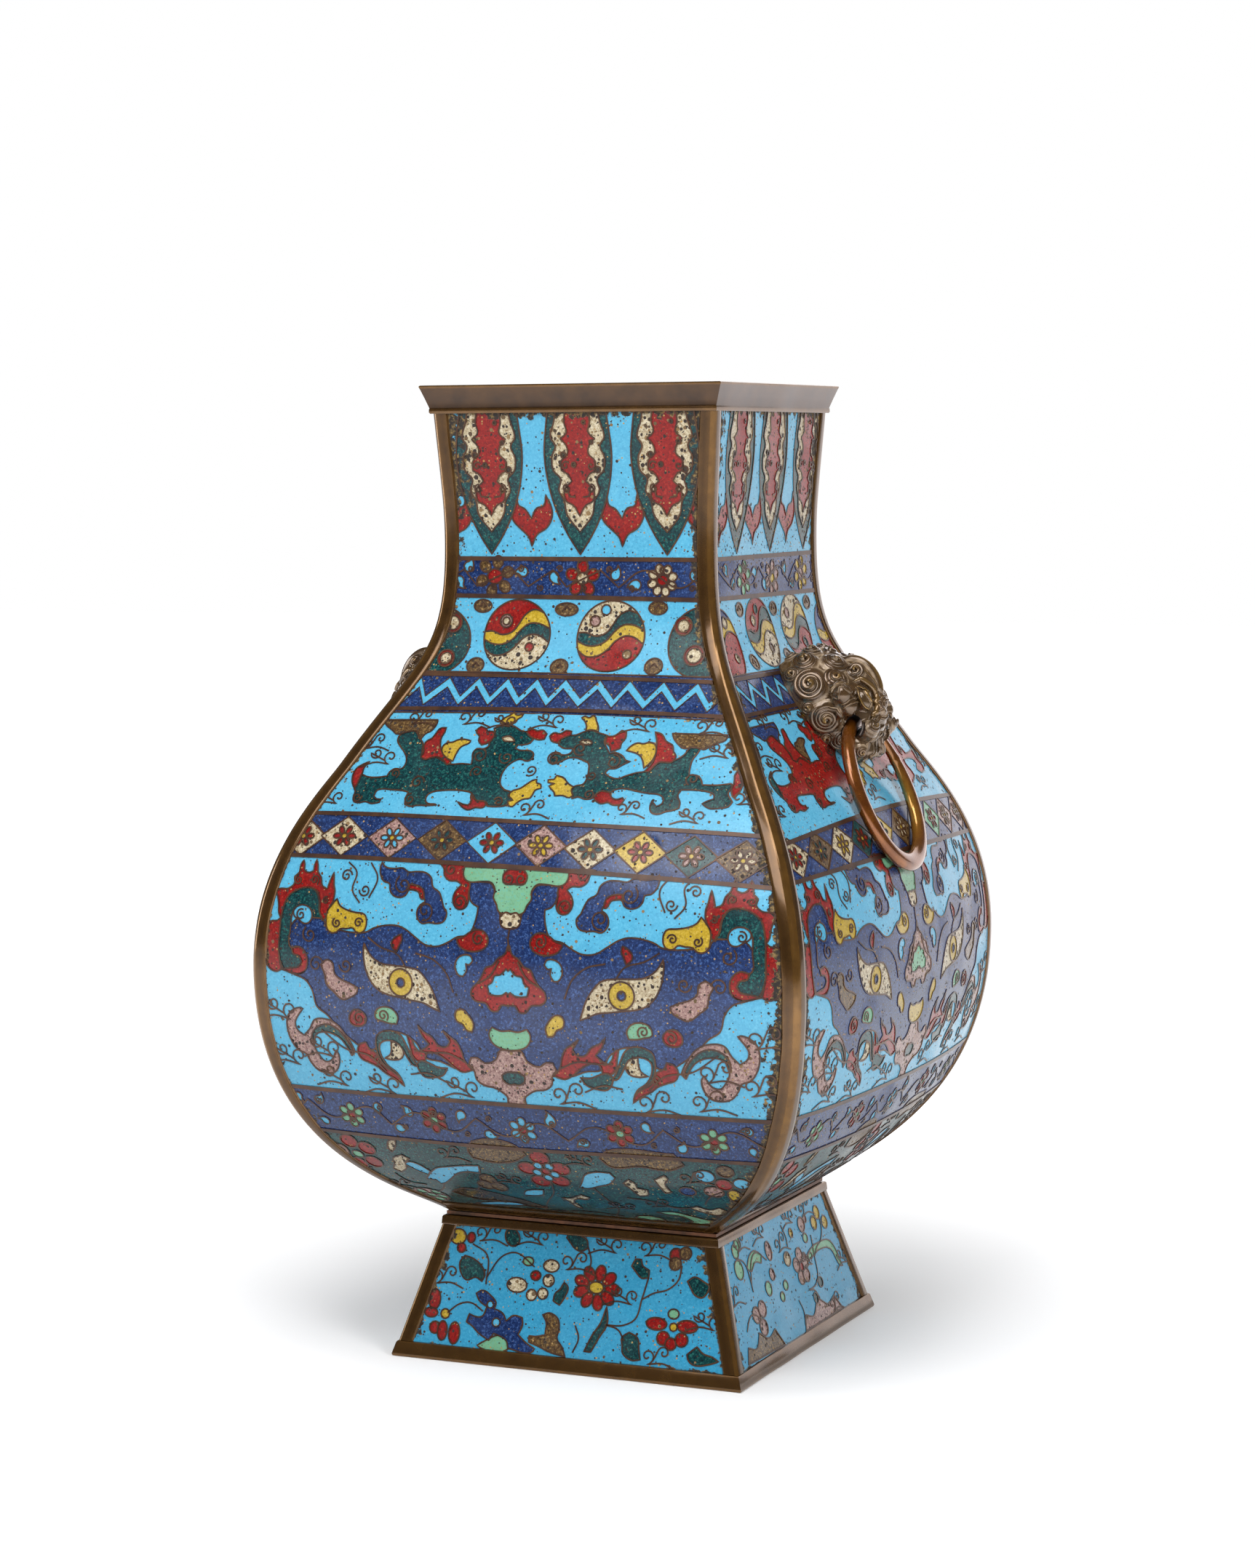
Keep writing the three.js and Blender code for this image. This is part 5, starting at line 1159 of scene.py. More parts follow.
def barMesh(name, points, edges, wide, tall):  # flat mesh of bars, in mm
    flat = bpy.data.meshes.new(name)
    flat.from_pydata([(u, s, 0) for u, s in points], [tuple(edge) for edge in edges], [])
    holder = newObject(name, flat)
    modifier = holder.modifiers.new("wire", "NODES")
    modifier.node_group = cloisonWire
    items = cloisonWire.interface.items_tree
    sockets = {item.name: item.identifier for item in items if item.in_out == "INPUT"}
    for key, value in (("Width", wide), ("Height", tall), ("Material", materials["wireCopper"])):
        modifier[sockets[key]] = value
    made = finishedMesh(holder)
    bpy.data.objects.remove(holder)
    bpy.data.meshes.remove(flat)
    return made


def readPoints(mesh):
    points = np.empty(len(mesh.vertices) * 3)
    mesh.vertices.foreach_get("co", points)
    return points.reshape(-1, 3)


def bendOn(mesh, form, turn, sunk):
    points = readPoints(mesh)
    limit = form["edge"](points[:, 1]) - wireSize["edgeGap"]
    u = np.clip(points[:, 0], -limit, limit)
    s = np.clip(points[:, 1], form["from"], form["to"])
    bent = turned(form["place"](u, s, wallForm["enamelDepth"] + sunk - points[:, 2]), turn)
    mesh.vertices.foreach_set("co", bent.ravel())
    mesh.update()


def counterClockwise(points):
    x, y = points[:, 0], points[:, 1]
    area = (x * np.roll(y, -1) - np.roll(x, -1) * y).sum()
    return points if area > 0 else points[::-1]


def layCells(sheet, form):
    rows = np.linspace(form["from"], form["to"], int((form["to"] - form["from"]) / sheetPitch["edge"]))
    edge = form["edge"](rows)
    outline = np.concatenate([np.stack([edge, rows], 1), np.stack([-edge, rows], 1)[::-1]])
    across = np.arange(-form["reach"], form["reach"] + 1, sheetPitch["inside"])
    up = np.arange(form["from"] + sheetPitch["inside"] / 2, form["to"], sheetPitch["inside"])
    grid = np.stack(np.meshgrid(across, up), axis=2).reshape(-1, 2)
    shapes = [outline] + [counterClockwise(points) for _, points in sheet["cells"]]
    counts = [len(points) for points in shapes]
    starts = np.concatenate([[0], np.cumsum(counts)])
    everything = np.concatenate(shapes + [grid])
    loops = [list(range(a, b)) for a, b in zip(starts, starts[1:])]
    points, _, faces, _, _, owners = delaunay_2d_cdt([Vector(p) for p in everything], [], loops, 0, 1e-4)
    points = np.array([tuple(p) for p in points])
    kept = [(face, max(owner)) for face, owner in zip(faces, owners) if 0 in owner]
    used, triangles = np.unique(np.array([face for face, _ in kept]), return_inverse=True)
    return points[used], triangles.reshape(-1, 3), np.array([top for _, top in kept])


def sideEdges(triangles, tops):  # edges between unlike cells, and edges on the outline
    edges = np.concatenate([triangles[:, [0, 1]], triangles[:, [1, 2]], triangles[:, [2, 0]]])
    owner = np.tile(np.arange(len(triangles)), 3)
    order = np.lexsort((edges.max(axis=1), edges.min(axis=1)))
    low, high, owner, edges = edges.min(axis=1)[order], edges.max(axis=1)[order], owner[order], edges[order]
    same = (low[:-1] == low[1:]) & (high[:-1] == high[1:])
    inner = np.flatnonzero(same)
    unlike = inner[tops[owner[inner]] != tops[owner[inner + 1]]]
    alone = np.ones(len(edges), bool)
    alone[inner] = alone[inner + 1] = False
    return edges[unlike], edges[alone]


def panelPieces(name, node, sheet, form, turn):
    points, triangles, tops = layCells(sheet, form)
    walls, rim = sideEdges(triangles, tops)
    count = len(points)
    outer = form["place"](points[:, 0], points[:, 1], wallForm["enamelDepth"])
    inner = form["place"](points[:, 0], points[:, 1], wallForm["enamelDepth"] + wallForm["wallThick"])
    mesh = bpy.data.meshes.new(name)
    sides = np.stack([rim[:, 1], rim[:, 0], rim[:, 0] + count, rim[:, 1] + count], axis=1)
    faces = [*map(tuple, triangles), *(tuple(face[::-1] + count) for face in triangles), *map(tuple, sides)]
    mesh.from_pydata(turned(np.concatenate([outer, inner]), turn).tolist(), [], faces)
    names = list(enamels)
    for colour in names:
        mesh.materials.append(materials[colour])
    mesh.materials.append(materials["bareCopper"])
    colours = [form["ground"], *(colour for colour, _ in sheet["cells"])]
    cellColour = np.array([names.index(colour) for colour in colours])
    index = np.concatenate([cellColour[tops], np.full(len(triangles) + len(sides), len(names))])
    mesh.polygons.foreach_set("material_index", index.astype(np.int32))
    smoothShade(mesh, 50)
    loss = form["loss"](points[:, 0], points[:, 1])
    setWeights(mesh, "loss", np.concatenate([loss, loss]))
    mesh.update()
    addPiece(name, mesh, replaced=[node])
    used, flat = np.unique(walls, return_inverse=True)
    cellWires = barMesh(name, points[used], flat.reshape(-1, 2), wireSize["wire"], wireSize["wireTall"])
    openWires = polylineBars(name, sheet["wires"], wireSize["scroll"], wireSize["wireTall"])
    strips = polylineBars(name, sheet["bars"], wireSize["strip"], wireSize["stripTall"])
    for label, bars in (("Wires", cellWires), ("Scrolls", openWires), ("Strips", strips)):
        if bars:
            bendOn(bars, form, turn, wireSize["stripSunk"] if label == "Strips" else 0.0)
            smoothShade(bars, 40)
            addPiece(name + label, bars)


def polylineBars(name, lines, wide, tall):
    if not lines:
        return None
    points = np.concatenate(lines)
    edges, start = [], 0
    for line in lines:
        edges += [(start + k, start + k + 1) for k in range(len(line) - 1)]
        start += len(line)
    return barMesh(name, points, edges, wide, tall)


# Where the enamel has crumbled: heights up the wall, how badly at most, and how far from the frame, in mm
lossForm = {
    "worstAt": 105, "worstRun": 45, "neckFrom": 300, "neckRun": 60, "patchFrom": 316, "patchRun": 14,
    "nearMost": 0.95, "farMost": 0.6, "neckMore": 0.3, "worstMore": 0.3, "patchMore": 0.1,
    "reach": 3.2, "worstReach": 1.6, "neckReach": 4, "patchReach": 7,
    "low": (3, 0.75), "top": (4, 0.8), "foot": (3, 0.85), "footFlange": 6.4,
}


def fading(away, reach, most):  # worst at the frame, dying out over its reach
    return np.exp(-np.clip(away, 0, 99) / reach) * most


def bodyLoss(near):  # the enamel has chipped along the ribs, most beside the near one
    def at(u, s):
        form, beside = lossForm, u * near > 0
        worst = np.where(beside, np.exp(-((s - form["worstAt"]) / form["worstRun"]) ** 2), 0)
        neck = np.clip((s - form["neckFrom"]) / form["neckRun"], 0, 1)
        # old filler down the far side of the neck
        patch = np.where(u * near < 0, np.clip((s - form["patchFrom"]) / form["patchRun"], 0, 1), 0)
        most = np.where(beside, form["nearMost"], form["farMost"] + form["neckMore"] * neck)
        most = most + form["worstMore"] * worst + form["patchMore"] * patch
        reach = form["reach"] + form["worstReach"] * worst + form["neckReach"] * neck
        reach = reach + form["patchReach"] * patch
        rib = fading(halfAt(s) - wallForm["ribFlange"] - np.abs(u), reach, most)
        low = fading(s - wallForm["base"], *form["low"])
        top = fading(wallLength - s, *form["top"])
        return np.maximum(rib, np.maximum(low, top))
    return at


def footLoss(u, s):
    return fading(footHalfAt(s) - lossForm["footFlange"] - np.abs(u), *lossForm["foot"])


# Where each kind of panel lies: its run up the wall, half width, widest reach and ground colour
panelGap = 0.1
bodyFaceForm = {
    "place": ontoBody, "from": wallForm["base"] + panelGap, "to": wallLength - panelGap, "reach": 112,
    "edge": lambda s: halfAt(s) - wallForm["ribFlange"] - panelGap, "ground": "turquoise",
}
footFaceForm = {
    "place": ontoFoot, "from": footForm["baseStrip"] + panelGap, "reach": 72, "ground": "footTurquoise",
    "to": footForm["topZ"] * footRise - footForm["topStrip"] - panelGap,
    "edge": lambda s: footHalfAt(s) - footForm["corner"] - panelGap, "loss": footLoss,
}
faceNames = ["front", "right", "back", "left"]
bodySheets = [drawFace(frontLook), drawFace(sideLook)]
footSheets = [newSheet(), newSheet()]
drawFoot(footSheets[0], footPatches, footDiscs, footFlower)
drawFoot(footSheets[1], sideFootPatches, sideFootDiscs)
for turnCount, face in enumerate(faceNames):
    turn, kind = turnCount * quarter, turnCount % 2  # the back is drawn as the front, the left as the right
    form = dict(bodyFaceForm, loss=bodyLoss(1 - 2 * kind))
    panelPieces(face + "Panel", "body_panel_" + face, bodySheets[kind], form, turn)
    panelPieces(face + "Foot", "foot_panel_" + face, footSheets[kind], footFaceForm, turn)
print("enamelled faces done")


# Bronze frame: bars with rounded edges, swept along the corners and edges of the vase
def tubeFaces(start, count, points, closed=False):  # round a row of sections, with its two ends unless closed
    faces, after = [], [*range(1, points), 0]
    for i in range(count if closed else count - 1):
        here, there = start + i * points, start + ((i + 1) % count) * points
        faces += [(here + j, here + k, there + k, there + j) for j, k in enumerate(after)]
    if not closed:
        last = start + (count - 1) * points
        faces += [tuple(range(start, start + points))[::-1], tuple(range(last, last + points))]
    return faces


def solidFrom(name, points, faces, material):
    mesh = bpy.data.meshes.new(name)
    mesh.from_pydata(points.reshape(-1, 3).tolist(), [], faces)
    facesOut(mesh)
    mesh.materials.append(materials[material])
    return mesh


def sweep(name, sections, material, wear, closed=False):
    count, points = sections.shape[:2]
    mesh = solidFrom(name, sections, tubeFaces(0, count, points, closed), material)
    setWeights(mesh, "wear", np.broadcast_to(wear, (count, points)).ravel())
    smoothShade(mesh, 40)
    return mesh


def facesOut(mesh):
    form = bmesh.new()
    form.from_mesh(mesh)
    bmesh.ops.recalc_face_normals(form, faces=form.faces)
    form.to_mesh(mesh)
    form.free()


def uneven(places, size, seed):  # small hand-made unevenness along a bar
    return np.array([noise.noise(Vector((place / size, seed * 7.3, 0.5))) for place in places])


# Rib of the body and of the foot, in mm: width of its flange, roundness of its arris, depth, and unevenness
ribForm = {
    "body": {"flange": 6.5, "arris": 2.4, "depth": 2.8, "uneven": 0.3, "waves": 14},
    "foot": {"flange": 6.3, "arris": 1.5, "depth": 3.1, "uneven": 0.2, "waves": 9},
    "core": 3.0, "lip": 1.2, "unevenFrom": 5.5, "arrisSteps": 8, "arrisWear": 0.85, "innerWear": 0.0,
}


def ribOutline(look):  # across and depth, from the corner: flange, arris, other flange, inside
    flange, arris, depth = look["flange"], look["arris"], look["depth"]
    core, lip = ribForm["core"], ribForm["lip"]
    half = [(flange + lip, lip), (flange, 0.5), (flange - 0.2, 0.14), (flange - 0.6, 0.0),
            ((flange + arris) / 2, -0.04), (arris, 0.0)]
    wear = [0.1, 0.5, 0.6, 0.4, 0.22, 0.45]
    angles = np.linspace(0, math.pi / 2, ribForm["arrisSteps"])[1:-1]
    arc = [(arris * (1 - math.sin(a)), arris * (1 - math.cos(a))) for a in angles]
    inner = [(lip, core + lip), (depth, core + depth), (core + depth, depth), (core + lip, lip)]
    outline = half + arc + [(b, a) for a, b in half[::-1]] + inner
    wear = wear + [ribForm["arrisWear"]] * len(arc) + wear[::-1] + [ribForm["innerWear"]] * len(inner)
    return np.array(outline), np.array(wear)


def cornerSections(form, runs, outline, wobble):
    across, depth = outline.max(axis=1), outline.min(axis=1)
    inset = across - depth
    sections = []
    for s, shift in zip(runs, wobble):
        rows = np.full(len(outline), s)
        u = form["level"](rows, depth) - inset - np.where(across > ribForm["unevenFrom"], shift, 0)
        points = form["place"](u, rows, depth)
        swapped = np.stack([-points[:, 1], -points[:, 0], points[:, 2]], axis=1)
        sections.append(np.where((outline[:, 0] >= outline[:, 1])[:, None], points, swapped))
    return np.array(sections)


def bodyLevel(s, depth):
    return halfAt(s) - depth * np.interp(s, wallRun, wallUp[:, 1])


def footLevel(s, depth):
    return footHalfAt(s) - depth / footRise


def barSections(form, profile, steps, inset):  # a strip across a face: profile of height and depth
    heights, depths = np.array(profile, float).T
    limit = form["level"](heights, depths) - inset
    return np.array([form["place"](share * limit, heights, depths) for share in np.linspace(-1, 1, steps)])


mitreForm = {"length": 130, "waves": 22, "uneven": 0.25, "gap": 0.02}


def mitredSections(profile, steps, seed):  # a square frame's side: profile of half width and height
    halves, heights = np.array(profile, float).T
    places = np.linspace(0, mitreForm["length"], steps)
    shifts = uneven(places, mitreForm["waves"], seed) * mitreForm["uneven"]
    sections = []
    for share, shift in zip(np.linspace(-1, 1, steps), shifts):
        shift = shift * (1 - share ** 8)  # none at the mitres
        sections.append(np.stack([share * (halves - mitreForm["gap"]), -(halves + shift), heights], axis=1))
    return np.array(sections)


cornerNames = ["front_right", "back_right", "back_left", "front_left"]
bodyBar = {"place": ontoBody, "level": bodyLevel}
footBar = {"place": ontoFoot, "level": footLevel}
footTall = footForm["topZ"] * footRise
# Profiles in mm, and how far each point is rubbed. Rim and foot strips: half width and height.
rimProfile = [(61.6, 388.5), (62.9, 388.6), (63.25, 389.2), (63.2, 390.3), (63.05, 390.8), (64.4, 394.6),
              (65.9, 398.6), (66.25, 399.3), (66.2, 399.75), (65.8, 400.0), (64.4, 400.05), (63.3, 399.95),
              (62.8, 399.6), (62.4, 398.6), (59.6, 388.5)]
rimWear = [0.1, 0.4, 0.6, 0.3, 0.0, 0.0, 0.1, 0.7, 0.9, 0.8, 0.5, 0.6, 0.5, 0.2, 0.1]
footTopProfile = [(footHalfAt(footTall - footForm["topStrip"]), footForm["topZ"] - 3.65),
                  (61.9, footForm["topZ"] - 0.7), (61.5, footForm["topZ"] - 0.15), (60.8, footForm["topZ"]),
                  (57.7, footForm["topZ"]), (58.8, footForm["topZ"] - 3.65)]
footTopWear = [0.3, 0.5, 0.7, 0.4, 0, 0]
footBaseProfile = [
    (77.2, 0.0), (77.75, 0.25), (78.0, 0.8), (77.9, 1.5), (76.6, 5.7), (76.25, 6.2), (75.6, 6.35),
    (72.7, 6.35), (73.1, 0.0),
]
footBaseWear = [0.7, 0.8, 0.7, 0.4, 0.4, 0.6, 0.3, 0, 0]
# Strip at the body's foot: height and depth
bodyStrip = [
    (0.1, 2.8), (0.1, 0.3), (0.35, 0.0), (3.5, -0.08), (6.4, 0.0), (6.85, 0.15), (7.0, 0.5), (7.0, 2.8),
]
bodyStripWear = [0, 0.5, 0.6, 0.3, 0.5, 0.6, 0.4, 0]
bodyRuns = np.linspace(0, wallLength, 130)
footRuns = np.linspace(footForm["baseStrip"] + panelGap, footTall - footForm["topStrip"] - panelGap, 16)
for turnCount, (face, corner) in enumerate(zip(faceNames, cornerNames)):
    shapes = []
    for label, node, bar, runs, look, seed in (
            ("Rib", "corner_rib_", bodyBar, bodyRuns, ribForm["body"], 0),
            ("FootRib", "foot_corner_", footBar, footRuns, ribForm["foot"], 5)):
        outline, wear = ribOutline(look)
        wobble = uneven(runs, look["waves"], turnCount + seed) * look["uneven"]
        shapes.append((corner, label, node, cornerSections(bar, runs, outline, wobble), wear))
    strip = barSections(bodyBar, bodyStrip, 25, wallForm["ribFlange"])
    shapes.append((face, "BaseStrip", "body_base_strip_", strip, bodyStripWear))
    for label, node, profile, wear, steps, seed in (
            ("Rim", "rim_", rimProfile, rimWear, 45, 0),
            ("FootTop", "foot_top_strip_", footTopProfile, footTopWear, 30, 9),
            ("FootBase", "foot_base_strip_", footBaseProfile, footBaseWear, 30, 13)):
        shapes.append((face, label, node, mitredSections(profile, steps, turnCount + seed), wear))
    for place, label, node, sections, wear in shapes:
        bent = turned(sections.reshape(-1, 3), turnCount * quarter).reshape(sections.shape)
        name = place.replace("_right", "Right").replace("_left", "Left") + label
        addPiece(name, sweep(name, bent, "agedBronze", wear), replaced=[node + place])
print("bronze frame done")


# Lion mask: a smooth dome of rounded forms, then curls, brows, eyelids and beard laid on it as cords.
# Its frame in mm: across, up the wall, and away from the wall.
maskForm = {
    "seat": (83.0652, 0, 265.8242), "up": (-0.5072, 0, 0.8618), "out": (0.8618, 0, 0.5072),
    "hinge": (98.6416, 0, 262.2274), "lean": math.radians(22.596), "swing": math.radians(75),
    "halfWidth": 20.5, "halfHeight": 26.2, "topHeight": 24.6, "dome": 23.6, "around": 220, "rows": 150,
    "swell": 0.25, "ear": (15.4, -1.8, 17.4), "wear": 0.1, "dust": 0.2, "faceClean": 0.65, "boreHalf": 15.6,
    "wrap": 0.16, "square": 2.2, "blend": 1.2, "swellReach": 1.03, "swellPower": 0.6, "creaseRun": 0.9,
}
# How the dome narrows towards its top and its beard, as shares of its half height
domeForm = {
    "widestAt": 0.1, "widthLoss": 0.8, "widthPower": 3.2, "chinLoss": 0.42, "depthLeast": 0.2,
    "depthPower": 2.4, "browLoss": 0.2, "jawLoss": 0.35, "endFrom": 0.9, "endRun": 0.1, "endLeast": 0.02,
}
# Rounded forms: centre, then half sizes
maskSwells = [
    ((0, -10.6, 12), (12.2, 11, 12.6)),  # muzzle
    ((0, -8, 23.6), (3.4, 5, 3.9)),  # nose
    ((0, 2, 20), (6.2, 11, 8)),  # forehead
    ((0, -25, 8.6), (2.9, 4.2, 4.0)),  # tip of the beard
]
maskPairs = [
    ((15.9, 0.2, 16.9), (4.4, 4.4, 4.4)), ((14.4, -4.4, 16.2), (4.0, 5.2, 4.6)),  # ear and its sleeve
    ((9.2, -5.4, 21.2), (2.5, 4.6, 3.4)),  # eye
    ((3.8, -12.8, 23.8), (2.8, 2.6, 2.8)),  # nostril
    ((9.4, -17, 17.2), (4.2, 4.4, 4.6)),  # cheek
    ((4.6, -23, 10.4), (3.0, 4.6, 4.2)), ((8.8, -20.6, 9.4), (3.6, 4.8, 4.4)),  # beard
]
# Snail curls of the mane: centre, radius, half width of the inner cord, how far the middle rises, first angle
maskCurls = [
    ((20.6, 9.8, 9.0), 8.0, 1.2, 2.7, 60), ((19.2, -5.6, 7.4), 7.4, 1.0, 2.3, 100),
    ((14.6, 7.4, 18.2), 5.6, 0.85, 2.0, 60), ((8.0, 13.8, 18.8), 6.3, 0.85, 2.0, 130),
    ((14.6, 20.2, 10.0), 6.0, 1.05, 2.2, 20), ((4.9, 6.8, 23.6), 4.5, 0.85, 1.8, 80),
    ((19.6, 18.2, 3.6), 4.3, 0.8, 1.0, 100), ((12.8, -16, 6.6), 5.8, 0.8, 1.4, 120),
    ((6.4, 22.6, 11.4), 4.9, 0.85, 1.5, 0), ((21.4, 1.8, 3.6), 3.4, 0.7, 0.9, 90),
    ((18, -13.6, 2.2), 3.9, 0.7, 0.9, 60), ((10.8, -17.2, 20.4), 3.6, 0.75, 1.3, 40),
    ((4.8, -12.2, 24.4), 2.6, 0.6, 0.9, 200), ((10.6, -23.2, 10.8), 3.2, 0.7, 1.0, 60),
    ((9, 25.6, 3.6), 3.6, 0.7, 0.8, 60),
]
# Cords of the face: half width, height, how worn, points
maskCords = [
    (1.45, 1.9, 0.3, [(8.9, 3.4, 22.8), (5.8, 2.4, 24.2), (3.5, -1.4, 25), (3.6, -5.8, 25.6),
                      (6.2, -10.1, 25), (8.6, -12.9, 23), (10, -14, 21)]),  # brow
    (0.45, 0.7, 0.5, [(10.2, 0.6, 22.6), (11.8, -3.8, 22), (11.8, -8.2, 21.8), (9.4, -11.2, 22.8)]),
    (0.45, 0.7, 0.5, [(9.4, 0.8, 23), (6.6, -1.8, 24), (6.4, -6, 24.8), (9.2, -11.0, 23)]),  # eyelids
    (0.55, 0.6, 0.9, [(9.4, -2.4, 23.6), (9.8, -5.2, 24), (9.2, -8, 23.8)]),  # iris
    (0.5, 0.7, 0.3, [(3.0, 11.8, 22), (2.6, 5, 25), (2.0, -1, 26.6), (1.9, -5.4, 27.4)]),
    (0.5, 0.6, 0.2, [(0.3, -7.6, 28.4), (2.6, -7.6, 27.4), (4.4, -9.4, 26)]),  # nose
    (0.45, 0.6, 0.2, [(0.3, -9.4, 28.6), (2.2, -9.8, 27.8), (3.4, -10.8, 26.8)]),
    (0.8, 1.0, 0.2, [(0.4, -14.8, 26), (3.6, -16, 24.4), (7, -15.8, 23.6), (10.0, -15, 22)]),  # lip
    (0.7, 0.9, 0.2, [(1.4, -18, 22.4), (5, -19, 20.8), (8, -21.2, 17.4), (8.2, -24.4, 12.4)]),
    (0.7, 0.9, 0.2, [(0.8, -20.2, 20), (3.4, -22.2, 17.4), (5, -25.2, 12.4), (3.6, -27.2, 8.6)]),
    (0.8, 0.9, 0.2, [(0.7, -22.8, 17), (1.7, -25.8, 12.4), (1.0, -28, 8)]),
    (0.45, 0.45, 0.2, [(19.2, 1.2, 14.6), (18.6, -0.6, 16.6), (17.4, 1.4, 18), (16.4, -0.6, 19.4),
                       (14.6, 1.2, 20.4), (13.4, -0.8, 20.6), (12, 1.6, 20.6)]),
    (0.6, 0.6, 0.5, [(19.4, 2.8, 14.6), (17.8, 3.8, 17), (15.8, 3, 19.2), (13.6, 3.8, 20),
                     (11.8, 2.8, 20.6)]),  # folds of the ear
    (0.35, 0.35, 0.2, [(18.2, -4, 15), (16, -3.6, 18.6), (12.8, -4.2, 20.4)]),  # wrinkles of the sleeve
    (0.35, 0.35, 0.2, [(17.8, -5.4, 15), (15.6, -5, 18.2), (12.4, -5.6, 20)]),
]
crestCord = (2.2, 1.7, 0.4, [(0, 16.6, 18.6), (0, 10.5, 23), (0, 4, 25.8), (0, -2, 27.2), (0, -6, 28)])
crestCurl = ((0, 19.4, 16), 4.2, 0.85, 1.6, 90)


def endRound(rise):  # the dome is rounded off at its top and its beard
    away = np.clip(np.abs(rise) - domeForm["endFrom"], 0, domeForm["endRun"]) / domeForm["endRun"]
    return np.sqrt(np.clip(1 - away ** 2, domeForm["endLeast"], 1))


def maskWidth(rise):
    share = 1 - domeForm["widthLoss"] * np.abs(rise - domeForm["widestAt"]) ** domeForm["widthPower"]
    return share * np.where(rise < 0, 1 + domeForm["chinLoss"] * rise, 1) * endRound(rise)


def maskTall(rise):
    least = domeForm["depthLeast"]
    share = least + (1 - least) * np.sqrt(np.clip(1 - np.abs(rise) ** domeForm["depthPower"], 0, 1))
    lean = np.where(rise > 0, 1 - domeForm["browLoss"] * rise, 1 + domeForm["jawLoss"] * rise)
    return share * lean * endRound(rise)


def rayToSwell(cosine, sine, v, centre, halves):  # far crossing of a ray from the middle line, or nothing
    x, y, z = centre
    slack = 1 - ((v - y) / halves[1]) ** 2
    a, b = halves[0] ** 2, halves[2] ** 2
    p = cosine ** 2 / a + sine ** 2 / b
    q = cosine * x / a + sine * z / b
    r = x * x / a + z * z / b - slack
    inner = q * q - p * r
    return np.where((slack > 0) & (inner > 0), (q + np.sqrt(np.maximum(inner, 0))) / p, 0)


def softMax(first, second, blend):
    high, low = np.maximum(first, second), np.minimum(first, second)
    return high + np.clip(blend - (high - low), 0, blend) ** 2 / (4 * blend)


def maskDome():
    rows = np.sin(np.linspace(-math.pi / 2, math.pi / 2, maskForm["rows"]))
    rows *= np.where(rows > 0, maskForm["topHeight"], maskForm["halfHeight"])
    angles = np.linspace(-maskForm["wrap"], math.pi + maskForm["wrap"], maskForm["around"])
    v, angle = np.meshgrid(rows, angles, indexing="ij")
    cosine, sine = np.cos(angle), np.sin(angle)
    rise = v / maskForm["halfHeight"]
    wide, tall = maskForm["halfWidth"] * maskWidth(rise), maskForm["dome"] * maskTall(rise)
    square = maskForm["square"]
    reach = 1 / (np.abs(cosine / wide) ** square + np.abs(sine / tall) ** square) ** (1 / square)
    swells = list(maskSwells)
    for (x, y, z), halves in maskPairs:
        swells += [((x, y, z), halves), ((-x, y, z), halves)]
    for centre, halves in swells:
        reach = softMax(reach, rayToSwell(cosine, sine, v, centre, halves), maskForm["blend"])
    return np.stack([reach * cosine, v, reach * sine], axis=2)


def domeTree(grid):
    rows, count = grid.shape[:2]
    return BVHTree.FromPolygons(grid.reshape(-1, 3).tolist(), [
        (i * count + j, i * count + j + 1, (i + 1) * count + j + 1, (i + 1) * count + j)
        for i in range(rows - 1) for j in range(count - 1)])


def swellAt(size, away):
    share = np.clip(1 - (away / size / maskForm["swellReach"]) ** 2, 0, 1)
    return maskForm["swell"] * size * share ** maskForm["swellPower"]


def swellUnderCurls(grid, tree):  # one swelling under each curl, with a dusty crease where two meet
    swell, crease = np.zeros(grid.shape[:2]), np.full(grid.shape[:2], maskForm["dust"])
    for centre, size, *_ in maskCurls:
        for side in (1, -1):
            middle = np.array(tree.find_nearest(Vector((side * centre[0], centre[1], centre[2])))[0])
            away = np.linalg.norm(grid - middle, axis=2)
            height = swellAt(size, away)
            edge = np.exp(-(np.clip(size - away, 0, 99) / maskForm["creaseRun"]) ** 2)
            crease = np.where(height > swell, edge, crease)
            swell = np.maximum(swell, height)
    normals = np.cross(np.gradient(grid, axis=1), np.gradient(grid, axis=0))
    normals /= np.linalg.norm(normals, axis=2)[:, :, None] + 1e-9
    normals *= np.sign((normals * grid * (1, 0.3, 1)).sum(axis=2))[:, :, None]
    return grid + normals * swell[:, :, None], crease


def onDome(tree, points):  # nearest places on the dome, with the way out of it
    hits = [tree.find_nearest(Vector(point)) for point in points]
    places = np.array([hit[0] for hit in hits])
    normals = np.array([hit[1] for hit in hits])
    normals *= np.sign((normals * places * (1, 0.4, 1)).sum(axis=1))[:, None]
    for _ in range(3):
        normals[1:-1] = normals[:-2] + normals[1:-1] + normals[2:]
        normals /= np.linalg.norm(normals, axis=1)[:, None]
    return places, normals


def softPath(points, count):  # a smooth line through points in space
    path = np.array(points, float)
    share = np.linspace(0, len(path) - 1, count)
    whole = np.minimum(share.astype(int), len(path) - 2)
    t = (share - whole)[:, None]
    ends = np.concatenate([[2 * path[0] - path[1]], path, [2 * path[-1] - path[-2]]])
    a, b, c, d = (ends[whole + k] for k in range(4))
    bend, twist = 2 * a - 5 * b + 4 * c - d, 3 * b - a - 3 * c + d
    return 0.5 * (2 * b + (c - a) * t + bend * t ** 2 + twist * t ** 3)


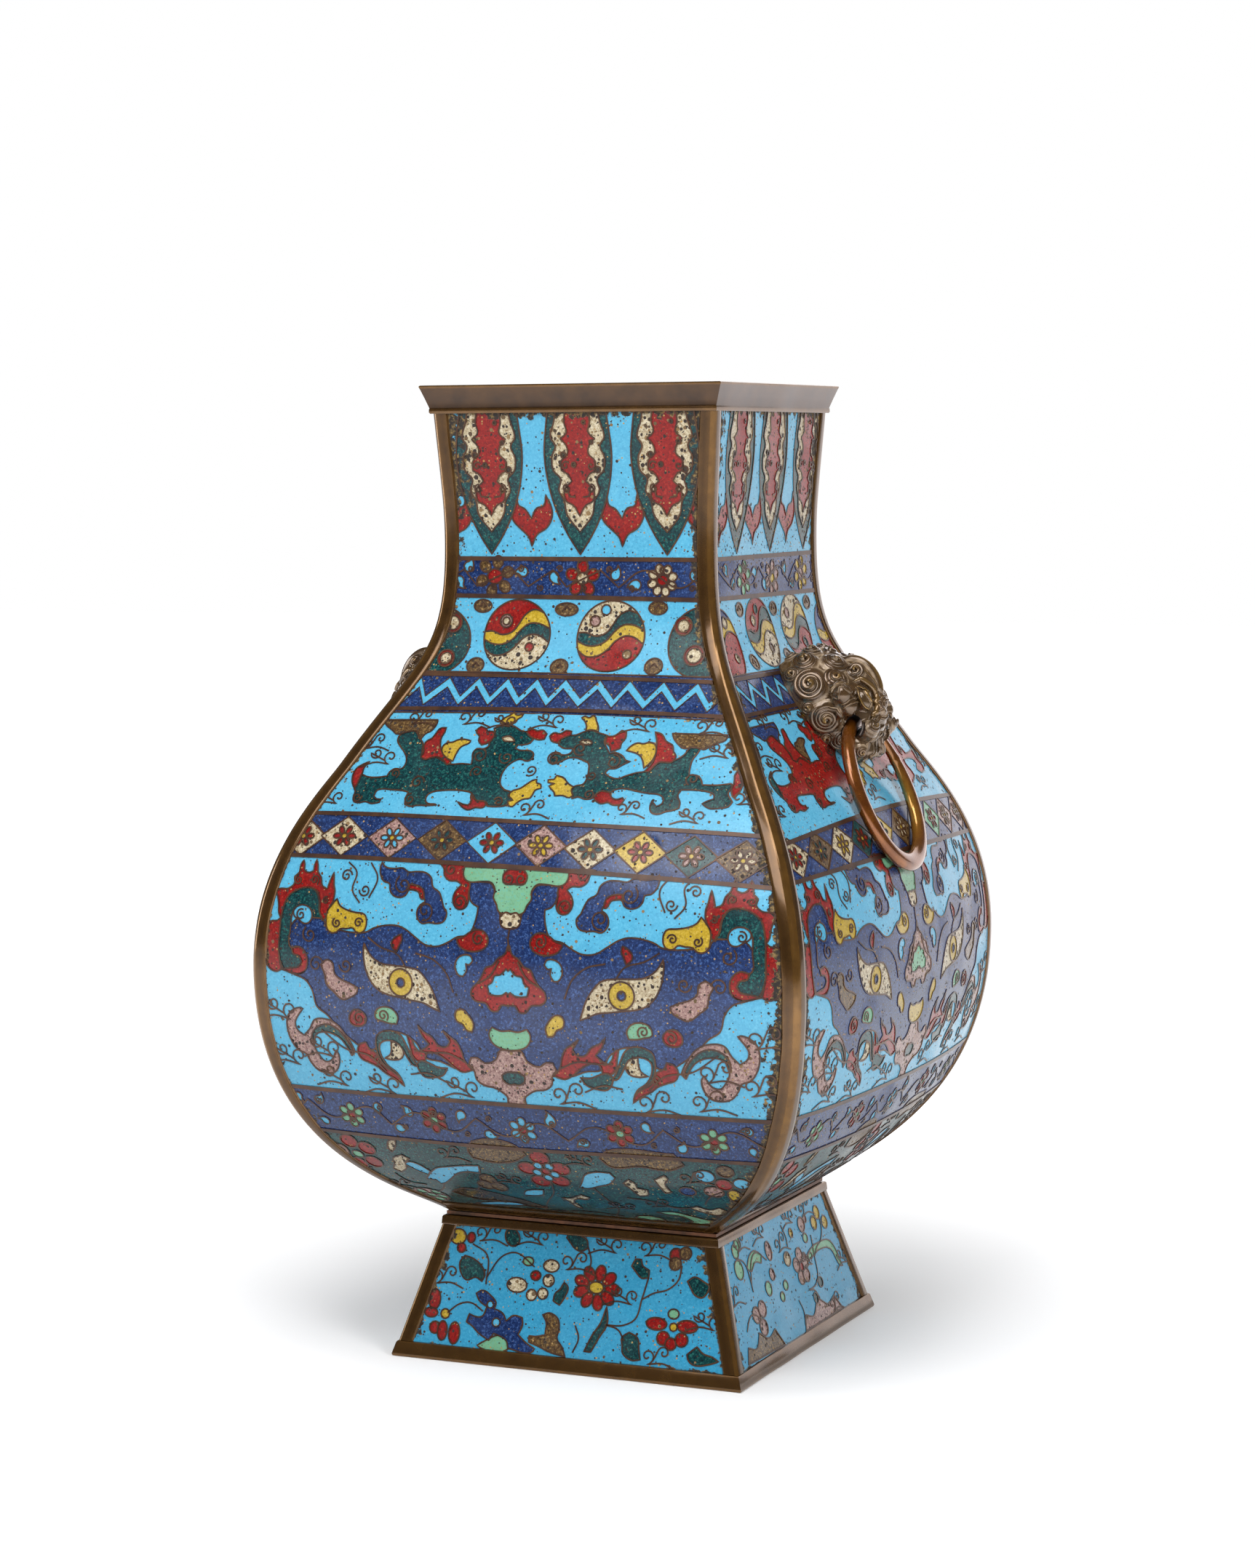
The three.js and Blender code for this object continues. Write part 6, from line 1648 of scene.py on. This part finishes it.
# A cord laid on the dome: its half section, how deep it is rooted in mm, and its dusty foot
cordForm = {"steps": 8, "footHalf": 0.9, "fullness": 0.85, "rooted": 0.8, "dustHigh": 0.4, "endRun": 0.12,
            "endLeast": 0.03, "faceLift": 0.25}
cordSides = [(math.cos(a), math.sin(a)) for a in np.linspace(0, math.pi, cordForm["steps"])]
cordSides += [(-cordForm["footHalf"], -1), (cordForm["footHalf"], -1)]


def layCord(cords, places, normals, wide, tall, lift, worn):
    ways = np.gradient(places, axis=0)
    across = np.cross(normals, ways)
    across /= np.linalg.norm(across, axis=1)[:, None] + 1e-9
    sections, wear, dirt = [], [], []
    worn = np.broadcast_to(worn, lift.shape)
    for c, s in cordSides:
        height = lift + tall * s ** cordForm["fullness"] if s > 0 else -cordForm["rooted"] + 0 * lift
        sections.append(places + across * (wide * c)[:, None] + normals * height[:, None])
        wear.append(worn * max(s, 0) ** 2)
        dirt.append(np.full(len(lift), min(max(1 - max(s, 0) / cordForm["dustHigh"], 0), 1)))
    cords.append((np.stack(sections, axis=1), np.stack(wear, axis=1), np.stack(dirt, axis=1)))


# A curl's cord, in mm: half widths, where it starts to broaden and to thicken, and how close its turns lie
curlForm = {
    "outer": 0.58, "edgeShare": 0.15, "edgeLeast": 0.6, "edgeRun": 3.2, "inside": 2.9, "blend": 0.9,
    "eye": 0.35, "steps": 26, "pitch": 1.86, "tail": 9, "head": 4, "lift": 0.1, "broader": 1.08,
    "wear": (0.12, 0.9), "above": 1.5, "steepness": 1.4, "tailLeast": 0.12, "lowShare": 0.75,
}


def layCurl(cords, tree, side, form):
    centre, size, inner, rise, first = form
    (middle,), (out,) = (found[:1] for found in onDome(tree, [(side * centre[0], centre[1], centre[2])] * 3))
    right = np.cross((0, 1, 0), out)
    right /= np.linalg.norm(right)
    above = np.cross(out, right)
    look, outer, step = curlForm, curlForm["outer"], 2 * math.pi / curlForm["steps"]
    broad, blend = max(look["edgeShare"] * size, look["edgeLeast"]), look["blend"]
    inside, angle = look["inside"] * inner, math.radians(first if side < 0 else 180 - first)
    away, track = size - broad, []
    while away > look["eye"] * inner:
        mix = min(max((inside + blend - away) / blend, 0), 1)
        edge = min(max((away - size + look["edgeRun"] * broad) / broad, 0), 1)
        wide = outer + (inner - outer) * mix + (broad - outer) * edge * (1 - mix)
        track.append((away, angle, wide))
        away -= look["pitch"] * wide * step / (2 * math.pi)
        angle -= side * step
    away, angle, wide = np.array(track).T
    flat = middle + (away * np.cos(angle))[:, None] * right + (away * np.sin(angle))[:, None] * above
    places, normals = onDome(tree, flat + out * look["above"])
    share = np.clip(away / size, 0, 1)[:, None]
    normals = normals * share + out * (1 - share)
    normals /= np.linalg.norm(normals, axis=1)[:, None]
    climb = np.clip(1 - away / inside, 0, 1)
    lift = swellAt(size, away) + look["lift"] + rise * climb ** look["steepness"]
    count = np.arange(len(away))
    tail = np.clip(look["tailLeast"] + count / look["tail"], 0, 1)
    head = np.clip(count[::-1] / look["head"], 0, 1)
    # rounded at both ends
    ends = np.sqrt(tail) * np.sqrt(np.clip(1 - (1 - head) ** 2, cordForm["endLeast"], 1))
    least, most = look["wear"]
    tall = wide * (look["lowShare"] + (1 - look["lowShare"]) * climb) * ends
    layCord(cords, places, normals, wide * ends * look["broader"], tall, lift, least + most * climb ** 3)


def layFaceCord(cords, tree, side, form):
    wide, tall, worn, points = form
    count = 10 + 7 * len(points)
    places, normals = onDome(tree, softPath([(side * x, y, z) for x, y, z in points], count))
    ends = np.linspace(0, 1, count)
    ends = np.sqrt(np.clip(np.minimum(ends, 1 - ends) / cordForm["endRun"], cordForm["endLeast"], 1))
    layCord(cords, places, normals, wide * ends, tall * ends, np.full(count, cordForm["faceLift"]), worn)


def joinCords(name, cords):
    points, faces, wear, dirt = [], [], [], []
    start, sides = 0, len(cordSides)
    for sections, worn, dusty in cords:
        faces += tubeFaces(start, len(sections), sides)
        points.append(sections.reshape(-1, 3))
        wear.append(worn.ravel())
        dirt.append(dusty.ravel())
        start += len(sections) * sides
    mesh = solidFrom(name, inMask(np.concatenate(points)), faces, "maskBronze")
    setWeights(mesh, "wear", np.concatenate(wear))
    setWeights(mesh, "dirt", np.concatenate(dirt))
    return mesh


def inMask(points):  # mask's frame to the vase, on its right side
    seat, up, out = (np.array(maskForm[key]) for key in ("seat", "up", "out"))
    return (seat + points[:, [0]] * (0, 1, 0) + points[:, [1]] * up + points[:, [2]] * out) * mm


def hingePoint(down, across, outwards, lean):  # metres, from a place measured along the hanging ring
    c, s = math.cos(lean), math.sin(lean)
    x, y, z = maskForm["hinge"]
    return ((x + down * s + outwards * c) * mm, (y + across) * mm, (z - down * c + outwards * s) * mm)


# Oval ring in mm, with the angles from its foot at which it is worn thin, joined and rubbed bright inside
ringForm = {
    "halfWidth": 28.0, "halfHeight": 30.4, "radial": 4.0, "axial": 2.75, "thinning": 0.36, "thinAt": 2.5,
    "thinOver": 0.85, "clearance": 0.35, "seamAt": 1.98, "seamOver": 0.035, "seamRise": 0.1, "topFlat": 0.15,
    "brightAt": 1.3, "brightOver": 0.45, "innerWear": 0.25, "brightWear": 0.9, "steps": 200, "sides": 24,
}
# Rooms cut for it in the mask: shares of its rod, least sizes in mm, and the steps of each cut
boreForm = {"rodShare": 0.82, "sagShare": 0.9, "least": 0.4, "farthest": 2.2, "along": 33, "around": 48}
legForm = {"rodShare": 0.9, "least": 0.35, "degrees": (30, 36, 42, 48, 54, 61, 68, 80, 90), "steps": 16}
wallCut = {"half": 34, "across": 35, "from": 175, "to": 285, "rows": 56, "above": 0.25, "inwards": 26}


def boreCutter():  # room for the ring's top through the whole swing
    sections = []
    room = ringForm["radial"] * boreForm["rodShare"] + ringForm["clearance"]
    start, end = maskForm["lean"], maskForm["lean"] + maskForm["swing"]
    for y in np.linspace(-maskForm["boreHalf"], maskForm["boreHalf"], boreForm["along"]):
        sag = ringForm["halfHeight"] * (1 - math.sqrt(max(0, 1 - (y / ringForm["halfWidth"]) ** 2)))
        section = []
        for angle in np.linspace(0, 2 * math.pi, boreForm["around"], endpoint=False):
            away = min(max(start - angle, angle - end, 0), abs(angle - 2 * math.pi - start))
            inner = room ** 2 - (sag * math.sin(away)) ** 2
            near = inner > 0 and away < boreForm["farthest"]
            reach = sag * math.cos(away) + math.sqrt(inner) if near else 0
            behind = room - sag * boreForm["sagShare"]
            section.append(hingePoint(max(reach, behind, boreForm["least"]), y, 0, angle))
        sections.append(section)
    # its wear of -1 marks the faces it cuts in the mask for the painted shade of the hole
    return sweep("bore", np.array(sections), "maskBronze", -1)


def legCutter(side):
    outline = []
    for way in (1, -1):
        room = way * (ringForm["radial"] * legForm["rodShare"] + ringForm["clearance"])
        edge = []
        for degrees in legForm["degrees"]:
            a = math.radians(degrees)
            across, along = ringForm["halfWidth"] * math.cos(a), -ringForm["halfHeight"] * math.sin(a)
            size = math.hypot(across, along)
            down = ringForm["halfHeight"] * (1 - math.cos(a)) + room * across / size
            edge.append((max(down, legForm["least"]),
                         ringForm["halfWidth"] * math.sin(a) + room * along / size))
        outline += edge if way == 1 else edge[::-1]
    lean, swing = maskForm["lean"], maskForm["swing"]
    room = ringForm["axial"] + ringForm["clearance"]
    turns = [(lean + swing * k / legForm["steps"], 0) for k in range(legForm["steps"] + 1)]
    steps = [(lean, -room), *turns, (lean + swing, room)]
    sections = [[hingePoint(x, side * y, offset, angle) for x, y in outline] for angle, offset in steps]
    # its wear of -1 marks the faces it cuts in the mask for the painted shade of the hole
    return sweep("leg", np.array(sections), "maskBronze", -1)


def wallCutter():  # everything from just over the wall inwards
    across = np.linspace(-wallCut["half"], wallCut["half"], wallCut["across"])
    sections = []
    for s in np.linspace(wallCut["from"], wallCut["to"], wallCut["rows"]):
        rows = np.full(len(across), s)
        face = ontoBody(across, rows, wallForm["enamelDepth"] - wallCut["above"])
        back = ontoBody(across[::-1], rows, wallCut["inwards"])
        sections.append(turned(np.concatenate([face, back]), quarter))
    return sweep("wall", np.array(sections), "maskBronze", 0)


def cutAway(mesh, cutters):
    holder = newObject("mask", mesh)
    tools = []
    for cutter in cutters:
        tool = newObject(cutter.name, cutter)
        tools.append(tool)
        cut = holder.modifiers.new(cutter.name, "BOOLEAN")
        cut.operation, cut.solver, cut.object = "DIFFERENCE", "MANIFOLD", tool
    made = finishedMesh(holder)
    for thing in [holder, *tools]:
        bpy.data.objects.remove(thing)
    return made


def largestPart(mesh):
    form = bmesh.new()
    form.from_mesh(mesh)
    form.faces.ensure_lookup_table()
    seen, parts = set(), []
    for face in form.faces:
        if face.index in seen:
            continue
        part, queue = [], [face]
        seen.add(face.index)
        while queue:
            here = queue.pop()
            part.append(here)
            for edge in here.edges:
                for there in edge.link_faces:
                    if there.index not in seen:
                        seen.add(there.index)
                        queue.append(there)
        parts.append(part)
    parts.sort(key=len)
    bmesh.ops.delete(form, geom=[face for part in parts[:-1] for face in part], context="FACES")
    form.to_mesh(mesh)
    form.free()


def lionMask():
    grid = maskDome()
    tree = domeTree(grid)
    grid, crease = swellUnderCurls(grid, tree)
    mesh = solidFrom("lionMask", inMask(grid.reshape(-1, 3)), tubeFaces(0, *grid.shape[:2]), "maskBronze")
    setWeights(mesh, "wear", np.full(grid.shape[:2], maskForm["wear"]).ravel())
    # less dust on the face and towards the wall, and none on the two ears
    x, y, z = maskForm["ear"]
    ears = sum(np.exp(-(((grid - (side * x, y, z)) * (1, 0.8, 1)) ** 2).sum(axis=2) / 30) for side in (1, -1))
    face = np.exp(-(((np.abs(grid[:, :, 0]) - 6) / 7) ** 2 + ((grid[:, :, 1] + 4) / 8) ** 2))
    dust = crease * (1 - maskForm["faceClean"] * face) * np.clip(grid[:, :, 2] / 8, 0.5, 1)
    setWeights(mesh, "dirt", np.clip(dust - ears, 0, 1).ravel())
    cords = []
    for side in (-1, 1):
        for form in maskCurls:
            layCurl(cords, tree, side, form)
        for form in maskCords:
            layFaceCord(cords, tree, side, form)
    layCurl(cords, tree, 1, crestCurl)
    layFaceCord(cords, tree, 1, crestCord)
    ringRoom = [boreCutter(), legCutter(-1), legCutter(1)]
    mesh = cutAway(mesh, [wallCutter(), *ringRoom])
    largestPart(mesh)
    relief = cutAway(joinCords("lionRelief", cords), ringRoom)
    form = bmesh.new()
    form.from_mesh(mesh)
    form.from_mesh(relief)
    form.to_mesh(mesh)
    form.free()
    smoothShade(mesh, 60)
    return mesh


def looseRing():
    form, lean = ringForm, maskForm["lean"]
    steps, sides = form["steps"], form["sides"]
    sections, wear = [], []
    for angle in np.arange(steps) * 2 * math.pi / steps:
        away = math.atan2(math.sin(angle - form["thinAt"]), math.cos(angle - form["thinAt"]))
        share = 1 - form["thinning"] * math.exp(-(away / form["thinOver"]) ** 2)
        share *= 1 + form["seamRise"] * math.exp(-((angle - form["seamAt"]) / form["seamOver"]) ** 2)
        radial = form["radial"] * share * (1 - form["topFlat"] * (0.5 - 0.5 * math.cos(angle)))
        axial = form["axial"] * share
        downward, sideways = form["halfWidth"] * math.cos(angle), form["halfHeight"] * math.sin(angle)
        size = math.hypot(downward, sideways)
        section = []
        for j in range(sides):
            c, s = math.cos(2 * math.pi * j / sides), math.sin(2 * math.pi * j / sides)
            down = form["halfHeight"] * (1 + math.cos(angle)) + radial * c / size * downward
            across = form["halfWidth"] * math.sin(angle) + radial * c / size * sideways
            section.append(hingePoint(down, across, axial * s, lean))
            inner = max(0, -c) ** 2
            bright = math.exp(-((angle - form["brightAt"]) / form["brightOver"]) ** 2)
            wear.append(inner * (form["innerWear"] + form["brightWear"] * bright))
        sections.append(section)
    return sweep("ring", np.array(sections), "ringCopper", np.array(wear).reshape(steps, sides), closed=True)


def halfTurned(mesh):
    copy = mesh.copy()
    copy.transform(Matrix.Rotation(math.pi, 4, "Z"))
    return copy


rightMask, rightRing = lionMask(), looseRing()
print("lion mask", len(rightMask.polygons), "faces")
masksAndRings = [("right", rightMask, rightRing), ("left", halfTurned(rightMask), halfTurned(rightRing))]
for side, maskMesh, ringMesh in masksAndRings:
    addPiece(side + "LionMask", maskMesh, replaced=["mask_" + side])
    addPiece(side + "Ring", ringMesh, "ring_" + side, ["ring_" + side])


def flatSheet(name, corners, material):  # part of the studio, not of the vase
    mesh = bpy.data.meshes.new(name)
    mesh.from_pydata(corners, [], [tuple(range(len(corners)))])
    mesh.materials.append(material)
    sheet = newObject(name, mesh)
    return sheet


# Plain floor that glows where seen straight on or mirrored, white away from the vase; its glow is weaker near
# the vase, painted shade round its foot: half size in metres, and where the lift sets in
floorForm = {"half": 6, "colour": (0.86, 0.86, 0.87, 1), "liftFrom": 0.12, "liftTo": 0.5, "lift": (0.16, 0.9)}


def paleFloor():
    material, tree = newMaterial("paleFloor")
    rays = addNode(tree, "ShaderNodeLightPath")
    matt = addNode(tree, "ShaderNodeBsdfDiffuse", None, {"Color": floorForm["colour"]})
    place = addNode(tree, "ShaderNodeTexCoord").outputs["Object"]
    far = addNode(tree, "ShaderNodeVectorMath", {"operation": "LENGTH"}, {0: place}).outputs["Value"]
    # the glow rises with distance from the vase: weaker near it, painted shade round its foot
    glow = ramp(tree, far, floorForm["liftFrom"], floorForm["liftTo"], floorForm["lift"])
    seen = maths(tree, "MAXIMUM", rays.outputs["Is Camera Ray"], rays.outputs["Is Glossy Ray"])
    lift = addNode(tree, "ShaderNodeEmission", None, {
        "Color": (1, 1, 1, 1), "Strength": maths(tree, "MULTIPLY", glow, seen)})
    both = addNode(tree, "ShaderNodeAddShader", None, {0: matt.outputs[0], 1: lift.outputs[0]})
    addNode(tree, "ShaderNodeOutputMaterial", None, {"Surface": both.outputs[0]})
    return material


half = floorForm["half"]
flatSheet("floor", [(-half, -half, 0), (half, -half, 0), (half, half, 0), (-half, half, 0)], paleFloor())

# White card behind the vase, seen only in reflections: it ends beside the right face
cardForm = {
    "outline": [(-0.6, 0.0), (0.56, 0.0), (0.59, 0.1), (0.65, 0.18), (0.66, 0.32), (0.57, 0.42), (0.45, 0.54),
                (0.36, 0.68), (0.32, 0.85), (0.3, 1.2), (-0.6, 1.2)],
    "behind": 1.0, "colour": (1, 0.96, 0.97, 1), "strength": 1.55,
}
cardPaper, cardTree = newMaterial("cardPaper")
paper = addNode(cardTree, "ShaderNodeEmission", None, {
    "Color": cardForm["colour"], "Strength": cardForm["strength"]})
addNode(cardTree, "ShaderNodeOutputMaterial", None, {"Surface": paper.outputs[0]})
card = flatSheet("card", [(x, cardForm["behind"], z) for x, z in cardForm["outline"]], cardPaper)
card.visible_camera = card.visible_diffuse = card.visible_shadow = False

# White surroundings, dim where they would only light the vase or be mirrored in it
brightness = {"lighting": 0.28, "mirrored": 0.1, "seen": 1.0}
world = bpy.data.worlds.new("studio")
bpy.context.scene.world = world
world.use_nodes = True
studio = world.node_tree
studio.nodes.clear()
rays = addNode(studio, "ShaderNodeLightPath")
mirror = addNode(studio, "ShaderNodeMix", {"data_type": "FLOAT"}, {
    0: rays.outputs["Is Glossy Ray"], 2: brightness["lighting"], 3: brightness["mirrored"]}).outputs[0]
strength = addNode(studio, "ShaderNodeMix", {"data_type": "FLOAT"}, {
    0: rays.outputs["Is Camera Ray"], 2: mirror, 3: brightness["seen"]}).outputs[0]
sky = addNode(studio, "ShaderNodeBackground", None, {"Color": (1, 1, 1, 1), "Strength": strength})
addNode(studio, "ShaderNodeOutputWorld", None, {"Surface": sky.outputs[0]})

aimAt = Vector((0, 0, 0.2))  # the middle of the vase
lamps = {  # place and size in metres, strength in watts, and whether it shows as a highlight
    "frontLamp": ((-0.08, -0.95, 1.01), (0.66, 0.6), 6.5, True),
    "topLamp": ((0.3, -0.62, 1.5), (0.7, 0.7), 8.0, True),
    "leftLamp": ((-1.6, -0.62, 0.5), (0.5, 0.8), 7.0, True),
    "sideLamp": ((1.25, -0.8, 0.75), (0.5, 0.5), 12.0, False),
    "backLamp": ((-0.5, 1.7, 1.7), (1.4, 1.2), 4.5, False),
}
for name, (place, size, watts, shiny) in lamps.items():
    lamp = bpy.data.lights.new(name, "AREA")
    lamp.shape = "RECTANGLE"
    lamp.size, lamp.size_y = size
    lamp.energy = watts
    holder = newObject(name, lamp)
    holder.location = place
    holder.rotation_euler = (aimAt - Vector(place)).to_track_quat("-Z", "Y").to_euler()
    holder.visible_camera = False
    holder.visible_glossy = shiny
print("floor, card and lamps placed")

# CAD nodes that still show take these materials
carriedOver = {
    "bronze": "agedBronze", "copper": "bareCopper", "mask_bronze": "maskBronze", "ring_copper": "ringCopper",
    "body_enamel": "turquoise", "foot_enamel": "footTurquoise",
}
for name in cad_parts:
    node = bpy.data.objects.get(name)
    if node is None or node.hide_render:
        continue
    for slot in node.material_slots:
        slotName = slot.material.name.split(".")[0] if slot.material else "bronze"
        slot.material = materials[carriedOver.get(slotName, "agedBronze")]
